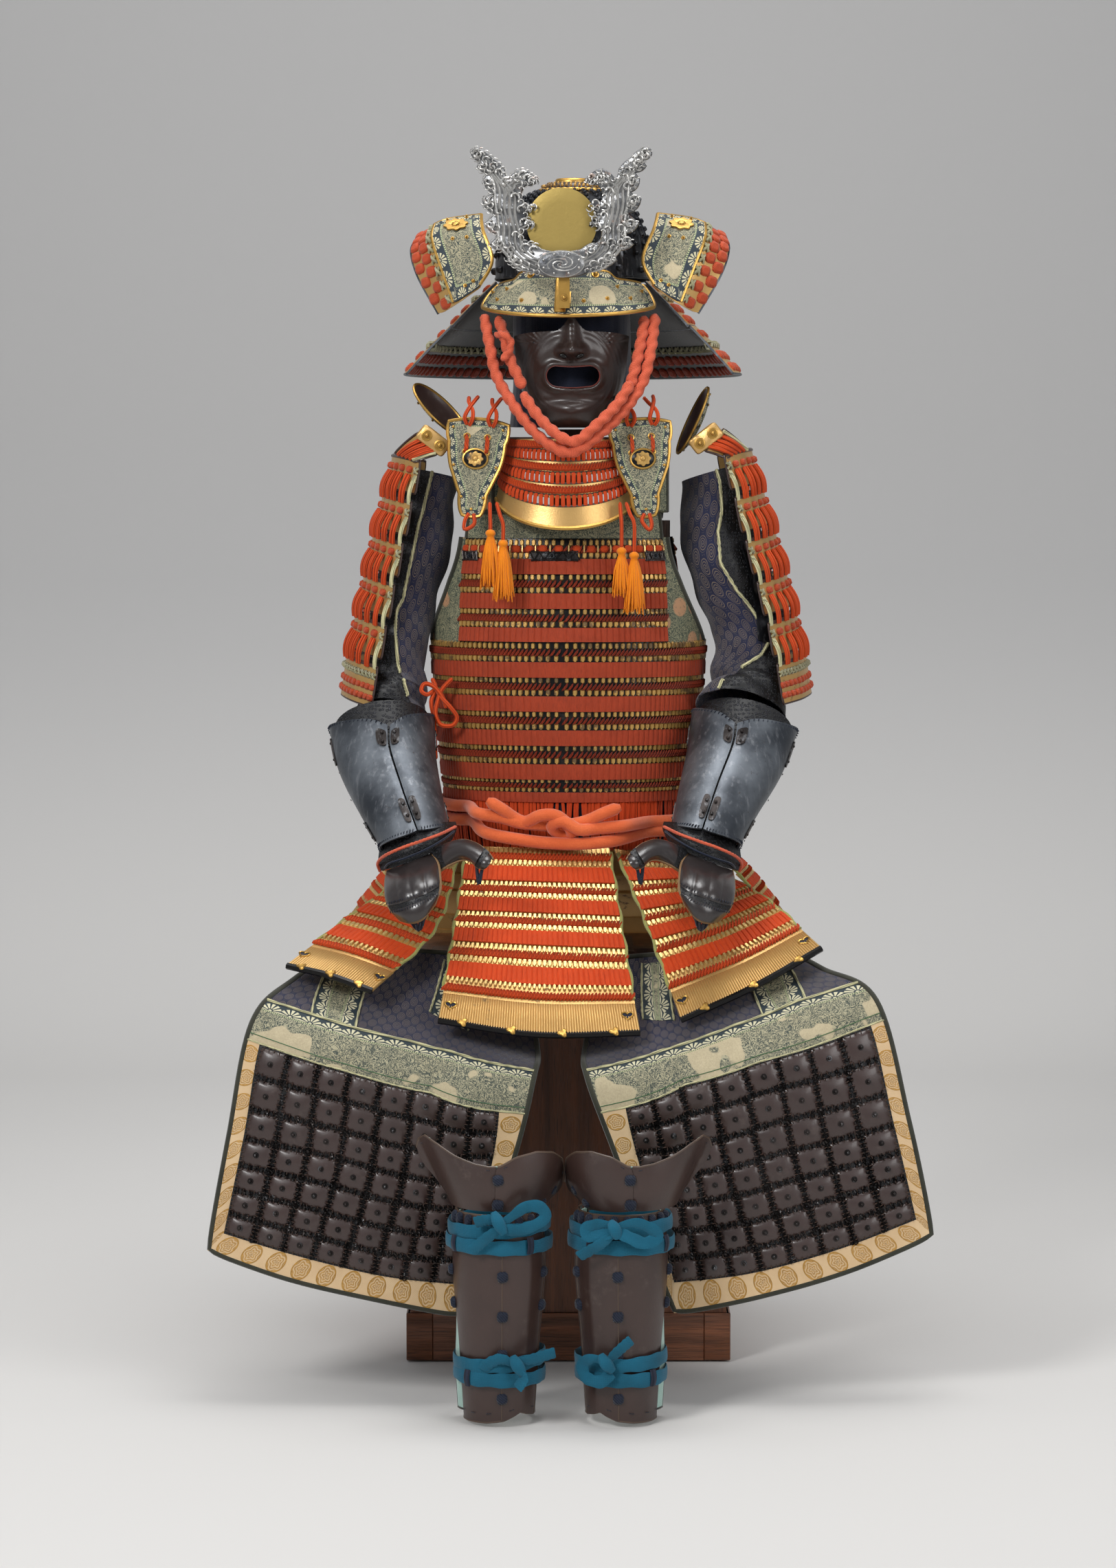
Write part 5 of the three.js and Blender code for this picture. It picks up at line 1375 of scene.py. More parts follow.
# ---------------------------------------------------------------- studio
@dataclass
class Studio:
    """Camera, soft lights and a pale backdrop.

    Attributes:
        eye: Camera's place in metres.
        pitch: How far it looks down, in degrees.
        lens: Lens in millimetres on a 36 mm sensor.
    """

    eye: tuple[float, float, float] = (-0.0143, -5.627, 1.220)
    pitch: float = 4.5
    lens: float = 91.76

    def camera(self) -> None:
        """Sets up the camera."""
        data = bpy.data.cameras.new("camera")
        data.type = "PERSP"
        data.sensor_width = 36.0
        data.lens = self.lens
        data.clip_end = 60
        data.dof.use_dof = False
        obj = bpy.data.objects.new("camera", data)
        obj.location = self.eye
        obj.rotation_euler = (math.radians(90 - self.pitch), 0, 0)
        bpy.context.scene.collection.objects.link(obj)
        bpy.context.scene.camera = obj

    def lamp(self, name: str, at: tuple[float, float, float], to: tuple[float, float, float], size: float,
             power: float) -> None:
        """Adds one soft light.

        Args:
            name: Its name.
            at: Its place.
            to: The point it faces.
            size: Side of its square.
            power: Power in watts.
        """
        data = bpy.data.lights.new(name, "AREA")
        data.size = size
        data.energy = power
        obj = bpy.data.objects.new(name, data)
        obj.location = at
        way = np.array(to) - np.array(at)
        obj.rotation_euler = (math.atan2(math.hypot(way[0], way[1]), -way[2]), 0,
                              math.atan2(way[1], way[0]) - math.pi / 2)
        bpy.context.scene.collection.objects.link(obj)

    def build(self) -> None:
        """Makes the whole studio."""
        self.camera()
        bpy.context.scene.view_settings.view_transform = "Standard"
        world = bpy.data.worlds.new("studio")
        world.use_nodes = True
        world.node_tree.nodes["Background"].inputs[0].default_value = (0.92, 0.95, 1.0, 1)
        world.node_tree.nodes["Background"].inputs[1].default_value = 0.36
        bpy.context.scene.world = world
        self.lamp("key", (-2.3, -3.6, 3.2), (0, -0.2, 0.9), 1.2, 122)
        self.lamp("fill", (2.8, -3.2, 2.2), (0, -0.2, 0.8), 1.9, 56)
        self.lamp("top", (0.2, -0.6, 3.6), (0, -0.2, 0.7), 1.4, 48)
        self.lamp("wall", (0, 0.6, 3.4), (0, 3.4, 0.6), 2.6, 34)
        line = [(0, y, -0.002) for y in np.linspace(-7.5, 2.4, 14)]
        line += [(0, 2.4 + 1.3 * math.sin(a), 1.3 - 1.3 * math.cos(a)) for a in np.linspace(0.12, math.pi / 2, 12)]
        line += [(0, 3.7, z) for z in np.linspace(1.6, 6.0, 6)]
        x = np.linspace(-6, 6, 9)
        grid = np.array(line)[:, None] + np.stack([x, 0 * x, 0 * x], 1)[None]
        rows, columns = grid.shape[:2]
        faces = [(k, k + 1, k + 1 + columns, k + columns) for j in range(rows - 1)
                 for k in range(j * columns, j * columns + columns - 1)]
        mesh = Part("floor").raw(grid.reshape(-1, 3), faces, solid=False).mesh()
        mesh.materials.append(BACKDROP.material())
        obj = bpy.data.objects.new("floor", mesh)
        bpy.context.scene.collection.objects.link(obj)


# ---------------------------------------------------------------- cords
def sash_path() -> Array:
    """Middle line of the sash: left end, knot, twice round the waist, right end, in metres."""
    knot_in = [(-110, -264, 776), (-90, -264, 764), (-74, -256, 752), (-58, -258, 746), (-38, -270, 756),
               (-17, -271, 756), (-2, -269, 744), (5, -262, 731), (-4, -254, 727), (-18, -257, 733), (-22, -268, 744),
               (-6, -275, 748), (14, -273, 737), (38, -264, 738)]
    first = [(74, -262, 741)] + [tuple(p) for p in torso_ring(np.linspace(38, 318, 24), 742, 9.5)]
    first += [(-112, -252, 731), (-62, -262, 722)]
    low = [(-25, -264, 718), (12, -264, 717), (62, -259, 721)]
    a = np.linspace(38, 316, 24)
    climb = 1 / (1 + np.exp(-(a - 175) / 16))
    second = [tuple(p) for p in torso_ring(a, 729 + 32 * climb, 9.5 + 20 * np.exp(-(((a - 177) / 46) ** 2)))]
    knot_out = [(-123, -248, 757), (-90, -256, 752), (-66, -257, 745), (-40, -254, 742), (-12, -256, 741),
                (12, -257, 744), (30, -262, 750), (48, -268, 759), (70, -266, 767)]
    return mm(knot_in + first + low + second + knot_out)


def torso_ring(degrees: Array, z: Array | float, out: Array | float) -> Array:
    """Points round the waist in the armour's own turned position, in millimetres."""
    p = round_body(np.broadcast_to(degrees, np.shape(degrees)), np.asarray(z, float) / 1000,
                   np.asarray(out, float) / 1000)
    return turned(p, TRUNK, TWIST) * 1000


# middle line of the cuirass in millimetres, and how far it is turned in degrees
TRUNK, TWIST = (0, -95), -4
# height, half width and half depth of the cuirass in metres
GIRTH = mm([(700, 163, 124), (774, 168, 127), (880, 180, 133), (985, 187, 136), (1070, 184, 130), (1160, 172, 116)])


def round_body(degrees: Array, z: Array, out: Array | float = 0.0) -> Array:
    """Points on the cuirass before it is turned.

    Args:
        degrees: Places round it from the front middle, viewer's right positive.
        z: Heights in metres.
        out: Stand-off in metres.

    Returns:
        Points in metres.
    """
    a = np.interp(z, GIRTH[:, 0], GIRTH[:, 1]) + out
    b = np.interp(z, GIRTH[:, 0], GIRTH[:, 2]) + out
    s, c = np.sin(np.radians(degrees)), np.cos(np.radians(degrees))
    k = 2 / 2.3
    x = a * np.sign(s) * np.abs(s) ** k
    y = TRUNK[1] / 1000 - b * np.sign(c) * np.abs(c) ** k
    return np.stack(np.broadcast_arrays(x, y, z), -1)


def band(d0: float, d1: float, z0: float, z1: float) -> Surface:
    """Part of the cuirass between two angles and two heights in millimetres."""

    def shape(u: Array, v: Array) -> Array:
        """Points for arrays of u and v."""
        p = round_body(d0 + (d1 - d0) * u, (z0 + (z1 - z0) * v) / 1000)
        return turned(p, TRUNK, TWIST)

    return Surface(shape, mm([*TRUNK, (z0 + z1) / 2]), ring=abs(d1 - d0) >= 359)


@dataclass
class CordWork:
    """The free cords: helmet cord, side bow, tassel cords and the sash."""

    helmet_cord: float = 0.0155
    hitch: float = 0.0102
    bow: float = 0.0062
    toggle: float = 0.0052
    sash: float = 0.0168

    def cord(self, name: str, route: Rows, diameter: float, finish: Finish, slot: str, lay: str,
             plies: int = 2, replaces: Sequence[str] = (), count: int = 60, pitch: float = 2.3,
             path: Array | None = None) -> bpy.types.Object:
        """Args:
            name: Its name.
            route: Points in millimetres.
            diameter: Diameter in metres.
            finish: Its material.
            slot: Passed on to place.
            lay: Not used.
            plies: Strands twisted together.
            replaces: Frame nodes it stands for.
            count: Points along it.
            pitch: Length of one twist in diameters.
            path: Middle line in metres, instead of the route.

        Returns:
            The cord.
        """
        line = curve(mm(route) if path is None else path, count)
        part = Part(name).tube(line, diameter / 2 * (1.06 if plies else 1.0), 14 if diameter > 0.01 else 8,
                               plies=plies, lay=diameter * pitch, shrink=0.5)
        obj = part.build(finish, slot, replaces)
        return obj

    def build(self) -> None:
        """Makes every free cord."""
        outer = [(-114, -200, 1428), (-106, -216, 1386), (-97, -228, 1346), (-74, -246, 1306), (-44, -264, 1268),
                 (-14, -276, 1246), (8, -277, 1244), (38, -270, 1264), (70, -254, 1294), (98, -238, 1334),
                 (110, -226, 1377), (117, -202, 1428)]
        inner = [(-62, -250, 1322), (-40, -264, 1290), (-12, -278, 1264), (10, -281, 1258), (36, -276, 1278),
                 (64, -262, 1306), (84, -249, 1336)]
        left = [(-95, -205, 1425), (-86, -221, 1396), (-78, -232, 1366), (-66, -241, 1340), (-62, -242, 1328)]
        right = [(103, -205, 1425), (98, -220, 1394), (91, -233, 1362), (85, -240, 1341), (84, -242, 1330)]
        hitch = [(-98, -214, 1400), (-88, -229, 1401), (-78, -232, 1392), (-80, -236, 1378), (-90, -240, 1366)]
        for name, route, diameter, lay, count, replaces in (
                ("outer", outer, self.helmet_cord, "taut", 150, ["chin_cord"]),
                ("inner", inner, self.helmet_cord, "taut", 70, ()),
                ("loop_left", left, self.helmet_cord, "taut", 40, ()),
                ("loop_right", right, self.helmet_cord, "taut", 40, ()),
                ("hitch", hitch, self.hitch, "loose", 36, ())):
            self.cord(f"helmet_cord_{name}", route, diameter, CORAL_CORD, "coral_cord", lay,
                      replaces=replaces, count=count)
        k = (-181, -190, 922)
        tail = [(-186, -182, 936), k, (-187, -197, 905), (-183, -194, 880), (-182, -192, 850), (-181, -192, 826)]
        low = [k, (-172, -200, 910), (-160, -203, 897), (-152, -200, 884), (-158, -200, 873), (-174, -200, 874),
               (-181, -200, 889), (-178, -199, 906), (-172, -196, 922), (-158, -196, 937)]
        high = [k, (-192, -200, 915), (-200, -200, 920), (-196, -197, 929), (-184, -197, 926), (-172, -199, 912),
                (-166, -200, 896)]
        for name, route, lay, replaces in (("tail", tail, "hanging", ["side_bow"]), ("loop_low", low, "loose", ()),
                                           ("loop_high", high, "loose", ())):
            self.cord(f"side_bow_{name}", route, self.bow, ORANGE_BRAID, "coral_cord", lay, plies=0,
                      replaces=replaces)
        for name, x, z, foot, toggle in (("tassel_left_a", -105, 1140, 1063, -106),
                                         ("tassel_left_b", -88, 1126, 1047, -97),
                                         ("tassel_right_a", 71, 1116, 1052, 69),
                                         ("tassel_right_b", 88, 1110, 1030, 77)):
            floss = self.tassel(name, x, z, foot)
            route = [(toggle, -246, 1176), ((toggle + x) / 2, -252, 1160), (x, -254, 1146 if z < 1150 else z + 10),
                     (x, -254, z - 2)]
            self.cord(f"{name}_cord", route, self.toggle, ORANGE_BRAID, "amber_silk", "hanging", plies=0,
                      count=24, replaces=[name[:-2]] if name.endswith("_a") else ())
        self.cord("waist_sash_cord", [], self.sash, CREPE, "crepe_sash", "taut", plies=0,
                  replaces=["waist_sash"], count=330, path=sash_path())

    def tassel(self, name: str, x: float, z: float, foot: float) -> bpy.types.Object:
        """Silk tassel: a bound head and many fine strands.

        Args:
            name: Its name.
            x: Place of its head, in millimetres.
            z: Height of its head.
            foot: Height of its lower end.

        Returns:
            The tassel.
        """
        rng = np.random.default_rng(abs(int(x)) + 5)
        part = Part(name)
        part.tube(curve(mm([(x, -254, z), (x, -254, z - 5), (x, -254, z - 12)]), 8),
                  np.array([2, 5, 6.4, 6.8, 6.6, 5.4, 4.6, 4.4]) / 1000, 12)
        for k in range(62):
            a, r = k * 2.4, 0.6 + 0.4 * rng.random()
            c, s = math.cos(a) * r, math.sin(a) * r
            end = z + (foot - z) * (0.86 + 0.2 * rng.random())
            route = [(x + 3.5 * c, -254 + 3.5 * s, z - 10), (x + 7.5 * c, -254 + 7 * s, z - 24),
                     (x + 10 * c, -254 + 9 * s, (z + end) / 2),
                     (x + 13 * c + rng.normal(0, 1.5), -254 + 10 * s, end)]
            part.tube(curve(mm(route), 7), np.array([1.3, 1.6, 1.7, 1.6, 1.5, 1.2, 0.6]) / 1000, 5)
        return part.build(AMBER_SILK, "amber_silk")


# ---------------------------------------------------------------- laced lames
# in metres: one laced row to the next, the heights of its two bands of scale heads, and the thickness of a lame
ROW, HEAD_BAND, LOWER_BAND, LAME = 0.0462, 0.0105, 0.0095, 0.0022


@dataclass
class LaceKit:
    """The shared pieces of a group of laced panels.

    Attributes:
        name: Start of the pieces' names.
        lacing: Finish of the upright lacing.
        braid: Finish of the braid between the scale heads.
        slot: Slot name passed on when the pieces are made.
    """

    name: str
    lacing: Finish
    braid: Finish
    slot: str
    plates: Part = field(init=False)
    ribs: Part = field(init=False)
    heads: Scatter = field(init=False)
    lower: Scatter = field(init=False)
    strands: Scatter = field(init=False)

    def __post_init__(self) -> None:
        """Starts the shared pieces."""
        self.plates = Part(f"{self.name}_lames")
        self.ribs = Part(f"{self.name}_lacing")
        self.heads = Scatter(f"{self.name}_scale_heads", Shape.HEAD)
        self.lower = Scatter(f"{self.name}_lower_heads", Shape.POINTED)
        self.strands = Scatter(f"{self.name}_braid", Shape.STRAND)

    def lame(self, s: Surface, v0: float, v1: float, heads: int, lift: float = 0.0, laced: bool = True) -> None:
        """Adds one lame: plate, two rows of heads, braid and the lacing under them.

        Args:
            s: The surface it lies on.
            v0: Where it starts.
            v1: Where the next one starts.
            heads: Scale heads across it.
            lift: Extra stand-off in metres.
            laced: Whether lacing hangs from it.
        """
        pitch = float(np.linalg.norm(s.at(0.5, v1) - s.at(0.5, v0)))
        wide = float(np.linalg.norm(np.diff(s.at(np.linspace(0, 1, 40), v0 + (v1 - v0) * 0.3), axis=0),
                                    axis=1).sum()) / heads
        u = (np.arange(heads) + 0.5) / heads
        at = lambda f: v0 + (v1 - v0) * f
        rise = lambda f: 0.0006 + 0.0030 * f + lift
        a, b = HEAD_BAND / ROW, LOWER_BAND / ROW
        self.heads.on(s, u, at(a * 0.5), rise(0.1), (wide * 0.82, pitch * a * 1.04, 0.0036))
        self.lower.on(s, u, at(0.395 + b / 2), rise(0.5) + 0.0002, (wide * 0.84, pitch * b * 1.12, 0.0034))
        n = int(heads * wide / 0.0048)
        t = (np.arange(n) + 0.5) / n
        self.strands.on(s, t, at(0.315), rise(0.3) + 0.0006, (0.0040, pitch * 0.235, 0.0052), spin=-38)
        # plate with a sawtooth section
        cols = max(12, heads // 2)
        uu = np.linspace(0, 1, cols, endpoint=not s.ring)
        f = np.array([-0.01, 0.5, 1.03])
        vv = np.clip(at(f), 0, 1)[:, None]
        out = np.array([rise(x) for x in f])[:, None]
        self.plates.shell(s.at(uu[None], vv, out), s.at(uu[None], vv, out - LAME), ring=s.ring)
        if laced:
            per = 4 if heads > 60 else 5
            uu = np.linspace(0, 1, heads * per, endpoint=False) if s.ring else np.linspace(0, 1, heads * per + 1)
            k = np.arange(len(uu))
            ridge = np.where(k % per == 0, 0.0, 1.0) * np.where(k % per == per // 2, 0.8, 1.0)
            f = np.array([0.585, 0.70, 1.035])
            full = np.array([0.5, 1.05, 0.75])[:, None]
            rng = np.random.default_rng(int(v0 * 997) + heads)
            loose = np.repeat(rng.normal(0, 0.00026, len(uu) // per + 1), per)[:len(uu)]
            out = np.array([rise(x) for x in f])[:, None] + 0.0008 + full * (0.0016 * ridge + loose * ridge)[None]
            vv = np.clip(at(f), 0, 1)[:, None]
            outer = s.at(uu[None], vv, out)
            inner = s.at(uu[None], vv, np.array([rise(x) for x in f])[:, None] - 0.0004)
            length = wide * heads
            uvs = np.stack(np.meshgrid(np.linspace(0, length, len(uu) + (1 if s.ring else 0)), f * pitch), -1)
            self.ribs.shell(outer, inner, uvs, ring=s.ring)

    def build(self, heads: Finish, plates: Finish, replaces: Sequence[str], seed: int) -> None:
        """Makes the objects.

        Args:
            heads: Finish of the scale heads.
            plates: Finish of the plates.
            replaces: Frame nodes that the plates stand for.
            seed: Seed of the random sizes.
        """
        self.plates.build(plates, self.slot, replaces)
        if self.ribs.count:
            self.ribs.build(self.lacing, self.slot)
        self.heads.build(heads, self.slot, 0.05, seed)
        self.lower.build(heads, self.slot, 0.05, seed + 1)
        self.strands.build(self.braid, self.slot, 0.06, seed + 2)


# ---------------------------------------------------------------- cuirass
@dataclass
class Cuirass:
    """Laced cuirass with its leather, straps and ornaments."""

    top: float = 1126.0
    pitch: float = 46.2
    reach: float = 46.0
    heads: int = 37

    def build(self) -> None:
        """Makes the whole cuirass."""
        kit = LaceKit("cuirass", RUST_SILK, RUST_BRAID, "laced_lames")
        z = lambda row: self.top - self.pitch * row
        chest = band(-self.reach, self.reach, z(0) + 2, z(3))
        span = z(0) + 2 - z(3)
        for row in range(3):
            kit.lame(chest, (z(0) + 2 - z(row)) / span, (z(0) + 2 - z(row + 1)) / span, self.heads, lift=0.0004)
        ring = band(0, 360, z(3), 770)
        span = z(3) - 770
        for row in range(3, 8):
            end = z(row + 1) if row < 7 else 771
            kit.lame(ring, (z(3) - z(row)) / span, (z(3) - end) / span if row < 7 else 1.0, 134)
        back = band(130, 230, z(-0.5), z(3))
        span = z(-0.5) - z(3)
        for row in range(3):
            kit.lame(back, (z(-0.5) - z(row)) / span, (z(-0.5) - z(row + 1)) / span, 41, lift=0.0004)
        kit.build(GILT_DULL, BLACK_LACQUER, ["chest_lames", "body_lames", "back_lames"], 11)
        self.first_row(chest)
        self.skirt_lacing()
        self.leather()
        self.ornaments(chest)

    def first_row(self, chest: Surface) -> None:
        """Round orange knots along the first braid of the chest."""
        knots = Scatter("chest_round_knots", Shape.BLOB)
        u = (np.arange(17) + 0.35) / 17
        knots.on(chest, u, 0.112, 0.0042, (0.0118, 0.0104, 0.0052))
        knots.build(ORANGE_BRAID, "laced_lames", 0.05, 3)
        posts = Scatter("chest_knot_posts", Shape.HEAD)
        posts.on(chest, u + 0.5 / 17, 0.112, 0.0044, (0.0026, 0.015, 0.0036))
        posts.build(GILT_HEAD, "laced_lames", 0.05, 4)

    def skirt_lacing(self) -> None:
        """Long loose lacing from the cuirass down to the skirts."""
        part = Part("waist_long_lacing")
        rng = np.random.default_rng(21)
        ring = band(0, 360, 776, 704)
        n = 250
        for k in range(n):
            u0 = k / n + rng.normal(0, 0.0005)
            u1 = u0 + rng.normal(0, 0.0013)
            v = np.linspace(0, 1, 5)
            u = (u0 + (u1 - u0) * v + 0.0006 * np.sin(v * 5 + k)) % 1
            out = 0.0012 + 0.0026 * np.sin(v * math.pi) + rng.random() * 0.0012
            part.tube(ring.at(u, v, out), 0.00215, 4, flat=0.55, lead=(1, 0, 0)
                      if abs(((u0 * 360 + 45) % 180) - 45) < 45 else (0, 1, 0))
        part.build(ORANGE_SILK, "laced_lames")
        lining = band(0, 360, 774, 706)
        vv = np.linspace(0, 1, 3)[:, None]
        uu = np.linspace(0, 1, 90, endpoint=False)[None]
        Part("waist_leather").shell(lining.at(uu, vv, -0.0002), lining.at(uu, vv, -0.0024),
                                    ring=True).build(DARK_CLOTH, "dark_cloth")

    def leather(self) -> None:
        """Printed leather of the chest and armholes, its piping and the straps."""
        panel = band(-46, 46, 1161, 1127)
        uu, vv = np.linspace(0, 1, 40), np.linspace(0, 1, 5)[:, None]
        part = Part("chest_leather").shell(panel.at(uu[None], vv, 0.0014), panel.at(uu[None], vv, -0.0026))
        pipes = Part("leather_piping")
        pipes.tube(panel.at(uu, 0.0, 0.0004), 0.0028, 6)
        bindings = Part("armhole_piping")
        for side in (-1, 1):
            d = lambda u, v: side * (46.6 + (3.4 + 34 * v * v) * u)
            shape = lambda u, v: turned(round_body(d(u, v), (1128 - 142.3 * v) / 1000), TRUNK, TWIST)
            hole = Surface(shape, mm([0, -95, 1050]))
            w, h = np.linspace(0, 1, 10), np.linspace(0, 1, 20)[:, None]
            part.shell(hole.at(w[None], h, 0.0012), hole.at(w[None], h, -0.0022))
            bindings.tube(hole.at(1.0, np.linspace(0, 1, 40), 0.0012), 0.0034, 6)
            bindings.tube(panel.at(0.0 if side < 0 else 1.0, np.linspace(0, 1, 8), 0.0012), 0.0026, 6)
        part.build(CHEST_LEATHER, "printed_leather", ["chest_panel", "armhole_left", "armhole_right"])
        pipes.build(OLIVE, "printed_leather")
        bindings.build(OLIVE, "printed_leather")
        strap = [[(97, -196, 1166), (118, -190, 1165), (140, -180, 1164)],
                 [(97, -168, 1215), (118, -165, 1212), (139, -160, 1206)],
                 [(76, -95, 1258), (107, -95, 1252), (137, -95, 1240)],
                 [(72, -25, 1222), (102, -28, 1216), (132, -32, 1205)],
                 [(66, 14, 1156), (96, 9, 1155), (124, -2, 1154)]]
        straps, edges = Part("shoulder_straps"), Part("shoulder_strap_edges")
        for rows in (strap, mirrored(strap)):
            s = net(rows, (0, -95, 1100), (0, -95, -4))
            u, v = np.linspace(0, 1, 9), np.linspace(0, 1, 30)
            puff = 0.0012 * np.sin(np.linspace(0, math.pi, 9))[None] * np.ones((30, 1))
            straps.shell(s.at(u[None], v[:, None], puff), s.at(u[None], v[:, None], -0.0065))
            for side in (0.0, 1.0):
                edges.tube(s.at(side, v, -0.003), 0.0038, 6)
        straps.build(CHEST_LEATHER, "printed_leather", ["strap_left", "strap_right"])
        edges.build(OLIVE, "printed_leather")

    def ornaments(self, chest: Surface) -> None:
        """Three pierced dark metal ornaments on the chest's first lame."""
        part = Part("chest_ornaments")
        studs = Scatter("chest_ornament_flowers", Shape.ROSETTE)
        for u0, wide in ((0.47, 0.17), (0.055, 0.10), (0.935, 0.12)):
            for row, v in enumerate((0.135, 0.225)):
                u = np.linspace(-0.5, 0.5, 15)
                dip = 0.012 * (1 - (2 * u) ** 2) * (1 if row == 0 else -1)
                part.tube(chest.at(u0 + u * wide, v + dip, 0.0066), 0.0012, 6)
            for k in range(9):
                x = u0 + wide * (k / 8 - 0.5) * 0.96
                swing = wide * 0.06 * (-1) ** k
                part.tube(chest.at(np.array([x - swing, x, x + swing]), np.array([0.137, 0.18, 0.223]), 0.0066),
                          0.0009, 5)
            studs.on(chest, np.array([u0]), np.array([0.18]), 0.0066, (0.0085, 0.0085, 0.007))
            u, v = np.linspace(u0 - wide / 2, u0 + wide / 2, 9)[None], np.array([0.132, 0.228])[:, None]
            part.shell(chest.at(u, v, 0.0056), chest.at(u, v, 0.0048))
        part.build(DARK_IRON, "black_iron")
        studs.build(BLACK_IRON, "black_iron", 0.02, 5)


# ---------------------------------------------------------------- skirts
SKIRTS: dict[str, list[Rows]] = {
    "skirt_front": [[(-137, -238, 711), (-42, -247, 709), (55, -238, 708)],
                    [(-153, -345, 604), (-42, -356, 600), (73, -345, 594)],
                    [(-171, -440, 500), (-42, -458, 484), (93, -442, 484)]],
    "skirt_right": [[(62, -230, 706), (128, -212, 694), (176, -160, 680)],
                    [(108, -332, 603), (190, -312, 622), (262, -270, 644)],
                    [(147, -436, 500), (244, -420, 542), (334, -392, 589)]],
    "skirt_left": [[(-176, -160, 680), (-160, -212, 692), (-146, -230, 700)],
                   [(-276, -272, 630), (-232, -312, 624), (-178, -336, 608)],
                   [(-372, -396, 566), (-314, -420, 556), (-258, -436, 538)]],
    "skirt_side_right": [[(190, -150, 708), (204, -95, 710), (190, -32, 708)],
                         [(244, -168, 650), (258, -95, 656), (244, -22, 650)],
                         [(286, -182, 590), (302, -95, 596), (286, -10, 590)]],
    "skirt_side_left": [[(-190, -32, 708), (-204, -95, 710), (-190, -150, 708)],
                        [(-244, -22, 650), (-258, -95, 656), (-244, -168, 650)],
                        [(-286, -10, 590), (-302, -95, 596), (-286, -182, 590)]],
    "skirt_back_right": [[(166, 2, 708), (96, 44, 708), (6, 56, 708)],
                         [(196, 100, 646), (104, 130, 640), (7, 142, 640)],
                         [(212, 202, 588), (112, 214, 578), (8, 226, 578)],
                         [(224, 252, 506), (118, 262, 498), (9, 272, 498)]],
    "skirt_back_left": [[(-6, 56, 708), (-96, 44, 708), (-166, 2, 708)],
                        [(-7, 142, 640), (-104, 130, 640), (-196, 100, 646)],
                        [(-8, 226, 578), (-112, 214, 578), (-212, 202, 588)],
                        [(-9, 272, 498), (-118, 262, 498), (-224, 252, 506)]],
}


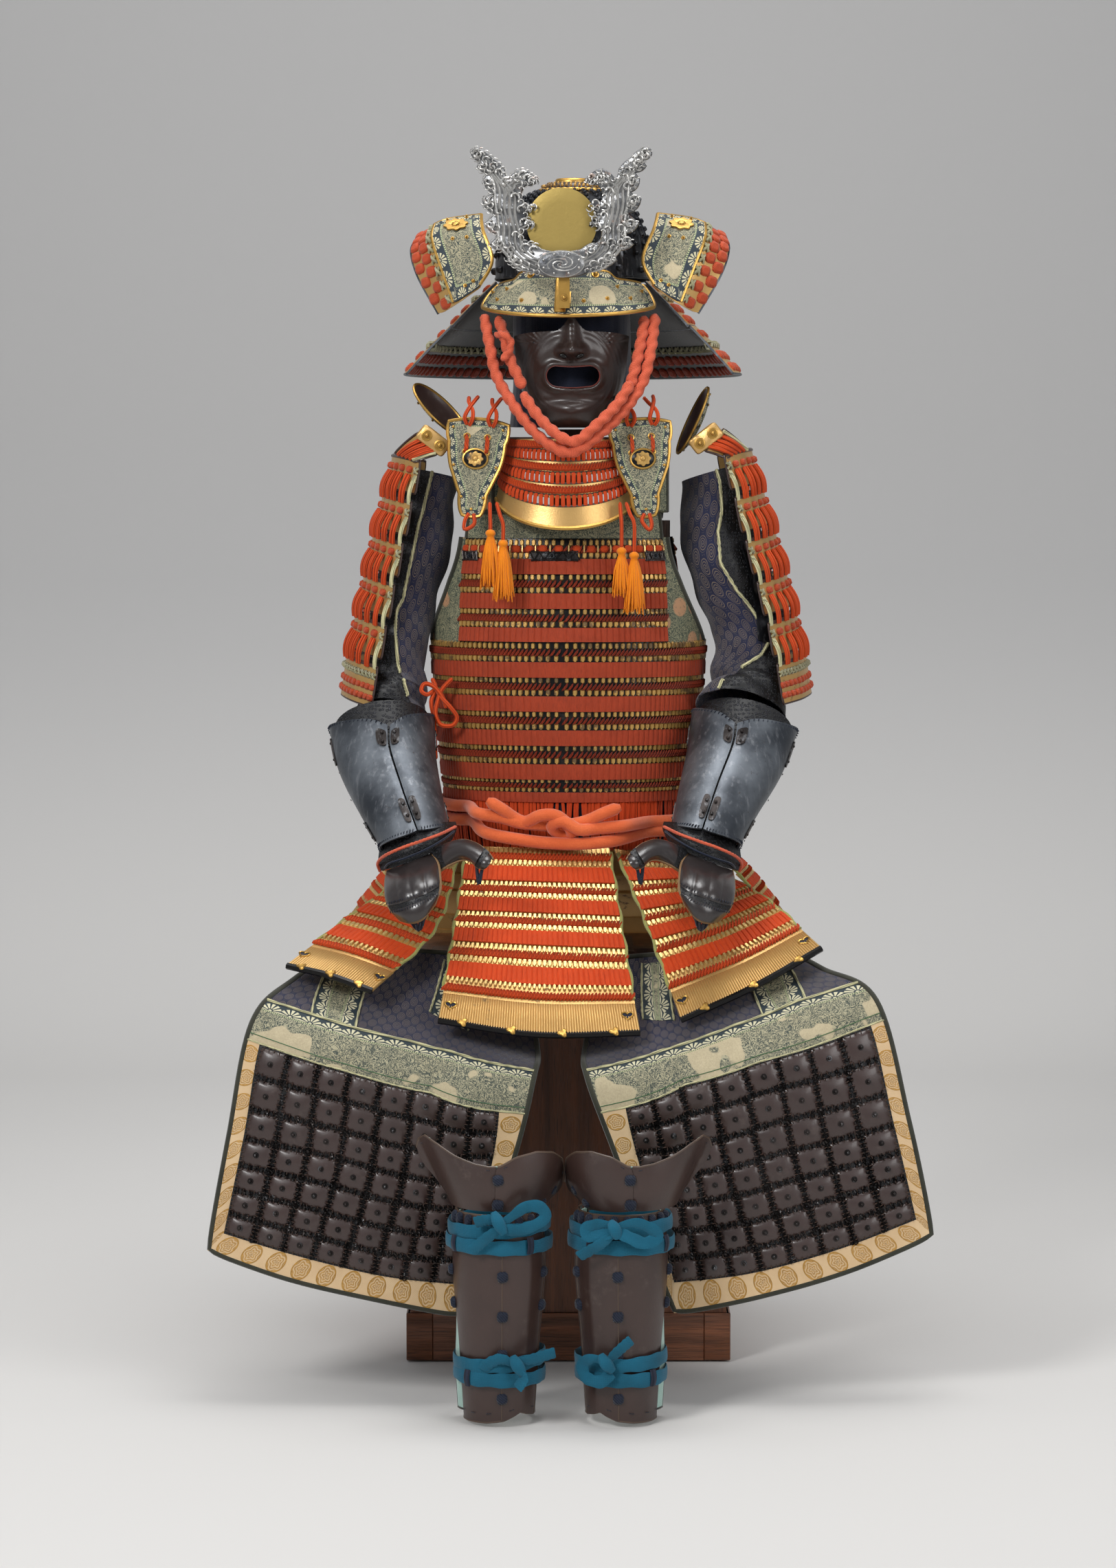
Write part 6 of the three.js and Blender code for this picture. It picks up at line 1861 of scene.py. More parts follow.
@dataclass
class Skirts:
    """Seven hanging skirt panels of laced gold lames."""

    starts: tuple[float, ...] = (0.0, 0.193, 0.367, 0.541, 0.744)
    rim: float = 0.0046

    def build(self) -> None:
        """Makes every panel."""
        for group, names in (("skirts_front", ("skirt_front", "skirt_right", "skirt_left")),
                             ("skirts_back",
                              ("skirt_side_right", "skirt_side_left", "skirt_back_right", "skirt_back_left"))):
            kit = LaceKit(group, ORANGE_SILK, ORANGE_BRAID, "laced_skirt")
            foot, rims, sides = Part(f"{group}_foot_lames"), Part(f"{group}_black_rims"), Part(f"{group}_side_lacing")
            hearts, dark = Part(f"{group}_heart_rims"), Part(f"{group}_heart_holes")
            flowers = Scatter(f"{group}_rim_trefoils", Shape.TREFOIL)
            for name in names:
                s = net(SKIRTS[name], (0, -95, 300))
                self.panel(kit, s, foot, rims, sides, hearts, dark, flowers)
            kit.build(GILT_HEAD, GILT_PLATE, names, 31)
            foot.build(GILT_PLATE, "laced_skirt")
            rims.build(BLACK_LACQUER, "laced_skirt")
            sides.build(GREEN_SILK, "laced_skirt")
            hearts.build(GILT, "laced_skirt")
            dark.build(DARK_CLOTH, "laced_skirt")
            flowers.build(GILT, "laced_skirt", 0.02, 6)

    def panel(self, kit: LaceKit, s: Surface, foot: Part, rims: Part, sides: Part, hearts: Part, dark: Part,
              flowers: Scatter) -> None:
        """Adds one panel to the shared pieces.

        Args:
            kit: Laced pieces.
            s: The panel's surface.
            foot: Ribbed lowest plates.
            rims: Black rims.
            sides: Pale green lacing along the edges.
            hearts: Rims of the heart-shaped holes.
            dark: Dark patches inside the hearts, painted shade in place of open holes.
            flowers: Gilt trefoils on the rim.
        """
        top = float(np.linalg.norm(np.diff(s.at(np.linspace(0, 1, 30), 0.02), axis=0), axis=1).sum())
        low = float(np.linalg.norm(np.diff(s.at(np.linspace(0, 1, 30), 0.95), axis=0), axis=1).sum())
        for k, v0 in enumerate(self.starts):
            wide = top + (low - top) * v0
            heads = max(12, int(wide / 0.0064))
            if k < 4:
                kit.lame(s, v0, self.starts[k + 1], heads, lift=0.0006)
            else:
                self.last(kit, s, v0, heads)
        # ribbed gold foot plate
        n = int(low / 0.0033)
        u = np.linspace(0, 1, n * 3 + 1)
        ridge = np.where(np.arange(len(u)) % 3 == 0, 0.0, 1.0)[None]
        v = np.array([0.838, 0.85, 0.93, 0.994])[:, None]
        out = np.array([0.001, 0.0034, 0.004, 0.0042])[:, None] + 0.0011 * ridge * np.array([0.3, 1, 1, 1])[:, None]
        foot.shell(s.at(u[None], v, out), s.at(u[None], v, -0.0006))
        edge = np.linspace(0, 1, 36)
        rims.tube(s.at(edge, 0.997, 0.0016), self.rim, 6)
        for u0 in (0.05, 0.95):
            a = np.linspace(0, 2 * math.pi, 26, endpoint=False)
            x = 0.0078 * np.sin(a) ** 3
            y = 0.0066 * (0.81 * np.cos(a) - 0.31 * np.cos(2 * a) - 0.12 * np.cos(3 * a) - 0.06 * np.cos(4 * a))
            p, right, up, n3 = s.frame(np.array([u0]), np.array([0.915]))
            line = p + right * x[:, None] + up * (y[:, None] + 0.001) + n3 * 0.0054
            hearts.tube(line, 0.0012, 6, loop=True)
            # painted shade: a dark patch fills each heart where the real plate is cut through
            dark.raw(np.concatenate([line - n3 * 0.0004, line - n3 * 0.0022]),
                     [tuple(range(26)), tuple(range(26, 52))[::-1]]
                     + [(i, i + 26, (i + 1) % 26 + 26, (i + 1) % 26) for i in range(26)])
        count = max(3, int(low / 0.062))
        flowers.on(s, (np.arange(count) + 0.5) / count, np.full(count, 0.994), 0.0052, (0.0125, 0.0115, 0.006),
                   spin=180)
        for side, u0 in ((0, -0.004), (1, 1.004)):
            v = np.linspace(0.03, 0.82, 26)
            edge_line = s.at(float(side), v, 0.0032)
            wave = 0.0016 * np.sin(v * 38)[:, None] * (s.frame(np.full(26, float(side)), v)[1])
            sides.tube(edge_line + wave, 0.0024, 6)

    def last(self, kit: LaceKit, s: Surface, v0: float, heads: int) -> None:
        """Heads and braid over the ribbed foot plate."""
        u = (np.arange(heads) + 0.5) / heads
        wide = float(np.linalg.norm(np.diff(s.at(np.linspace(0, 1, 30), v0), axis=0), axis=1).sum()) / heads
        kit.heads.on(s, u, v0 + 0.018, 0.0034, (wide * 0.72, 0.0115, 0.0036))
        n = int(heads * wide / 0.0044)
        kit.strands.on(s, (np.arange(n) + 0.5) / n, v0 + 0.066, 0.0036, (0.0042, 0.0118, 0.0054), spin=-38)
        uu, vv = np.linspace(0, 1, 30)[None], np.array([v0 - 0.004, v0 + 0.1])[:, None]
        kit.plates.shell(s.at(uu, vv, 0.0030), s.at(uu, vv, 0.0006))


# ---------------------------------------------------------------- helmet
def bent(rows: Rows, steps: int = 5) -> Array:
    """Line through points x, z in millimetres.

    Args:
        rows: The points; one of four numbers is reached by way of its last two.
        steps: Points along each part.

    Returns:
        Points x, z in metres.
    """
    line = [np.array(rows[0][:2], float)]
    t = np.linspace(0, 1, steps + 1)[1:, None]
    for row in rows[1:]:
        start, end = line[-1], np.array(row[:2], float)
        via = np.array(row[2:], float) if len(row) > 2 else (start + end) / 2
        line.extend((1 - t) ** 2 * start + 2 * t * (1 - t) * via + t * t * end)
    return np.array(line) / 1000


def spun(profile: Rows, centre: tuple[float, float], stretch: float = 1.0, turn: float = 0.0,
         hollow: float = 0.0) -> Surface:
    """Surface of a profile turned about an upright line.

    Args:
        profile: Radius and height of each row from the top, in millimetres.
        centre: x and y of the line, in millimetres.
        stretch: Depth as a share of the width.
        turn: Turn of the whole in degrees.
        hollow: Height of the inner side's middle, in millimetres.

    Returns:
        The surface, with u all the way round from the front.
    """
    table = mm(profile)

    def shape(u: Array, v: Array) -> Array:
        """Points for arrays of u and v."""
        r, z = (weights(len(table), v) @ table).T
        a = 2 * math.pi * u
        p = np.stack([centre[0] / 1000 + r * np.sin(a), centre[1] / 1000 - r * stretch * np.cos(a), z], -1)
        return turned(p, centre, turn)

    return Surface(shape, mm((*centre, hollow)), ring=True)


def softened(u: Array, v: Array, corner: float = 0.06, power: float = 8.0) -> tuple[Array, Array]:
    """Places on a unit square with its corners pulled in."""
    a, b = 2 * u - 1, 2 * v - 1
    return 0.5 + a / 2 * (1 - corner * np.abs(b) ** power), 0.5 + b / 2 * (1 - corner * np.abs(a) ** power)


def square(count: int) -> tuple[Array, Array]:
    """Places round a unit square, count on each side."""
    t = np.linspace(0, 1, count, endpoint=False)
    return np.concatenate([t, 0 * t + 1, 1 - t, 0 * t]), np.concatenate([0 * t, t, 0 * t + 1, 1 - t])


def border_marks(s: Surface, u: Array, v: Array) -> Array:
    """Pattern coordinates of a bordered panel: along its nearest edge and in from it, in metres."""
    wide = length_of(s.at(np.linspace(0, 1, 30), 0.6))
    tall = length_of(s.at(0.5, np.linspace(0, 1, 30)))
    edges = np.stack([v * tall, (1 - v) * tall, u * wide, (1 - u) * wide])
    along = np.where(edges.argmin(0) < 2, (u - 0.5) * wide, (v - 0.5) * tall)
    return np.stack([along, edges.min(0)], -1)


def panel_grid(cols: int, rows: int, corner: float = 0.0, power: float = 8.0) -> tuple[Array, Array]:
    """Rows by columns of places on a unit square."""
    u, v = np.meshgrid(np.linspace(0, 1, cols), np.linspace(0, 1, rows))
    return softened(u, v, corner, power)


@dataclass
class LacedPlate:
    """Knots laid over gilt plates: rows of silk knots and crossed cords.

    Attributes:
        name: Start of the pieces' names.
        slot: Slot name passed on when the pieces are made.
    """

    name: str
    slot: str
    knots: Scatter = field(init=False)
    crosses: Scatter = field(init=False)
    shaded_knots: Scatter = field(init=False)

    def __post_init__(self) -> None:
        """Starts the shared pieces."""
        self.knots = Scatter(f"{self.name}_knots", Shape.BLOB)
        self.crosses = Scatter(f"{self.name}_cross_knots", Shape.CROSS)
        self.shaded_knots = Scatter(f"{self.name}_inner_knots", Shape.BLOB)

    def build(self, knots: Finish, inner: Finish) -> None:
        """Makes the objects; the inner knots take a darker finish of their own, as painted shade."""
        for scatter, finish in ((self.knots, knots), (self.crosses, CREAM_SILK), (self.shaded_knots, inner)):
            if scatter.where:
                scatter.build(finish, self.slot, 0.07, 17)


@dataclass
class Helmet:
    """Ribbed bowl with its crown, leather visor, neck guards and turnbacks."""

    centre: tuple[float, float] = (6.0, -100.0)
    turn: float = -4.0
    stretch: float = 1.17
    plates: int = 28

    def spin(self, profile: Rows, stretch: float, hollow: float = 1440.0) -> Surface:
        """Surface turned about the helmet's own middle."""
        return spun(profile, self.centre, stretch, self.turn, hollow)

    def build(self) -> None:
        """Makes the whole helmet."""
        self.bowl()
        self.crown()
        self.visor()
        laces = LacedPlate("helmet", "gilt_lames")
        self.guards(laces)
        self.turnbacks(laces)
        # painted shade: the knots inside the guards take the darker rust braid, not the coral of the outer knots
        laces.build(CORAL_BLOB, RUST_BRAID)

    def bowl(self) -> None:
        """Iron bowl: standing ribs, rows of rivets and a plain foot band with large rivets."""
        outer = self.spin([(34, 1597.5), (50, 1595.5), (66, 1588), (81, 1575), (93, 1556), (101, 1532), (105, 1505),
                           (105, 1480)], self.stretch)
        inner = self.spin([(33, 1593.5), (48, 1592), (64, 1584.5), (78, 1572), (90, 1554), (98, 1531), (102, 1505),
                           (102, 1480)], self.stretch)
        offsets = np.array([-0.5, -0.22, -0.1, -0.05, 0.0, 0.035, 0.06, 0.2])
        u = ((np.arange(self.plates)[:, None] + 0.5 + offsets[None]) / self.plates).ravel()
        rib = np.tile(np.array([0, 0, 0.1, 0.75, 1.0, 0.85, 0.0, 0.0]), self.plates)
        v = np.concatenate([np.linspace(0, 0.8, 10), [0.825, 0.85, 0.87, 1.0]])[:, None]
        tall = np.clip((0.86 - v) / 0.04, 0, 1)
        out = 0.0026 * rib[None] * tall + 0.0012 * np.clip((v - 0.86) / 0.01, 0, 1)
        bowl = Part("helmet_bowl_plates").shell(outer.at(u[None], v, out), inner.at(u[None], v), ring=True)
        bowl.tube(outer.at(np.linspace(0, 1, 90, endpoint=False), 0.998, 0.0004), 0.0022, 6, loop=True)
        bowl.build(BLACK_IRON, "black_iron", ["helmet_bowl"])
        rivets = Scatter("helmet_rivets", Shape.RIVET)
        rows = np.linspace(0.16, 0.82, 11)
        for k in range(self.plates):
            at = np.full(len(rows), (k + 0.5) / self.plates)
            rivets.on(outer, at + 0.0016, rows, 0.0022, (0.0062, 0.0062, 0.0076))
        low = (np.arange(14) + 0.5) / 14
        rivets.on(outer, low + 0.075, np.full(14, 0.935), 0.0012, (0.0106, 0.0106, 0.0124))
        rivets.build(BLACK_IRON, "black_iron", 0.03, 9)

    def crown(self) -> None:
        """Pierced crown: scalloped gilt cup, beaded dark tiers and a gilt mouth."""
        cup = self.spin([(39, 1602.4), (46.5, 1602), (47, 1599), (45, 1594.6)], 1.0)
        back = self.spin([(37, 1600.4), (44, 1599.6), (44.6, 1597.6), (43.4, 1594.6)], 1.0)
        u = np.linspace(0, 1, 192, endpoint=False)[None]
        v = np.linspace(0, 1, 7)[:, None]
        flute = 0.0016 * np.abs(np.cos(16 * 2 * math.pi * u)) * np.clip(v * 2.2, 0, 1)
        gilt = Part("helmet_crown_gilt").shell(cup.at(u, v, flute), back.at(u, v), ring=True)
        mouth = self.spin([(15, 1616.8), (22, 1617), (24, 1614.4), (24.6, 1611)], 1.0)
        inside = self.spin([(14, 1613.8), (18, 1613), (20, 1611.6), (21, 1610.6)], 1.0)
        ring = np.linspace(0, 1, 60, endpoint=False)[None]
        gilt.shell(mouth.at(ring, v), inside.at(ring, v), ring=True)
        gilt.build(GILT, "gilt_copper", ["helmet_crown"])
        tiers = self.spin([(20, 1612), (26, 1611.4), (29, 1609.6), (34, 1609), (36, 1606), (41, 1605.4), (43, 1602.4),
                           (43, 1600)], 1.0)
        under = self.spin([(18, 1606), (22, 1605), (25, 1604), (28, 1603), (31, 1602), (35, 1601), (38, 1600),
                           (40, 1599)], 1.0)
        w = np.linspace(0, 1, 22)[:, None]
        crown = Part("helmet_crown_tiers").shell(tiers.at(ring, w), under.at(ring, w), ring=True)
        crown.build(DARK_IRON, "black_iron")
        beads = Scatter("helmet_crown_beads", Shape.RIVET)
        for count, row, size in ((44, 0.72, 0.0044), (34, 0.42, 0.0036)):
            at = np.arange(count) / count
            beads.on(tiers, at, np.full(count, row), 0.0, (size, size, size * 1.5))
        beads.build(GILT_DULL, "gilt_copper", 0.03, 10)

    def visor(self) -> None:
        """Leather visor with its gilt rims, studs and crest holder."""
        cx, cy = self.centre

        def shape(u: Array, v: Array) -> Array:
            """Points for arrays of u and v."""
            d = np.radians(-68 + 136 * u)
            c = np.cos(d)
            lift = 9.5 / (1 + np.exp((np.abs(np.degrees(d) + 3) - 38) / 1.6))
            top = np.stack([cx + 106.4 * np.sin(0.97 * d), cy - 106.4 * self.stretch * np.cos(0.97 * d),
                            1469 + 9 * c + lift], -1)
            foot = np.stack([cx + 128 * np.sin(d), cy - (52 + 110 * c), 1447 - 22 * c], -1)
            bow = (np.sin(math.pi * v) * 2.2)[:, None] * np.stack([np.sin(d), -np.cos(d), 0.5 + 0 * d], -1)
            return turned((top + (foot - top) * v[:, None] + bow) / 1000, self.centre, self.turn)

        s = Surface(shape, mm((6, -160, 1380)))
        u, v = panel_grid(100, 15, 0.035, 10)
        skin = Part("helmet_visor_leather").shell(s.at(u, v, 0.0), s.at(u, v, -0.0026), border_marks(s, u, v))
        skin.build(HELMET_LEATHER, "printed_leather", ["helmet_visor"])
        rims = Part("helmet_visor_rims")
        t = np.linspace(0, 1, 110)
        side = t[:16] / t[15] * 0.94
        rim_u = np.concatenate([0 * t[:16], t, 0 * t[:16] + 1])
        rim_v = np.concatenate([side + 0.06, 0 * t + 1, 1 - side])
        rims.tube(curve(s.at(*softened(rim_u, rim_v, 0.035, 10), -0.001), 160), 0.0027, 8)
        top_u, top_v = softened(t, 0 * t, 0.035, 10)
        rims.tube(s.at(top_u, top_v, 0.0002), 0.0016, 6)
        rims.build(GILT, "gilt_copper")
        self.stud_rows(s)
        bracket = [(-231.4, 1471.6), (-255.2, 1437.6), (-275, 1434), (-275, 1486), (-271.6, 1486), (-271.6, 1440.4),
                   (-257, 1441.6), (-233.6, 1473)]
        table = mm(bracket)
        strap = Part("crest_bracket_strap")
        n = len(table)
        faces: list[Sequence[int]] = [tuple(range(n)), tuple(range(n, 2 * n))[::-1]]
        faces += [(i, i + n, (i + 1) % n + n, (i + 1) % n) for i in range(n)]
        sides = np.concatenate([np.column_stack([np.full(n, x / 1000), table]) for x in (cx - 7.4, cx + 7.4)])
        strap.raw(turned(sides, self.centre, self.turn), faces)
        plate_line = np.linspace(0.10, 0.94, 12)
        w = np.linspace(-0.0070, 0.0070, 5)
        mid, right, _, out = s.frame(np.full(12, 0.478), plate_line)
        face = mid[:, None] + right[:, None] * w[None, :, None] + out[:, None] * 0.0022
        strap.shell(face, face - out[:, None] * 0.002)
        for edge in (0, 4):
            strap.tube(face[:, edge] + out * 0.0002, 0.0007, 5)
        strap.build(GILT, "gilt_copper", ["crest_bracket"])

    def stud_rows(self, s: Surface) -> None:
        """Studs of the visor: two large ones, a pair of rows of small ones and the holder's."""
        large = Scatter("helmet_visor_domes", Shape.STUD)
        large.on(s, np.array([0.30, 0.655]), np.array([0.10, 0.10]), 0.0, (0.0118, 0.0118, 0.0052))
        ways = turned(np.array([[1.0, 0, 0], [0, 0, 1.0], [0, -1.0, 0]]), (0, 0), self.turn)
        front = turned(mm([[self.centre[0], -275.2, 1448]]), self.centre, self.turn)
        large.put(front, ways[:1], ways[1:2], ways[2:], (0.0104, 0.0104, 0.0058))
        large.build(GILT, "gilt_copper", 0.0, 12)
        small = Scatter("helmet_visor_studs", Shape.STUD)
        at_u = np.array([0.045, 0.125, 0.16, 0.285, 0.585, 0.70, 0.77, 0.83, 0.93])
        at_v = np.array([0.42, 0.66, 0.32, 0.70, 0.70, 0.66, 0.30, 0.62, 0.40])
        small.on(s, at_u, at_v, 0.0, (0.0064, 0.0064, 0.0044), spin=np.arange(9) * 41)
        small.build(GILT, "gilt_copper", 0.03, 13)

    def guard(self, reach: float, r0: float, r1: float, z0: float, z1: float) -> Surface:
        """Surface of one neck guard."""

        def shape(u: Array, v: Array) -> Array:
            """Points for arrays of u and v."""
            a = np.radians(180 + reach * (2 * u - 1))
            r = r0 + (r1 - r0) * v + 5 * v * (1 - v)
            deep = r * (1 + 0.17 * 108 / r)
            p = np.stack([self.centre[0] + r * np.sin(a), self.centre[1] - deep * np.cos(a), z0 + (z1 - z0) * v],
                         -1) / 1000
            return turned(p, self.centre, self.turn)

        return Surface(shape, mm((6, -100, 1250)))

    def guards(self, laces: LacedPlate) -> None:
        """Two neck guards: gilt and laced outside, black lacquer with two rows of knots inside, made darker as
        painted shade.
        """
        skin, gold, rims = Part("neck_guard_inner_lacquer"), Part("neck_guard_gilt"), Part("neck_guard_rims")
        u, v = np.linspace(0, 1, 73), np.linspace(0, 1, 7)
        for reach, r0, r1, z0, z1 in ((108, 108, 169, 1476, 1416), (106, 170.5, 232, 1415, 1351)):
            s = self.guard(reach, r0, r1, z0, z1)
            skin.shell(s.at(u[None], v[:, None], -0.0010), s.at(u[None], v[:, None], -0.0030))
            gold.shell(s.at(u[None], v[:, None], 0.0002), s.at(u[None], v[:, None], -0.0008))
            rims.tube(s.at(u, 1.0, -0.0014), 0.0019, 6)
            for end in (0.0, 1.0):
                rims.tube(s.at(end, v, -0.0014), 0.0016, 6)
            arc = length_of(s.at(u, 0.85))
            count = int(arc / 0.0150)
            for row, shift in ((0.62, 0.0), (0.87, 0.5)):
                at = (np.arange(count - 1) + 0.5 + shift) / count
                p, x, y, n = s.frame(at, np.full(len(at), row))
                laces.knots.put(p + n * 0.0004, x, y, n, (0.0140, 0.0165, 0.0050))
                if r0 > 150:
                    # painted shade: these inner knots get the darker finish
                    laces.shaded_knots.put(p - n * 0.0031, -x, y, -n, (0.0136, 0.0172, 0.0042))
            p, x, y, n = s.frame((np.arange(count) + 0.5) / count, np.full(count, 0.40))
            laces.crosses.put(p + n * 0.0004, x, y, n, (0.0100, 0.0118, 0.0080))
            if r0 > 150:
                laces.crosses.put(p - n * 0.0031, -x, y, -n, (0.0100, 0.0118, 0.0070))
            p, x, y, n = s.frame((np.arange(count // 2) + 0.5) / (count // 2), np.full(count // 2, 0.16))
            laces.knots.put(p + n * 0.0004, x, y, n, (0.0140, 0.0140, 0.0046))
        skin.build(BLACK_LACQUER, "gilt_lames", ["neck_guard_upper", "neck_guard_lower"])
        gold.build(GILT_PLATE, "gilt_lames")
        rims.build(GREY_IRON, "grey_iron")

    def turnbacks(self, laces: LacedPlate) -> None:
        """Turned-back wings of the neck guard: printed leather beside a laced gilt edge."""
        rows = [[(-206, -140, 1536), (-166, -168, 1556), (-114, -164, 1565)],
                [(-211, -168, 1515), (-166, -197, 1534), (-110, -191, 1542)],
                [(-200, -184, 1480), (-152, -212, 1494), (-96, -206, 1500)],
                [(-170, -198, 1428), (-138, -222, 1446), (-112, -220, 1464)]]
        gold, leather, rims = Part("turnback_gilt"), Part("turnback_leather"), Part("turnback_rims")
        grey = Part("turnback_grey_edges")
        petals = Scatter("turnback_rosettes", Shape.ROSETTE)
        studs = Scatter("turnback_studs", Shape.STUD)
        for side in (-1, 1):
            table = rows if side < 0 else mirrored(rows, 6)
            s = net(table, (-110 if side < 0 else 122, -60, 1450), (*self.centre, self.turn))
            u, v = panel_grid(30, 26, 0.03, 10)
            gold.shell(s.at(u, v, 0.0), s.at(u, v, -0.0034))
            edge_v = np.linspace(0.01, 0.99, 40)
            grey.tube(s.at(0.006, edge_v, -0.001), 0.0019, 6)
            grey.tube(s.at(np.linspace(0, 1, 24), 0.0, -0.001), 0.0017, 6)
            part = Surface(lambda x, y, s=s: s.shape(0.385 + 0.615 * x, 0.02 + 0.97 * y), s.hollow)
            pu, pv = panel_grid(30, 34, 0.02, 10)
            leather.shell(part.at(pu, pv, 0.0034), part.at(pu, pv, 0.0002), border_marks(part, pu, pv))
            for x in (0.0, 1.0):
                rims.tube(part.at(x, edge_v, 0.0022), 0.0025, 6)
            rims.tube(part.at(np.linspace(0, 1, 24), 0.0, 0.0022), 0.0018, 6)
            tall = length_of(s.at(0.2, edge_v))
            count = int(tall / 0.0172)
            for x, shift in ((0.085, 0.0), (0.225, 0.5)):
                at = (np.arange(count) + 0.25 + shift) / (count + 0.1)
                laces.knots.on(s, np.full(count, x), at, 0.0004, (0.0174, 0.0156, 0.0050))
            small = int(tall / 0.0160)
            laces.crosses.on(s, np.full(small, 0.325), (np.arange(small) + 0.5) / small, 0.0006,
                             (0.0094, 0.0128, 0.0088))
            p, x, y, n = part.frame(np.array([0.5]), np.array([0.20]))
            petals.put(p + n * 0.0036, x, y, n, (0.032, 0.026, 0.013))
            su = np.array([0.32, 0.7, 0.4, 0.66, 0.44, 0.66])
            sv = np.array([0.05, 0.05, 0.4, 0.4, 0.9, 0.88])
            studs.on(part, su, sv, 0.0034, (0.0056, 0.0056, 0.0046), spin=np.arange(6) * 33)
        gold.build(GILT_PLATE, "gilt_lames", ["turnback_left", "turnback_right"])
        leather.build(HELMET_LEATHER, "printed_leather")
        rims.build(GILT, "gilt_copper")
        grey.build(GREY_IRON, "grey_iron")
        petals.build(GILT, "gilt_copper", 0.0, 14)
        studs.build(GILT, "gilt_copper", 0.03, 15)


FOAM = [(0, 1474), (34, 1480, 18, 1473), (74, 1497, 60, 1483), (66, 1511), (96, 1518, 86, 1505), (84, 1531),
        (103, 1546, 98, 1533), (89, 1558), (106, 1578, 104, 1562), (92, 1586), (104, 1604, 104, 1590), (98, 1612),
        (113, 1621, 108, 1612), (108, 1628), (120, 1636, 117, 1628), (112, 1645, 121, 1645), (92, 1632, 100, 1643),
        (76, 1617, 84, 1628), (72, 1604, 76, 1610), (50, 1617, 62, 1617), (30, 1602, 40, 1614), (48, 1596, 38, 1594),
        (52, 1574, 58, 1584), (34, 1568, 44, 1564), (48, 1554, 46, 1562), (36, 1542, 40, 1552), (52, 1536, 48, 1542),
        (46, 1520, 56, 1526), (26, 1512, 38, 1522), (0, 1510, 14, 1508)]


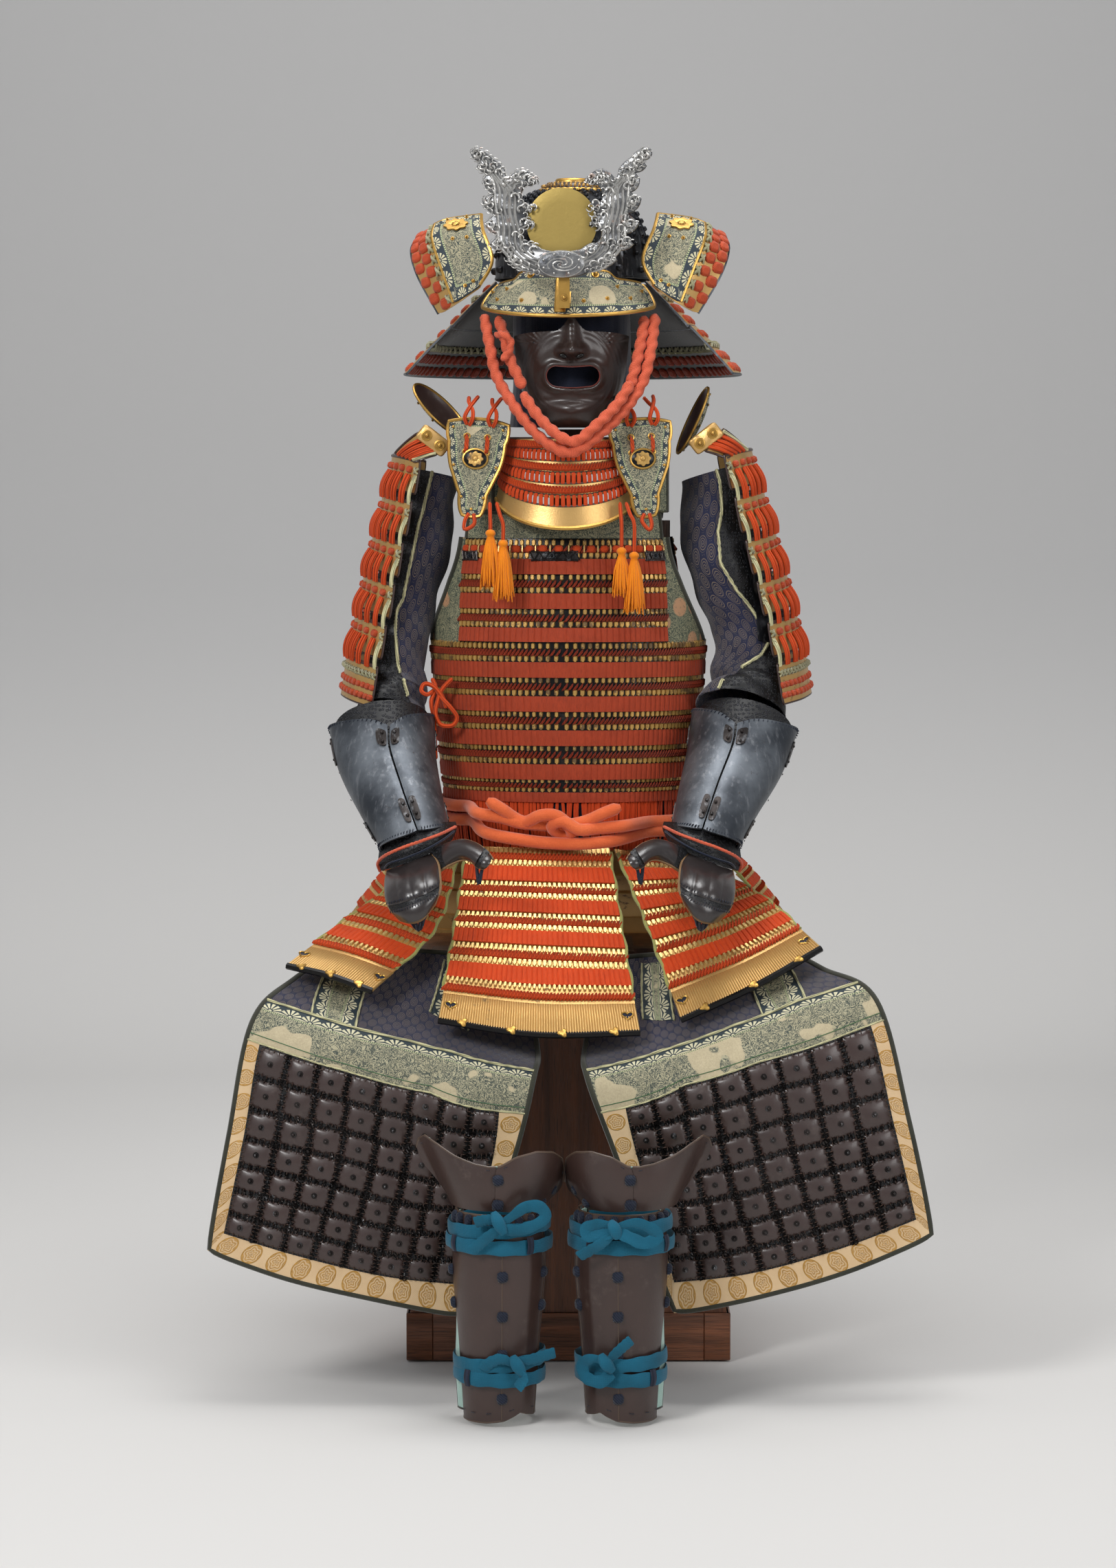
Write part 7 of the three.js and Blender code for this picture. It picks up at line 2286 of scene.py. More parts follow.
@dataclass
class Crest:
    """Foam-shaped crest with its oval boss and plain disc, on a body of its own."""

    middle: float = 0.003
    front: float = -0.283
    back: float = -0.2794
    pivot: tuple[float, float] = (6.0, -100.0)
    turn: float = -4.0

    def face(self, flat: Array, out: Array | float) -> Array:
        """Points x, z on the crest's front at a stand-off, turned with the helmet."""
        x, z = flat[..., 0], flat[..., 1]
        y = self.front - np.broadcast_to(out, x.shape)
        return turned(np.stack([x + self.middle, y, z], -1), self.pivot, self.turn)

    def build(self) -> None:
        """Makes the whole crest."""
        half = bent(FOAM, 4)
        line = np.concatenate([half, (half * (-1, 1))[::-1][1:-1]])
        n = len(line)
        ahead, behind = np.roll(line, -1, 0), np.roll(line, 1, 0)
        tangent = unit(ahead - behind)
        inward = np.stack([-tangent[:, 1], tangent[:, 0]], 1)
        rings = [self.face(line + inward * 0.0012, 0.0006), self.face(line, -0.0006),
                 self.face(line, self.front - self.back - 0.0072)]
        points = np.concatenate(rings)
        cut = tessellate_polygon([[Vector((*q, 0.0)) for q in line]])
        first, second, third = (line[i] for i in cut[0])
        turn = np.cross(second - first, third - first)
        flat = [tuple(tri) if turn > 0 else tuple(tri)[::-1] for tri in cut]
        faces: list[Sequence[int]] = flat + [tuple(2 * n + i for i in tri[::-1]) for tri in flat]
        for k in range(2):
            faces += [(k * n + (i + 1) % n, k * n + i, (k + 1) * n + i, (k + 1) * n + (i + 1) % n) for i in range(n)]
        Part("crest_foam_plate").raw(points, faces).build(SILVER_DARK, "silvered_copper", ["crest_horns"], body=CREST)
        plate = Part("crest_foam_ridges")
        for k in range(7):
            for side in (-1, 1):
                plate.tube(self.flow(side, k), self.thin(k), 6, flat=0.8, lead=(1, 0, 0))
        plate.build(SILVER, "silvered_copper", body=CREST)
        self.curls(line, inward)
        self.boss()
        disc = dome(circle(72), [(1, -0.5), (1, 0.4), (0.985, 0.5), (0.6, 0.56)])
        unit_disc = disc.points[0]
        middle = np.array([0.0, 1.546])
        solid = self.face(unit_disc[:, :2] * 0.094 + middle, -0.0058 + unit_disc[:, 2] * 0.0026)
        Part("crest_plain_disc").raw(solid, disc.faces).build(BRASS, "brass_disc", ["crest_disc"], body=CREST)

    def flow(self, side: int, k: int) -> Array:
        """Line of one ridge that runs up a horn."""
        spine = mm([(30, 1487), (52, 1498), (67, 1518), (71, 1542), (74, 1564), (77, 1588), (88, 1608), (104, 1632)])
        if k >= 5:
            spine = mm([(72, 1572), (70, 1590), (58, 1602), (42, 1606 - (k - 5) * 5)])
        t = unit(np.gradient(spine, axis=0))
        n = np.stack([-t[:, 1], t[:, 0]], 1)
        wide = np.array([9, 13, 14, 15, 14, 12, 7, 4])[:len(spine)] / 1000
        share = (k - 2) / 2.2 if k < 5 else (k - 5.5) * 0.5
        line = spine + n * (wide * share)[:, None]
        dense = curve(line, 34)
        wave = 0.0016 * np.sin(np.arange(34) * 0.62 + k * 1.3)
        dense[:, 0] += wave
        return self.face(dense * (side, 1), 0.0004)

    def thin(self, k: int) -> Array:
        """Radius along one ridge: full in the middle, fine at both ends."""
        t = np.linspace(0, 1, 34)
        return 0.0005 + 0.0021 * np.sin(math.pi * np.clip(t * 1.08, 0, 1)) ** 0.5 * (1 - 0.12 * (k % 3))

    def curls(self, line: Array, inward: Array) -> None:
        """Rows of curls along the edges: small hooks on the rim and larger ones within."""
        run = np.concatenate([[0], np.cumsum(np.linalg.norm(np.diff(line, axis=0), axis=1))])
        scatter = Scatter("crest_foam_curls", Shape.CURL)
        out = np.array([0.0, -1.0, 0.0])
        rng = np.random.default_rng(5)
        for pitch, inset, size, lift in ((0.0078, 0.0024, 0.0098, 0.0002), (0.0128, 0.0092, 0.0142, 0.0006)):
            at = np.arange(pitch / 2, run[-1], pitch)
            where = np.stack([np.interp(at, run, line[:, k] + inward[:, k] * inset) for k in (0, 1)], 1)
            way = np.stack([np.interp(at, run, -inward[:, k]) for k in (0, 1)], 1)
            keep = ~((np.abs(where[:, 0]) < 0.029) & (where[:, 1] < 1.515))
            where, way = where[keep], way[keep]
            flip = np.sign(where[:, 0])
            angle = np.degrees(np.arctan2(way[:, 1], way[:, 0])) + rng.normal(0, 16, len(way)) + 60 * flip
            p = self.face(where, lift)
            x = np.broadcast_to(turned(np.array([1.0, 0, 0]), (0, 0), self.turn), p.shape)
            z = np.broadcast_to(turned(out, (0, 0), self.turn), p.shape)
            up = np.broadcast_to([0.0, 0.0, 1.0], p.shape)
            scatter.put(p, x, up, z, (size, size, size * 0.95), spin=angle)
        scatter.build(SILVER, "silvered_copper", 0.12, 16, body=CREST)

    def boss(self) -> None:
        """Oval boss with a spiral ridge and rivets round it."""
        middle = np.array([0.0, 1.492])
        flat = dome(circle(48), [(1, -1.0), (1, 0.1), (0.96, 0.3), (0.7, 0.42), (0.3, 0.5)])
        p = flat.points[0]
        Part("crest_boss").raw(self.face(p[:, :2] * (0.062, 0.035) + middle, 0.0012 + p[:, 2] * 0.005),
                               flat.faces).build(SILVER_DARK, "silvered_copper", body=CREST)
        part = Part("crest_boss_spiral")
        for arm in range(3):
            t = np.linspace(0.04, 1.0, 44)
            a = t * 2 * math.pi * 1.35 + arm * 2.1
            spiral = np.stack([0.029 * t * np.cos(a), 0.0158 * t * np.sin(a)], 1) + middle
            part.tube(self.face(spiral, 0.0036 - 0.0020 * t), 0.0005 + 0.0010 * np.sin(math.pi * t), 6)
        ring = circle(48, 0.0305, 0.017)
        part.tube(self.face(ring + middle, 0.0014), 0.0014, 6, loop=True)
        part.build(SILVER, "silvered_copper", body=CREST)
        rivets = Scatter("crest_boss_rivets", Shape.RIVET)
        at = circle(8, 0.0255, 0.0135) + middle
        q = self.face(at, 0.0026)
        x = np.broadcast_to(turned(np.array([1.0, 0, 0]), (0, 0), self.turn), q.shape)
        z = np.broadcast_to(turned(np.array([0, -1.0, 0]), (0, 0), self.turn), q.shape)
        rivets.put(q, x, np.broadcast_to([0.0, 0, 1], q.shape), z, (0.0042, 0.0042, 0.0042))
        rivets.build(SILVER, "silvered_copper", 0.04, 18, body=CREST)


# ---------------------------------------------------------------- mask
@dataclass
class Mask:
    """Plain half mask with an open mouth, and the folded dark cloth behind it."""

    middle: float = 4.0
    mouth: tuple[float, float, float, float] = (2.0, 1344.5, 36.0, 14.0)
    wall: float = 0.0034

    def lip(self, x: Array, z: Array) -> Array:
        """Distance outside the mouth opening in millimetres, less than zero within it."""
        mx, mz, wide, tall = self.mouth
        bend = 2.2 * np.cos(np.clip((x - self.middle) / wide, -1, 1) * math.pi)
        a, b = np.abs(x - self.middle - mx) - (wide - tall), np.abs(z - mz + bend * 0.5)
        return np.hypot(np.maximum(a, 0), b) - tall

    def form(self, u: Array, v: Array) -> Array:
        """The mask's outer surface in millimetres."""
        a = 2 * u - 1
        half = 78 - 6 * v - 12 * v**3
        top = 1405 - 5 * a**4 + 20 * np.exp(-(a / 0.15) ** 2)
        low = 1277 + 30 * a**2 * np.abs(a)
        x = half * a
        z = top + (low - top) * v
        y = 160 + 74 * np.sqrt(np.maximum(0, 1 - 0.92 * a**2)) - 6 * v
        bump = lambda cx, cz, wx, wz: np.exp(-((np.abs(x) - cx) / wx) ** 2 - ((z - cz) / wz) ** 2)
        fall = 1 / (1 + np.exp(-(z - 1369) / 1.7))
        bridge = np.clip((1426 - z) / 46, 0, 1)
        y = y + fall * (5 + 15 * bridge**1.4) * np.exp(-(np.abs(x) / (6.5 + 5.5 * bridge)) ** 2.4)
        y = y + fall * 9 * bump(15, 1378, 6.5, 8) + 4.5 * fall * bump(0, 1379, 9, 9)
        y = y + 4 * bump(43, 1364, 16, 20) + 3.0 * bump(0, 1322, 26, 7) + 9 * bump(0, 1300, 24,
                                                                                   13) - 2.5 * bump(0, 1312, 40, 4)
        y = y - 9 * np.clip((1290 - z) / 14, 0, 1) ** 2 * np.exp(-(x / 34) ** 4)
        s = self.lip(x + self.middle, z)
        y = y + 3.2 * np.exp(-(((s - 3) / 3.4) ** 2)) - 2.0 * np.exp(-(((s - 12) / 6) ** 2))
        reach = np.hypot(np.abs(x) - 12, (z - 1350) * 0.82)
        gate = np.clip((reach - 37) / 3, 0, 1) * np.clip((62 - reach) / 3, 0, 1) * np.clip((z - 1296) / 14, 0, 1)
        y = y + 1.15 * gate * (np.abs(np.sin((reach - 37) * math.pi / 5.2)) - 0.5)
        ray = np.arctan2(z - 1384, np.abs(x) - 34)
        fan = np.clip((np.abs(x) - 40) / 6, 0, 1) * np.clip((z - 1386) / 5, 0, 1)
        y = y + 0.8 * fan * np.sin(ray * 26)
        return np.stack([x + self.middle, -y, z], -1)

    def build(self) -> None:
        """Makes the mask, its fittings and the cloth."""
        cols, rows = 85, 73
        t = np.linspace(-1, 1, cols)
        u, v = np.meshgrid(0.5 + 0.5 * np.sign(t) * (1 - (1 - np.abs(t)) ** 1.12), np.linspace(0, 1, rows))
        p = self.form(u, v)
        s = self.lip(p[..., 0], p[..., 2])
        middle_of = lambda g: (g[:-1, :-1] + g[1:, :-1] + g[:-1, 1:] + g[1:, 1:]) / 4
        cuts = middle_of(s) < 0
        near = np.zeros(s.shape, bool)
        for dj, di in ((0, 0), (0, 1), (1, 0), (1, 1)):
            near[dj:rows - 1 + dj, di:cols - 1 + di] |= cuts
        touch = np.zeros(s.shape, bool)
        for dj, di in ((0, 0), (0, 1), (1, 0), (1, 1)):
            touch[dj:rows - 1 + dj, di:cols - 1 + di] |= ~cuts
        rim = near & touch
        e = 0.2
        for _ in range(3):
            s = self.lip(p[..., 0], p[..., 2])
            gx = (self.lip(p[..., 0] + e, p[..., 2]) - s) / e
            gz = (self.lip(p[..., 0], p[..., 2] + e) - s) / e
            p[..., 0] -= np.where(rim, s * gx, 0)
            p[..., 2] -= np.where(rim, s * gz, 0)
        outer = p / 1000
        du, dv = np.gradient(outer, axis=1), np.gradient(outer, axis=0)
        n = unit(np.cross(du, dv))
        n *= np.where(n[..., 1:2] > 0, -1, 1)
        smooth = unit(n + [0, -0.6, 0])
        face = Part("half_mask").shell(outer, outer - smooth * self.wall, cuts=cuts)
        face.build(MASK_LACQUER, "russet_iron", ["mask"])
        self.fittings()
        self.cloth()

    def edge(self, count: int, out: float) -> Array:
        """Closed line round the mouth, in metres."""
        mx, mz, wide, tall = self.mouth
        a = np.linspace(0, 2 * math.pi, count, endpoint=False)
        x = self.middle + mx + (wide - tall) * np.clip(np.cos(a) * 1.6, -1,
                                                       1) + tall * np.cos(a) * np.abs(np.cos(a)) ** 0.2
        z = mz + tall * np.sin(a)
        z = z - 1.1 * np.cos(np.clip((x - self.middle) / wide, -1, 1) * math.pi)
        for _ in range(4):
            s = self.lip(x, z)
            gx, gz = (self.lip(x + 0.2, z) - s) / 0.2, (self.lip(x, z + 0.2) - s) / 0.2
            x, z = x - s * gx, z - s * gz
        y = -(160 + 74 * np.sqrt(1 - 0.92 * ((x - self.middle) / 76) ** 2)) - out
        return np.stack([x, y, z], -1) / 1000

    def fittings(self) -> None:
        """Red edge of the mouth, nostrils and cord pegs."""
        red = Lacquer("red_lacquer_edge", "6a2418", "3c130d", rough=0.35)
        Part("mask_mouth_edge").tube(self.edge(90, 0.2), 0.0009, 6, loop=True).build(red, "russet_iron")
        pegs = Part("mask_cord_pegs")
        for side in (-1, 1):
            base = np.array([self.middle + side * 42, -206, 1389])
            pegs.tube(curve(mm([base, base + (side * 4, -8, 1), base + (side * 10, -11, 1)]), 8), 0.0022, 6,
                      shrink=0.4)
            low = np.array([self.middle + side * 56, -188, 1322])
            pegs.tube(curve(mm([low, low + (side * 3, -10, -6), low + (side * 5, -22, -20)]), 8), 0.0018, 6,
                      shrink=0.4)
        pegs.tube(curve(mm([(-44, -214, 1296), (-50, -226, 1290), (-58, -232, 1284)]), 8), 0.0018, 6, shrink=0.4)
        pegs.build(BLACK_IRON, "russet_iron")
        # painted shade: the nostrils are black domes standing for the dark of holes through the mask
        holes = Part("mask_nostrils")
        for side in (-1, 1):
            ball = dome(circle(16), [(1, -0.4), (1, 0.0), (0.86, 0.35), (0.5, 0.6)])
            q = ball.points[0]
            across, up = np.array([0.93, 0, 0.36 * side]), np.array([-0.3 * side, -0.55, 0.75])
            out = unit(np.array([0.1 * side, -0.75, -0.66]))
            middle = np.array([self.middle + side * 11.5, -246.5, 1371.0]) / 1000
            where = middle + q[:, :1] * 0.0115 * across + q[:, 1:2] * 0.0062 * up + q[:, 2:] * 0.003 * out
            holes.raw(where, ball.faces)
        holes.build(BLACK_LACQUER, "russet_iron")

    def cloth(self) -> None:
        """Dark cloth hood with upright folds, over the stand's head form."""
        rng = np.random.default_rng(8)
        cols, rows = 130, 18
        a = np.linspace(0, 2 * math.pi, cols, endpoint=False)
        wave = sum(rng.uniform(0.5, 1.0) * np.sin(a * k + rng.uniform(0, 6)) / k**0.4 for k in (9, 14, 19, 26, 33))
        v = np.linspace(0, 1, rows)[:, None]
        close = np.sqrt(np.clip(1 - ((0.16 - v) / 0.16).clip(0, 1) ** 2, 0.0004, 1))
        flare = 1 + 0.06 * np.clip((v - 0.7) / 0.3, 0, 1)
        deep = np.where(np.cos(a) > 0, 86, 66)[None]
        fold = 2.6 * wave[None] * np.clip(v * 3, 0, 1) * (0.75 + 0.25 * np.sin(v * 5 + a[None] * 3))
        x = 4 + (80 * flare * close + fold * close) * np.sin(a)[None]
        y = -112 - (deep * flare * close + fold * close) * np.cos(a)[None]
        z = 1466 - 188 * v + 0 * a[None]
        outer = np.stack([x, y, z], -1) / 1000
        middle = np.array([0.004, -0.112, 0])
        inner = outer + unit((middle - outer) * [1, 1, 0] + [0, 0, -0.004]) * 0.0014
        length = np.linspace(0, 0.52, cols + 1)
        marks = np.stack(np.meshgrid(length, np.linspace(0, 0.188, rows)), -1)
        hood = Part("dark_cloth_hood").shell(outer, inner, marks, ring=True)
        hood = hood.build(DARK_CLOTH, "dark_cloth", ["head_form"])


def pose(x: float, y: float, z: float) -> Array:
    """Turn of so many degrees about z, then y, then x, as a matrix."""
    (a, b, c), (d, e, f) = np.cos(np.radians((x, y, z))), np.sin(np.radians((x, y, z)))
    first = np.array([[1, 0, 0], [0, a, -d], [0, d, a]])
    return first @ [[b, 0, e], [0, 1, 0], [-e, 0, b]] @ [[c, -f, 0], [f, c, 0], [0, 0, 1]]


@dataclass
class Throat:
    """Four curved lames below the mask, gilt and laced in orange."""

    lames: int = 4

    def shape(self, u: Array, v: Array) -> Array:
        """Points for arrays of u and v."""
        a = np.radians(-82 + 164 * u)
        half = 73 + 18 * v
        return mm(np.stack([-4 + half * np.sin(a), -176 - (58 + 24 * v) * np.cos(a),
                            1262 - 122 * v + 46 * (1 - np.cos(a)) * v], -1))

    def build(self) -> None:
        """Makes the plates, their rims, the braid and the lacing."""
        s = Surface(self.shape, mm([-4, -140, 1150]))
        gold, rims = Part("throat_gilt_bands"), Part("throat_brown_rims")
        foot, lacing = Part("throat_foot_rim"), Part("throat_lacing")
        braid = Scatter("throat_braid", Shape.STRAND)
        u = np.linspace(0, 1, 50)
        rng = np.random.default_rng(8)
        for k in range(self.lames):
            at = lambda f, k=k: (k + f) / self.lames
            last = k == self.lames - 1
            v = np.array([at(0.02), at(0.5), at(0.99 if last else 0.66)])[:, None]
            out = np.array([0.0052, 0.0044, 0.0046 if last else 0.0036])[:, None]
            gold.shell(s.at(u[None], v, out), s.at(u[None], v, out - 0.0022))
            rims.tube(s.at(u, at(0.03), 0.0052), 0.0014, 6)
            if last:
                foot.tube(s.at(u, at(0.985), 0.0044), 0.0030, 6)
                continue
            n = 58
            t = (np.arange(n) + 0.5) / n
            braid.on(s, t, at(0.33), 0.0052, (0.0056, 0.0098, 0.0052), spin=-34)
            rims.tube(s.at(u, at(0.54), 0.0046), 0.0011, 6)
            for x in (np.arange(34) + 0.5) / 34:
                lean = rng.normal(0, 0.0012)
                line = s.at(x + lean * np.linspace(0, 1, 5), np.array([at(f) for f in (0.56, 0.66, 0.8, 0.94, 1.04)]),
                            np.array([0.0048, 0.0066, 0.0072, 0.0068, 0.0058]))
                lacing.tube(line, 0.0027, 6, flat=0.45, lead=s.frame(np.array([x]), np.array([at(0.8)]))[1][0])
        gold.build(GILT_PLATE, "gilt_lames", ["throat_lames"])
        rims.build(BROWN_LACQUER, "gilt_lames")
        foot.build(GILT, "gilt_copper")
        lacing.build(ORANGE_SILK, "laced_lames")
        braid.build(ORANGE_BRAID, "laced_lames", 0.06, 41)


LEAF = [(-41, 60), (0, 66, -20, 66), (41, 60, 20, 66), (38, 34, 43, 44), (33, 0, 38, 16), (18, -36, 24, -22),
        (12, -64, 18, -56), (-12, -64, 0, -68), (-18, -36, -18, -56), (-33, 0, -24, -22), (-38, 34, -38, 16),
        (-41, 60, -43, 44)]


@dataclass
class LeafPlates:
    """Leather-faced leaf plates over the armholes, with the oval wings and gilt blocks above them."""

    places: tuple[tuple[tuple[float, float, float], tuple[float, float, float]], ...] = (
        ((-126, -229, 1222), (-5, 5, -7)), ((100, -229, 1222), (-5, -4, 7)))

    def build(self) -> None:
        """Makes both sides."""
        face, rims = Part("leaf_plates"), Part("leaf_rims")
        dark, gilt = Part("leaf_medallions"), Part("leaf_medallion_rims")
        cords = Part("leaf_plate_cords")
        flowers, studs = Scatter("leaf_medallion_flowers", Shape.ROSETTE), Scatter("leaf_studs", Shape.RIVET)
        loops, eyes = Scatter("leaf_vertical_loops", Shape.STRAND), Scatter("leaf_eyelets", Shape.EYELET)
        outline = bent(LEAF, 5)[:-1]
        spine = np.stack([0 * outline[:, 0], np.clip(outline[:, 1], -0.044, 0.040)], 1)
        v = np.array([0, 0.06, 0.15, 0.3, 0.55, 0.8, 1.0])[:, None, None]
        flat = outline[None] * (1 - v) + spine[None] * v
        bulge = -0.0016 - 0.0026 * (1 - (1 - v[..., 0]) ** 2) * np.ones(len(outline))
        step = np.concatenate([[0], np.cumsum(np.linalg.norm(np.diff(outline, axis=0, append=outline[:1]), axis=1))])
        depth = (v[..., 0] * np.linalg.norm(outline - spine, axis=1)[None])
        marks = np.stack([np.broadcast_to(step, (len(v), len(step))), np.concatenate([depth, depth[:, :1]], 1)], -1)
        for at, angles in self.places:
            m = pose(*angles)
            put = lambda x, y, z: np.stack(np.broadcast_arrays(x, y, z), -1) @ m.T + mm(at)
            side = -1 if at[0] < 0 else 1
            face.shell(put(flat[..., 0], bulge, flat[..., 1]), put(flat[..., 0], 0.0016, flat[..., 1]), marks,
                       ring=True)
            rims.tube(put(outline[:, 0], -0.0008, outline[:, 1]), 0.0026, 6, loop=True)
            a = np.linspace(0, 2 * math.pi, 40, endpoint=False)
            oval = np.stack([0.0165 * np.cos(a), 0.012 + 0.013 * np.sin(a)], 1)
            gilt.tube(put(oval[:, 0], -0.0052, oval[:, 1]), 0.0016, 6, loop=True)
            shape = dome(np.stack([0.016 * np.cos(a), 0.0125 * np.sin(a)], 1), [(1, 0), (1, 0.0008), (0.96, 0.0014)])
            p = shape.points[0]
            dark.raw(put(p[:, 0], -0.0044 - p[:, 2], 0.012 + p[:, 1]), shape.faces)
            axes = [np.repeat(w[None], 12, 0) for w in (m[:, 0], m[:, 2], -m[:, 1])]
            flowers.put(put(np.zeros(1), -0.0060, 0.012), *(w[:1] for w in axes), (0.021, 0.019, 0.010))
            sx = np.array([-0.034, 0.034, -0.029, 0.029, -0.015, 0.015, 0.0])
            sz = np.array([0.053, 0.053, 0.002, 0.002, -0.040, -0.040, -0.056])
            studs.put(put(sx, -0.0034, sz), *(w[:7] for w in axes), (0.0046, 0.0046, 0.0036))
            lx = np.array([-0.014, 0.014, -0.017, 0.017])
            loops.put(put(lx[:2], -0.0046, np.array([0.031, 0.031])), *(w[:2] for w in axes), (0.0066, 0.021, 0.0075))
            eyes.put(put(np.array([-0.014, -0.014, 0.014, 0.014]), -0.0042,
                         np.array([0.0415, 0.0205, 0.0415, 0.0205])),
                     *(w[:4] for w in axes), (0.0095, 0.0095, 0.006))
            for x in (-0.016, 0.016):
                up = [(x, -3, 58), (x - 0.003, -8, 66), (x + 0.001, -6, 78), (x + 0.006, 6, 90), (x + 0.008, 22, 98)]
                cords.tube(curve(put(*(np.array([[r[0], r[1] / 1000, r[2] / 1000] for r in up]).T)), 18), 0.0028, 6)
                up = [(x + 0.004, -3, 57), (x + 0.008, -9, 64), (x + 0.007, -5, 76), (x - 0.001, 7, 88),
                      (x - 0.004, 22, 96)]
                cords.tube(curve(put(*(np.array([[r[0], r[1] / 1000, r[2] / 1000] for r in up]).T)), 18), 0.0028, 6)
            hook = [(-3, -2, -62), (-7, -5, -72), (-2 + 4 * side, -6, -84), (6, -5, -76), (4, -2, -62)]
            cords.tube(curve(put(*(mm(hook).T)), 22), 0.0027, 6)
        face.build(LEAF_LEATHER, "printed_leather", ["leaf_plate_left", "leaf_plate_right"])
        rims.build(GILT, "gilt_copper")
        dark.build(BLACK_LACQUER, "gilt_copper")
        gilt.build(GILT, "gilt_copper")
        cords.build(ORANGE_BRAID, "coral_cord")
        flowers.build(GILT_DULL, "gilt_copper", 0.0, 42)
        studs.build(GILT, "gilt_copper", 0.03, 43)
        loops.build(ORANGE_BRAID, "coral_cord", 0.02, 44)
        eyes.build(GILT, "gilt_copper", 0.02, 45)
        self.wings()
        self.blocks()

    def wings(self) -> None:
        """Shallow oval dishes: printed leather outside, brown lacquer inside, gilt rim."""
        leather, brown, rims = Part("wing_leather"), Part("wing_insides"), Part("wing_rims")
        studs = Scatter("wing_studs", Shape.RIVET)
        a = np.linspace(0, 2 * math.pi, 48, endpoint=False)
        for at, along, opening in (((-182, -150, 1293), (0.72, 0.1, -0.69), (0.55, -0.45, 0.7)),
                                   ((180, -150, 1282), (-0.42, 0.12, -0.9), (-0.83, -0.2, 0.5))):
            x = unit(np.array(along))
            z = unit(np.cross(x, opening))
            y = unit(np.cross(z, x))
            ring = lambda r, h: mm(at) + (x * (np.cos(a) * r)[:, None] + z * (np.sin(a) * r * 0.62)[:, None]
                                          + y * h) / 1000
            back = np.array([ring(r, h) for r, h in ((49, 10.6), (44, 7), (34, 3.6), (24, 1.5), (12, 0.4), (0.3, 0))])
            inside = np.array([ring(r, h) for r,
                               h in ((48, 12.2), (42, 8.2), (33, 5.6), (24, 3.8), (12, 2.6), (0.3, 2.4))])
            middle = back + (inside - back) * 0.5
            spread = np.linspace(0, 0.26, 49)
            marks = np.stack(np.meshgrid(spread, np.array([0, 0.006, 0.015, 0.025, 0.037, 0.048])), -1)
            leather.shell(back, middle, marks, ring=True)
            brown.shell(middle + y * 0.0002, inside, ring=True)
            rims.tube(ring(49.2, 11.6), 0.0019, 6, loop=True)
            pick = slice(0, 48, 6)
            n = len(a[pick])
            way = unit(np.cos(a[pick])[:, None] * x + np.sin(a[pick])[:, None] * z)
            studs.put(ring(42, 5.6)[pick], np.cross(way, -y), way, np.repeat(-y[None], n, 0), (0.0042, 0.0042, 0.003))
        leather.build(LEAF_LEATHER, "printed_leather", ["shoulder_wing_left", "shoulder_wing_right"])
        brown.build(PLATE_LACQUER, "brown_lacquer")
        rims.build(GILT, "gilt_copper")
        studs.build(GILT, "gilt_copper", 0.02, 46)

    def blocks(self) -> None:
        """Gilt bars at the head of each shoulder guard, each with two ringed studs."""
        bars, studs = Part("shoulder_blocks"), Scatter("shoulder_block_studs", Shape.STUD)
        rings = Scatter("shoulder_block_rings", Shape.EYELET)
        outline = circle(24, 0.023, 0.012, power=7)
        for at, lean in (((-183, -201, 1259), 38), ((186, -201, 1262), -38)):
            m = pose(0, lean, 0)
            bars.bar(outline, -0.0045, 0.0045, 0.0022)
            bars.points[-1] = bars.points[-1] @ m.T + mm(at)
            p = np.array([[-0.011, -0.0046, 0], [0.011, -0.0046, 0]]) @ m.T + mm(at)
            axes = [np.repeat(w[None], 2, 0) for w in (m[:, 0], m[:, 2], -m[:, 1])]
            studs.put(p, *axes, (0.0108, 0.0108, 0.0074))
            rings.put(p, *axes, (0.0150, 0.0150, 0.0060))
        bars.build(GILT_PLATE, "gilt_copper", ["shoulder_block_left", "shoulder_block_right"])
        studs.build(GILT, "gilt_copper", 0.0, 47)
        rings.build(GILT, "gilt_copper", 0.0, 48)


# ---------------------------------------------------------------- shoulder guards
GUARD_LEFT = [[(-196, -200, 1232), (-222, -170, 1238), (-236, -95, 1240), (-222, -20, 1238), (-196, 10, 1232)],
              [(-220, -203, 1120), (-248, -170, 1128), (-263, -95, 1132), (-248, -20, 1128), (-220, 12, 1120)],
              [(-243, -206, 1008), (-272, -172, 1018), (-288, -95, 1022), (-272, -18, 1018), (-243, 14, 1008)],
              [(-266, -209, 898), (-296, -174, 906), (-312, -95, 910), (-296, -16, 906), (-266, 16, 898)]]
GUARD_RIGHT = [[(206, -200, 1240), (232, -170, 1246), (246, -95, 1248), (232, -20, 1246), (206, 10, 1240)],
               [(236, -203, 1124), (264, -170, 1132), (279, -95, 1136), (264, -20, 1132), (236, 12, 1124)],
               [(266, -206, 1012), (294, -172, 1020), (309, -95, 1024), (294, -18, 1020), (266, 14, 1012)],
               [(290, -209, 902), (318, -174, 908), (334, -95, 912), (318, -16, 908), (290, 16, 902)]]


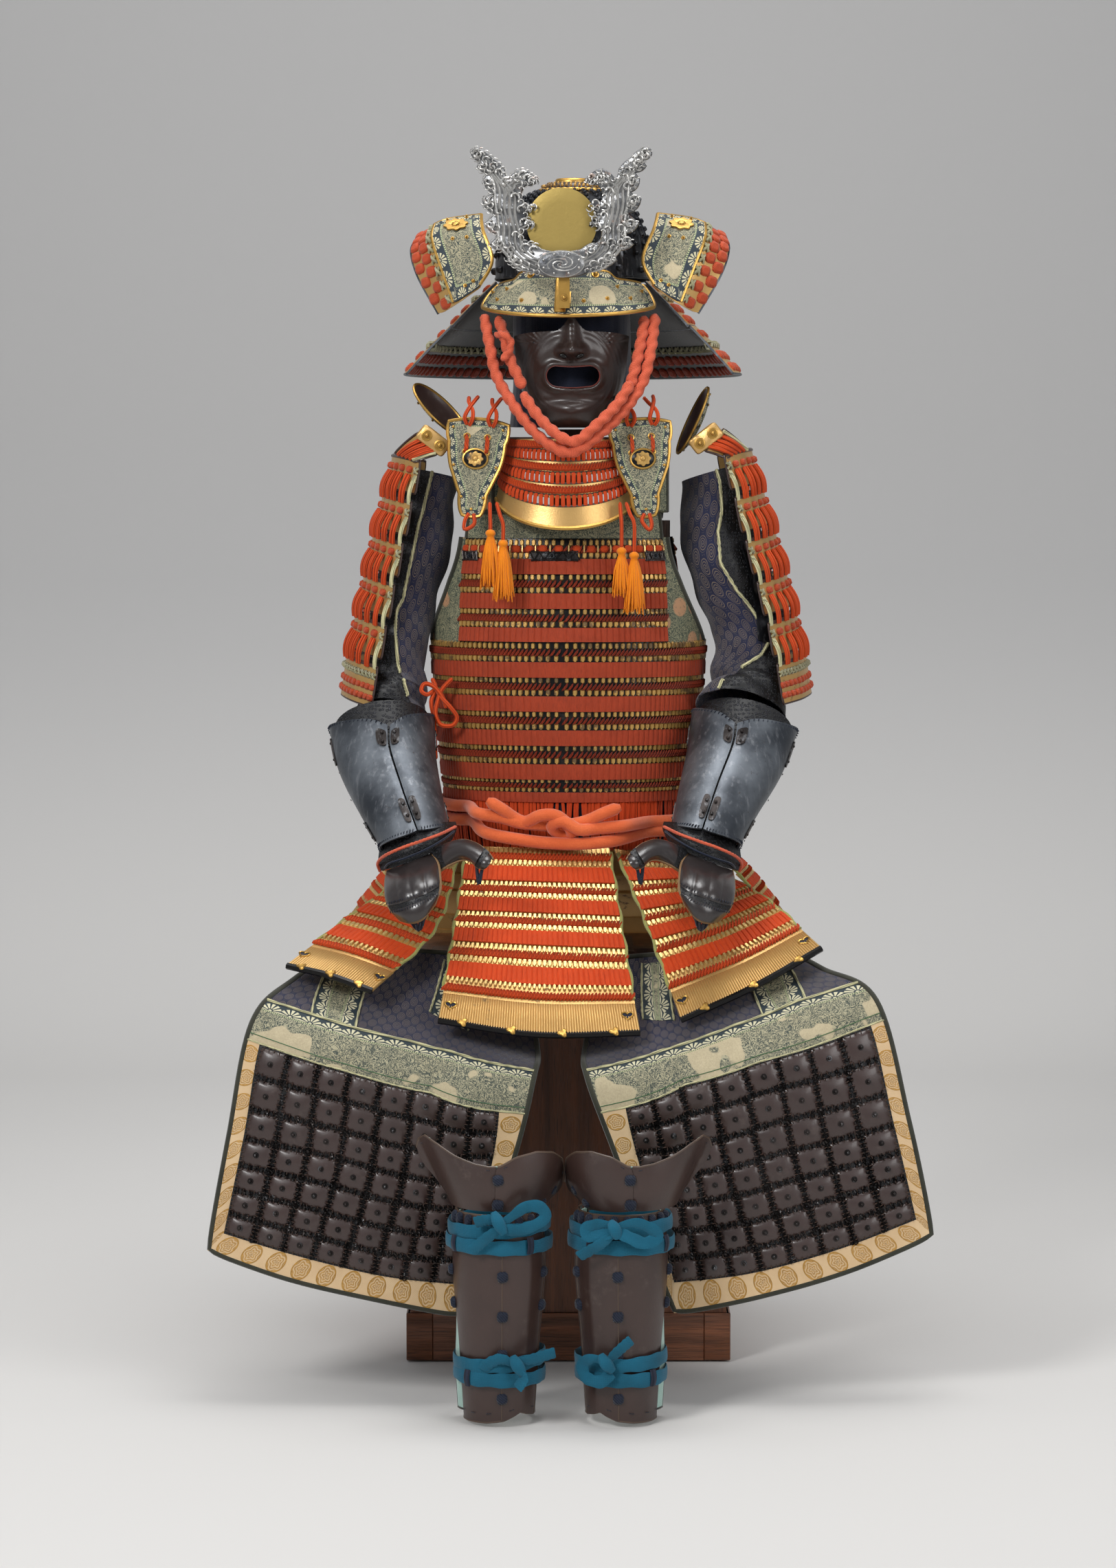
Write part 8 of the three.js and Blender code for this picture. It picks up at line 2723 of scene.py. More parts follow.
@dataclass
class ShoulderGuards:
    """Six gilt lames over each upper arm, hung on pairs of orange cords."""

    lames: int = 6
    columns: int = 10

    def build(self) -> None:
        """Makes both guards."""
        plates, rims = Part("guard_lames"), Part("guard_rims")
        strands, braids = Part("guard_strands"), Part("guard_cream_braids")
        laces = LacedPlate("guard", "laced_lames")
        for rows, inside in ((GUARD_LEFT, (-150, -95, 1070)), (GUARD_RIGHT, (150, -95, 1070))):
            s = net(rows, inside)
            for k in range(self.lames):
                self.lame(s, k, plates, rims, laces)
                if k < self.lames - 1:
                    self.lacing(s, k, strands, braids)
            self.head(-1 if inside[0] < 0 else 1, plates, rims, strands, braids)
        plates.build(GILT_PLATE, "gilt_lames", ["shoulder_guard_left", "shoulder_guard_right"])
        rims.build(BROWN_LACQUER, "gilt_lames")
        strands.build(ORANGE_BRAID, "laced_lames")
        braids.build(CREAM_SILK, "laced_lames")
        laces.build(CORAL_BLOB, NAVY_SILK)

    def place(self, k: int, f: Array | float) -> Array | float:
        """Place down the guard of a share of one lame."""
        return np.clip((k + np.asarray(f)) / self.lames, 0, 1)

    def lame(self, s: Surface, k: int, plates: Part, rims: Part, laces: LacedPlate) -> None:
        """Adds one lame with its brown rims and its knots.

        Args:
            s: The guard's surface.
            k: Number of the lame from the top.
            plates: Gilt plates.
            rims: Brown rims.
            laces: Knots.
        """
        last = k == self.lames - 1
        tall = 0.99 if last else 0.80
        u, v = panel_grid(28, 7, 0.02, 6)
        out = 0.0066 - 0.0034 * v
        plates.shell(s.at(u, self.place(k, 0.02 + tall * v), out),
                     s.at(u, self.place(k, 0.02 + tall * v), out - 0.0026))
        a, b = softened(*square(36), 0.02, 6)
        rims.tube(s.at(a, self.place(k, 0.02 + tall * b), 0.0053 - 0.0034 * b), 0.0017, 6, loop=True)
        rims.tube(s.at(np.linspace(0, 1, 36), self.place(k, 0.045), 0.0060), 0.0024, 6)
        n = self.columns
        at = 0.07 + 0.86 * (np.arange(n) + 0.5) / n
        ends = np.array([0.026, 0.974])
        if last:
            many = (np.arange(26) + 0.5) / 26
            laces.crosses.on(s, many, self.place(k, 0.27), 0.0058, (0.0072, 0.0088, 0.0076))
            for f in (0.55, 0.80):
                knots = (np.arange(20) + 0.5) / 20
                laces.knots.on(s, knots, self.place(k, f), 0.0044, (0.0098, 0.0092, 0.0056))
            return
        laces.knots.on(s, at, self.place(k, 0.28), 0.0058, (0.0108, 0.0100, 0.0064))
        laces.crosses.on(s, ends, self.place(k, 0.28), 0.0058, (0.0080, 0.0094, 0.0080))
        laces.crosses.on(s, ends, self.place(k, 0.50), 0.0052, (0.0066, 0.0074, 0.0070))

    def lacing(self, s: Surface, k: int, strands: Part, braids: Part) -> None:
        """Adds the cords that run from one lame down to the next.

        Args:
            s: The guard's surface.
            k: Number of the lame from the top.
            strands: Orange cords.
            braids: Cream braids at the front and back edges.
        """
        rng = np.random.default_rng(60 + k)
        down = self.place(k, np.linspace(0.40, 1.09, 9))
        rise = 0.0048 + 0.0062 * np.sin(np.linspace(0.1, 2.7, 9))
        for u in 0.07 + 0.86 * (np.arange(self.columns) + 0.5) / self.columns:
            for shift in (-0.0115, 0.0115):
                x = u + shift + rng.normal(0, 0.0012)
                strands.tube(s.at(x + 0 * down, down, rise + rng.random() * 0.0012), 0.0026, 6)
        for u in (0.018, 0.036, 0.964, 0.982):
            braids.tube(s.at(u + 0 * down, down, rise - 0.0008), 0.0021, 6)

    def head(self, side: int, plates: Part, rims: Part, strands: Part, braids: Part) -> None:
        """Adds the slanted plate between the gilt block and the first lame.

        Args:
            side: -1 for the viewer's left, 1 for the right.
            plates: Gilt plates.
            rims: Brown rims.
            strands: Orange cords.
            braids: Cream braids.
        """
        rows = [[(-204, -198, 1270), (-190, -200, 1253), (-178, -201, 1240)],
                [(-222, -184, 1256), (-206, -196, 1245), (-192, -203, 1236)],
                [(-237, -168, 1242), (-222, -186, 1237), (-208, -201, 1230)]]
        if side > 0:
            rows = [[(x, y, z + 5) for x, y, z in row] for row in mirrored(rows, 3)]
        s = net(rows, (side * 190, -120, 1210))
        u, v = panel_grid(12, 10)
        plates.shell(s.at(u, v, 0.0), s.at(u, v, -0.0026))
        rims.tube(s.at(*softened(*square(14), 0.03), 0.0), 0.0018, 6, loop=True)
        run = np.linspace(0, 1, 9)
        for x in (0.24, 0.42, 0.6, 0.78):
            strands.tube(s.at(x if side < 0 else 1 - x, run, 0.0022 + 0.004 * np.sin(run * math.pi)), 0.0030, 6)
        braids.tube(s.at(0.93 if side < 0 else 0.07, run, 0.0034), 0.0024, 6)


# ---------------------------------------------------------------- arms
ARM_LEFT = [(-190, -100, 1214, 78, 112), (-208, -106, 1120, 84, 118), (-230, -122, 1010, 84, 116),
            (-235, -146, 930, 84, 98), (-242, -168, 888, 90, 92)]
ARM_RIGHT = [(196, -100, 1214, 78, 112), (222, -106, 1120, 88, 118), (248, -122, 1010, 94, 116),
             (248, -150, 930, 100, 108), (242, -178, 888, 108, 104)]
FORE_LEFT = [(-254, -186, 874, 138, 116), (-246, -226, 826, 128, 108), (-226, -276, 774, 108, 96),
             (-206, -318, 730, 90, 84)]
FORE_RIGHT = [(240, -186, 876, 140, 116), (226, -226, 828, 128, 108), (202, -276, 776, 106, 96),
              (184, -318, 732, 88, 84)]
PIPING_LEFT = [(1214, 6), (1142, 0), (1037, 0), (1019, -7), (978, -4), (939, 3), (908, 19), (888, 38)]
PIPING_RIGHT = [(1214, 8), (1198, 7), (1161, -3), (1133, -15), (1090, -20), (1047, -12), (1016, 3), (988, 16),
                (969, 26), (948, 14), (931, -13), (906, -24), (888, -34)]


def limb(rows: Rows, swell: Callable[[Array, Array], Array] | None = None) -> Surface:
    """Tube through oval stations.

    Args:
        rows: Middle x, y, z, width and depth of each station from the top, in millimetres.
        swell: Extra outward reach in metres for arrays of the angle, from the front towards the viewer's right in
            degrees, and of v.

    Returns:
        The surface, with u all the way round from the front.
    """
    table = mm(rows)

    def shape(u: Array, v: Array) -> Array:
        """Points for arrays of u and v."""
        w = weights(len(table), v) @ table
        t = unit((weights(len(table), v + 0.02) - weights(len(table), v - 0.02)) @ table[:, :3])
        side = unit(np.array([1.0, 0, 0]) - t * t[:, :1])
        front = np.cross(side, t)
        a = 2 * math.pi * u - math.pi / 2
        grow = 0 if swell is None else swell(np.degrees(2 * math.pi * u), v)[:, None]
        return (w[:, :3] + side * ((w[:, 3:4] / 2 + grow) * np.cos(a)[:, None])
                + front * ((w[:, 4:5] / 2 + grow) * np.sin(a)[:, None]))

    return Surface(shape, table[:, :3].mean(0), ring=True)


@dataclass
class Sleeves:
    """Armoured sleeves: brocade towards the body, mail outside, twisted piping between."""

    def build(self) -> None:
        """Makes both sleeves."""
        pipes = Part("sleeve_piping")
        for name, rows, piping, side in (("left", ARM_LEFT, PIPING_LEFT, 1), ("right", ARM_RIGHT, PIPING_RIGHT, -1)):
            heights = np.array(rows, float)[:, 2]
            table = np.array(piping[::-1], float)

            def swell(angle: Array, v: Array, side: int = side) -> Array:
                """Folds and puffs of the cloth."""
                a = np.radians(angle)
                body = np.clip(np.cos(a - side * 0.95), 0, 1)
                elbow, cuff = np.exp(-(((v - 0.27) / 0.2) ** 2)), np.exp(-(((v - 1.0) / 0.12) ** 2))
                puff = 0.030 * elbow + 0.016 * cuff if side < 0 else 0.004 * np.sin(v * 7)
                fold = 0.0022 * np.sin(v * 23 + 2.2 * np.sin(a)) + 0.0014 * np.sin(v * 41 - 3 * a)
                return puff * body**1.5 + (fold + 0.0015 * np.sin(3 * a + v * 9))

            s = limb(rows, swell)

            def seam(v: Array, heights: Array = heights, table: Array = table) -> Array:
                """Angle of the piping in degrees."""
                z = weights(len(heights), v) @ heights
                return np.interp(z, table[:, 0], table[:, 1])

            for kind, way, finish in (("brocade", side, BROCADE), ("mail", -side, MAIL)):
                def shape(u: Array, v: Array, way: int = way, s: Surface = s,
                          seam: Callable[[Array], Array] = seam) -> Array:
                    """Points from the piping round to the back seam."""
                    return s.shape((seam(v) + (180 * way - seam(v)) * u) / 360, v)

                half = Surface(shape, s.hollow)
                u, v = np.meshgrid(np.linspace(0, 1, 26), np.linspace(0, 1, 52))
                line = np.linspace(0, 1, 30)
                wide, tall = length_of(half.at(line, 0.5)), length_of(half.at(0.4, line))
                marks = np.stack([u * wide, (1 - v) * tall], -1)
                lift = 0.0 if kind == "brocade" else 0.0012
                part = Part(f"sleeve_{name}_{kind}").shell(half.at(u, v, lift), half.at(u, v, lift - 0.0022), marks)
                obj = part.build(finish, "brocade_sleeve", [f"sleeve_{name}"] if kind == "brocade" else ())
            v = np.linspace(0, 1, 150)
            pipes.tube(s.at(seam(v) / 360, v, 0.0022), 0.0026, 6, plies=2, lay=0.009)
            if side < 0:
                u, v = np.meshgrid(np.linspace(8, 58, 14) / 360, np.linspace(0.27, 0.62, 16))
                plate = Part("upper_arm_plate").shell(s.at(u, v, 0.0058), s.at(u, v, 0.0034))
                plate.build(BLACK_IRON, "black_iron")
        pipes.build(CREAM_SILK, "coral_cord")


@dataclass
class Forearms:
    """Iron splints of the forearms over mail, with the mail and cords at the wrist."""

    wall: float = 0.003

    def build(self) -> None:
        """Makes both forearms."""
        plates, tabs, cloth = Part("forearm_plates"), Part("forearm_tabs"), Part("forearm_mail")
        rivets, stitches = Scatter("forearm_rivets", Shape.RIVET), Scatter("forearm_stitches", Shape.STITCH)
        for rows in (FORE_LEFT, FORE_RIGHT):
            s = limb(rows)
            front = lambda u: np.clip(np.cos(2 * math.pi * u), 0, 1)

            def shape(u: Array, v: Array, s: Surface = s, table: Array = mm(rows)) -> Array:
                """Points of the cut plates: lower at the front of the elbow, longer at the wrist."""
                way = unit(table[2, :3] - table[1, :3])
                point = np.exp(-(((((u + 0.5) % 1) - 0.5) / 0.035) ** 2))
                dip = 0.036 * front(u) + 0.010 * point - 0.006 * np.abs(np.sin(2 * math.pi * u))
                p = s.shape(u, v)
                return p + way * (dip * (1 - v) ** 2 + 0.026 * front(u) * v**2)[:, None]

            cut = Surface(shape, s.hollow, ring=True)
            for side in (-1, 1):
                t = np.linspace(0, 1, 26)
                u = side * (0.0035 + 0.375 * t)
                v = np.linspace(0, 1, 24)[:, None]
                pull = 0.035 * (np.abs(2 * t - 1) ** 6)[None]
                v = 0.5 + (v - 0.5) * (1 - pull)
                bulge = 0.0036 * np.sin(math.pi * np.clip(t * 1.25, 0, 1)) ** 0.6
                plates.shell(cut.at(u[None], v, bulge[None] + 0.0008),
                             cut.at(u[None], v, bulge[None] - self.wall + 0.0008))
                for v0, v1 in ((0.10, 0.30), (0.74, 0.92)):
                    a, b = softened(*np.meshgrid(np.linspace(0, 1, 9), np.linspace(0, 1, 12)), 0.16, 3)
                    at = side * (0.006 + 0.030 * a)
                    lift = 0.0044 * np.sin(math.pi * np.clip((np.abs(at) - 0.0035) / 0.375 * 1.25, 0, 1)) ** 0.6
                    tabs.shell(cut.at(at, v0 + (v1 - v0) * b, lift + 0.0022),
                               cut.at(at, v0 + (v1 - v0) * b, lift + 0.0002))
                    at = side * np.array([0.018, 0.018])
                    rivets.on(cut, at, np.array([v0 + 0.045, v1 - 0.045]), 0.0046, (0.0050, 0.0050, 0.0036))
                    a, b = softened(*np.meshgrid(np.linspace(0, 1, 7), np.linspace(0, 1, 12)), 0.12, 4)
                    far = side * (0.235 + 0.022 * a)
                    tabs.shell(cut.at(far, v0 + 0.02 + (v1 - v0) * b, 0.0052),
                               cut.at(far, v0 + 0.02 + (v1 - v0) * b, 0.0026))
                    rivets.on(cut, side * np.array([0.246, 0.246]), np.array([v0 + 0.06, v1 - 0.02]), 0.0050,
                              (0.0042, 0.0042, 0.0032))
                edge = side * np.linspace(0.02, 0.36, 26)
                for v0 in (0.018, 0.982):
                    stitches.on(cut, edge, v0, 0.0034, (0.0042, 0.0030, 0.0036), spin=70)
                rivets.on(cut, side * np.full(5, 0.30), np.linspace(0.12, 0.9, 5), 0.0034, (0.0030, 0.0030, 0.0022))
            u, v = np.meshgrid(np.linspace(0, 1, 48, endpoint=False), np.linspace(0, 1, 18))
            cloth.shell(s.at(u, v, -0.0042), s.at(u, v, -0.0062), ring=True)
        plates.build(GREY_IRON, "grey_iron", ["forearm_left", "forearm_right"])
        tabs.build(DARK_IRON, "grey_iron")
        cover = cloth.build(MAIL, "brocade_sleeve")
        rivets.build(DARK_IRON, "grey_iron", 0.03, 51)
        stitches.build(NAVY_SILK, "grey_iron", 0.05, 52)
        self.wrists()

    def wrists(self) -> None:
        """Mail and cords between forearm and hand."""
        rows = [[(-252, -300, 716), (-236, -334, 728), (-204, -352, 744), (-170, -340, 752), (-152, -304, 750)],
                [(-253, -322, 700), (-233, -356, 712), (-201, -369, 725), (-169, -356, 738), (-150, -318, 742)],
                [(-249, -336, 688), (-228, -362, 696), (-202, -370, 706), (-176, -362, 718), (-156, -336, 728)]]
        mail = Part("wrist_mail")
        coral = [(-252, -312, 684), (-254, -336, 698), (-243, -366, 711), (-219, -380, 723), (-193, -378, 732),
                 (-170, -360, 739), (-150, -324, 746)]
        navy = [(-247, -332, 688), (-238, -361, 700), (-215, -376, 709), (-189, -377, 720), (-166, -362, 732),
                (-152, -334, 741)]
        for name, flip in (("left", False), ("right", True)):
            table = mirrored(rows, -12) if flip else rows
            s = net(table, (178 if flip else -202, -280, 690))
            u, v = np.meshgrid(np.linspace(0, 1, 26), np.linspace(0, 1, 12))
            mail.shell(s.at(u, v, 0.0012), s.at(u, v, -0.0012))
            for kind, route, wide, finish in (("coral", coral, 0.0046, CORAL_CORD),
                                              ("navy", navy, 0.0030, NAVY_SILK)):
                path = mirrored([route], -12)[0] if flip else route
                CordWork().cord(f"wrist_{kind}_cord_{name}", path, wide, finish, "coral_cord", "taut",
                                plies=2 if kind == "coral" else 0, count=70)
        obj = mail.build(MAIL, "brocade_sleeve")


@dataclass
class Hands:
    """Lacquered hand guards: fluted back plate, finger ends and thumb piece joined by mail."""

    wall: float = 0.0028
    loop: float = 0.0021

    def build(self) -> None:
        """Makes both hands."""
        back = [[(-242, -345, 690), (-222, -362, 696), (-202, -368, 705), (-183, -358, 714)],
                [(-243, -385, 677), (-220, -405, 685), (-196, -410, 693), (-173, -396, 705)],
                [(-241, -418, 662), (-217, -440, 670), (-193, -444, 679), (-169, -430, 690)],
                [(-235, -432, 647), (-213, -452, 654), (-190, -456, 663), (-168, -447, 674)],
                [(-222, -438, 633), (-206, -455, 632), (-190, -458, 638), (-174, -450, 656)]]
        thumb = [[(-183, -362, 716), (-160, -376, 729), (-140, -392, 735), (-122, -408, 732), (-107, -422, 723),
                  (-99, -430, 713)],
                 [(-174, -384, 706), (-158, -398, 716), (-142, -410, 722), (-127, -424, 719), (-115, -434, 711),
                  (-104, -437, 705)],
                 [(-171, -398, 694), (-157, -404, 703), (-141, -412, 710), (-129, -422, 709), (-120, -430, 702),
                  (-111, -432, 699)]]
        plates, mail = Part("hand_plates"), Part("hand_mail")
        edges, loops = Part("hand_leather_edges"), Part("hand_silk_loops")
        stitches = Scatter("hand_stitches", Shape.STITCH)
        for flip in (False, True):
            s = net(mirrored(back, -12) if flip else back, (178 if flip else -202, -340, 620))
            t = net(mirrored(thumb, -12) if flip else thumb, (118 if flip else -142, -370, 690))
            u, v = panel_grid(48, 24, 0.05, 4)
            flutes = 0.0019 * np.abs(np.sin(4 * math.pi * np.clip(u * 1.04 - 0.02, 0,
                                                                  1))) ** 0.55 * np.clip((v - 0.3) * 4, 0, 1)
            dome_up = 0.005 * np.sin(math.pi * u) ** 0.7 * (0.35 + 0.65 * np.sin(math.pi * v) ** 0.6)
            plates.shell(s.at(u, 0.70 * v, flutes + dome_up), s.at(u, 0.70 * v, flutes + dome_up - self.wall))
            u, v = panel_grid(26, 12, 0.10, 3)
            rise = 0.0055 * np.sin(math.pi * u) ** 0.6 * np.sin(math.pi * (0.12 + 0.76 * v)) ** 0.6
            plates.shell(s.at(u, 0.775 + 0.22 * v, rise), s.at(u, 0.775 + 0.22 * v, rise - self.wall))
            u, v = panel_grid(30, 8)
            puff = 0.0032 * np.sin(math.pi * u) ** 0.7
            mail.shell(s.at(u, 0.67 + 0.14 * v, puff - 0.0004), s.at(u, 0.67 + 0.14 * v, puff - 0.0024))
            # thumb: root mail, long plate, mail, rounded cap
            u, v = panel_grid(8, 12)
            mail.shell(t.at(0.15 * u, v, 0.0010), t.at(0.15 * u, v, -0.0010))
            mail.shell(t.at(0.74 + 0.12 * u, v, 0.0014), t.at(0.74 + 0.12 * u, v, -0.0010))
            u, v = panel_grid(24, 10, 0.06, 4)
            rise = 0.0042 * np.sin(math.pi * v) ** 0.7
            plates.shell(t.at(0.13 + 0.63 * u, v, rise + 0.0004), t.at(0.13 + 0.63 * u, v, rise - self.wall + 0.0004))
            u, v = panel_grid(14, 11, 0.34, 2.2)
            rise = 0.0050 * np.sin(math.pi * v) ** 0.6 * np.sin(math.pi * (0.2 + 0.6 * u)) ** 0.5
            plates.shell(t.at(0.845 + 0.155 * u, v, rise), t.at(0.845 + 0.155 * u, v, rise - self.wall))
            line = np.linspace(0, 1, 40)
            edges.tube(s.at(1.0, line, -0.0016), 0.0022, 6)
            edges.tube(s.at(0.0, line, -0.0016), 0.0017, 6)
            edges.tube(s.at(line, 1.0, -0.0016), 0.0022, 6)
            edges.tube(t.at(line, 1.0, -0.0014), 0.0020, 6)
            edges.tube(t.at(line, 0.0, -0.0014), 0.0015, 6)
            for at in (0.655, 0.80):
                stitches.on(s, np.linspace(0.05, 0.95, 20), at, 0.0046, (0.0034, 0.0024, 0.0028), spin=80)
            droop = np.array([[0, 0.002, -0.001], [0, 0.002, -0.010], [0, 0.002, -0.012], [0, 0, -0.002]])
            for k in range(4):
                along = 0.3 + 0.14 * k + np.array([0, -0.06, 0.03, 0.13])
                run = s.at(along, 1.0, np.array([-0.004, -0.013, -0.017, -0.006])) + droop
                loops.tube(curve(run, 14), self.loop, 6)
            foot = t.at(np.array([0.70, 0.80, 0.93]), 1.0, -0.004)
            for k in range(3):
                droop = np.array([[0, 0.003 + 0.002 * k, 0], [0, 0.002, -0.016 - 0.004 * k], [0, 0.003, -0.002]])
                loops.tube(curve(foot + droop, 14), self.loop, 6)
        plates.build(HAND_LACQUER, "brown_iron", ["hand_guard_left", "hand_guard_right"])
        mail.build(MAIL, "brocade_sleeve")
        edges.build(TAN_LEATHER, "brown_iron")
        loops.build(NAVY_SILK, "brown_iron")
        stitches.build(NAVY_SILK, "brown_iron", 0.05, 54)


# ---------------------------------------------------------------- thigh guards
THIGH_LEFT = [[(-290, -280, 584), (-222, -298, 578), (-146, -300, 572), (-66, -300, 566)],
              [(-362, -372, 549), (-260, -396, 522), (-150, -400, 490), (-42, -396, 462)],
              [(-414, -446, 500), (-292, -472, 466), (-165, -472, 432), (-46, -462, 430)],
              [(-444, -462, 352), (-312, -482, 330), (-186, -484, 300), (-72, -476, 326)],
              [(-472, -470, 202), (-364, -486, 168), (-252, -488, 142), (-140, -482, 118)]]
THIGH_RIGHT = [[(50, -300, 566), (126, -300, 572), (200, -298, 580), (268, -280, 590)],
               [(22, -396, 464), (130, -400, 496), (236, -396, 526), (334, -370, 562)],
               [(24, -462, 430), (146, -472, 436), (276, -472, 474), (402, -442, 528)],
               [(62, -476, 328), (178, -484, 304), (308, -482, 334), (444, -460, 372)],
               [(138, -482, 121), (250, -488, 146), (362, -486, 178), (476, -470, 222)]]


@dataclass
class ThighGuard:
    """One draped thigh guard: brocade, a printed leather band and sewn lacquered plates.

    Attributes:
        name: Side.
        rows: Points of its surface.
        middle: Inner side.
        piping: Places across and down of the band's upper piping.
        low: Places across and down of the band's lower edge.
        mirror: Whether its columns run the other way.
        tabs: Corners across and down of the leather tabs above the band.
    """

    name: str
    rows: list[Rows]
    middle: tuple[float, float, float]
    piping: tuple[tuple[float, ...], tuple[float, ...]]
    low: tuple[tuple[float, ...], tuple[float, ...]]
    mirror: bool
    tabs: tuple[tuple[tuple[float, float], ...], ...]
    base: Surface = field(init=False)

    def __post_init__(self) -> None:
        """Makes its surface."""
        self.base = net(self.rows, self.middle)

    def pipe(self, u: Array) -> Array:
        """Place down of the band's upper edge."""
        return np.interp(u, *self.piping)

    def foot(self, u: Array) -> Array:
        """Place down of the band's lower edge."""
        return np.interp(u, *self.low)

    def lattice(self, a: Array, b: Array) -> tuple[Array, Array]:
        """Place of a share across and down the field of plates."""
        a = 1 - a if self.mirror else a
        u = 0.048 + (0.826 + 0.084 * b) * a + 0.02 * a**6 * (1 - b)
        u = 1 - u if self.mirror else u
        top = self.foot(u) + 0.002
        return u, top + (0.953 - top) * (b + 0.25 * b * (1 - b))

    def build(self) -> None:
        """Makes the whole guard."""
        s = self.base
        u, v = panel_grid(44, 50, 0.012, 16)
        wide, tall = length_of(s.at(np.linspace(0, 1, 60), 0.6)), length_of(s.at(0.5, np.linspace(0, 1, 60)))
        cloth = Part(f"thigh_guard_{self.name}_cloth").shell(s.at(u, v, 0.0), s.at(u, v, -0.0024),
                                                             np.stack([u * wide, (1 - v) * tall], -1))
        base = cloth.build(BROCADE, "thigh_cloth", [f"thigh_guard_{self.name}"])
        outer = s.at(u, v)
        area = float(np.linalg.norm(np.cross(outer[1:, :-1] - outer[:-1, :-1], outer[:-1, 1:] - outer[:-1, :-1]),
                                    axis=-1).sum())
        pieces = [self.leather(wide, tall), self.border(wide), *self.plates()]
        edge = s.at(*softened(*square(48), 0.012, 16), -0.0008)
        binding = Part(f"thigh_guard_{self.name}_binding").tube(edge, 0.0040, 7, loop=True)
        pieces.append(binding.build(OLIVE, "thigh_cloth"))

    def leather(self, wide: float, tall: float) -> bpy.types.Object:
        """Printed leather band with its tabs, pipings and green stitched line.

        Args:
            wide: Width of the guard in metres.
            tall: Its length down.

        Returns:
            The band.
        """
        s = self.base
        band_part, pipes = Part(f"thigh_band_{self.name}"), Part(f"thigh_pipings_{self.name}")
        green = Part(f"thigh_green_stitch_{self.name}")
        u, t = np.meshgrid(np.linspace(0.004, 0.996, 70), np.linspace(0, 1, 14))
        top, low = self.pipe(u), self.foot(u)
        v = top + (low - top) * t
        band_part.shell(s.at(u, v, 0.0012), s.at(u, v, 0.0002), np.stack([u * wide, (v - top) * tall], -1))
        line = np.linspace(0.004, 0.996, 110)
        pipes.tube(s.at(line, self.pipe(line), 0.0020), 0.0021, 6, plies=2, lay=0.0075)
        pipes.tube(s.at(line, self.foot(line), 0.0018), 0.0014, 6, plies=2, lay=0.0055)
        green.tube(s.at(line, self.foot(line) - 0.018, 0.0014), 0.0006, 5)
        for corners in self.tabs:
            left, right = np.array(corners[:2]), np.array(corners[2:])
            p, q = np.meshgrid(np.linspace(0, 1, 14), np.linspace(0, 1, 18))
            lu = left[0, 0] + (left[1, 0] - left[0, 0]) * q
            ru = right[0, 0] + (right[1, 0] - right[0, 0]) * q
            uu = lu + (ru - lu) * p
            bottom = np.minimum(self.pipe(uu), left[1, 1] + (right[1, 1] - left[1, 1]) * p + 0.02)
            vv = left[0, 1] + (bottom - left[0, 1]) * q
            span = np.abs(ru - lu) * wide
            band_part.shell(s.at(uu, vv, 0.0011), s.at(uu, vv, 0.0001),
                            np.stack([vv * tall, np.minimum(p, 1 - p) * span], -1))
            for x in (0, -1):
                path = curve(np.stack([uu[:, x], vv[:, x]], 1), 40, False)
                pipes.tube(s.at(path[:, 0], path[:, 1], 0.0018), 0.0018, 6, plies=2, lay=0.0065)
        obj = band_part.build(BAND_LEATHER, "printed_leather")
        pipes.build(CREAM_SILK, "thigh_cloth")
        green.build(GREEN_LINE, "thigh_cloth")
        return obj

    def border(self, wide: float) -> bpy.types.Object:
        """Cream border with gold roundels along the sides and foot.

        Args:
            wide: Width of the guard in metres.

        Returns:
            The border.
        """
        s = self.base
        part = Part(f"thigh_border_{self.name}")
        t = np.linspace(0, 1, 44)
        for edge in (0.0, 1.0):
            iu, iv = self.lattice(np.full(44, edge), t)
            edge_u = np.full(44, edge)
            start = self.foot(edge_u)
            ov = start + (0.998 - start) * (t + 0.25 * t * (1 - t))
            share = np.linspace(0, 1, 6)[None]
            uu, vv = iu[:, None] + (edge_u - iu)[:, None] * share, iv[:, None] + (ov - iv)[:, None] * share
            broad = np.abs(edge_u - iu).mean() * wide
            steps = np.linalg.norm(np.diff(s.at(0.5 * (iu + edge_u), ov), axis=0), axis=1)
            run = np.concatenate([[0], np.cumsum(steps)])
            marks = np.stack([np.broadcast_to(run[:, None], uu.shape),
                              np.broadcast_to((share - 0.5) * broad, uu.shape)], -1)
            part.shell(s.at(uu, vv, 0.0016), s.at(uu, vv, 0.0002), marks)
        a = np.linspace(0, 1, 70)
        iu, iv = self.lattice(a, np.full(70, 1.0))
        ou = a
        share = np.linspace(0, 1, 6)[:, None]
        uu, vv = iu[None] + (ou - iu)[None] * share, iv[None] + (0.998 - iv)[None] * share
        run = np.concatenate([[0], np.cumsum(np.linalg.norm(np.diff(s.at(0.5 * (iu + ou), 0.986), axis=0), axis=1))])
        marks = np.stack([np.broadcast_to(run[None], uu.shape), np.broadcast_to((share - 0.5) * 0.024, uu.shape)], -1)
        part.shell(s.at(uu, vv, 0.0017), s.at(uu, vv, 0.0003), marks)
        return part.build(ROUNDELS, "thigh_cloth")

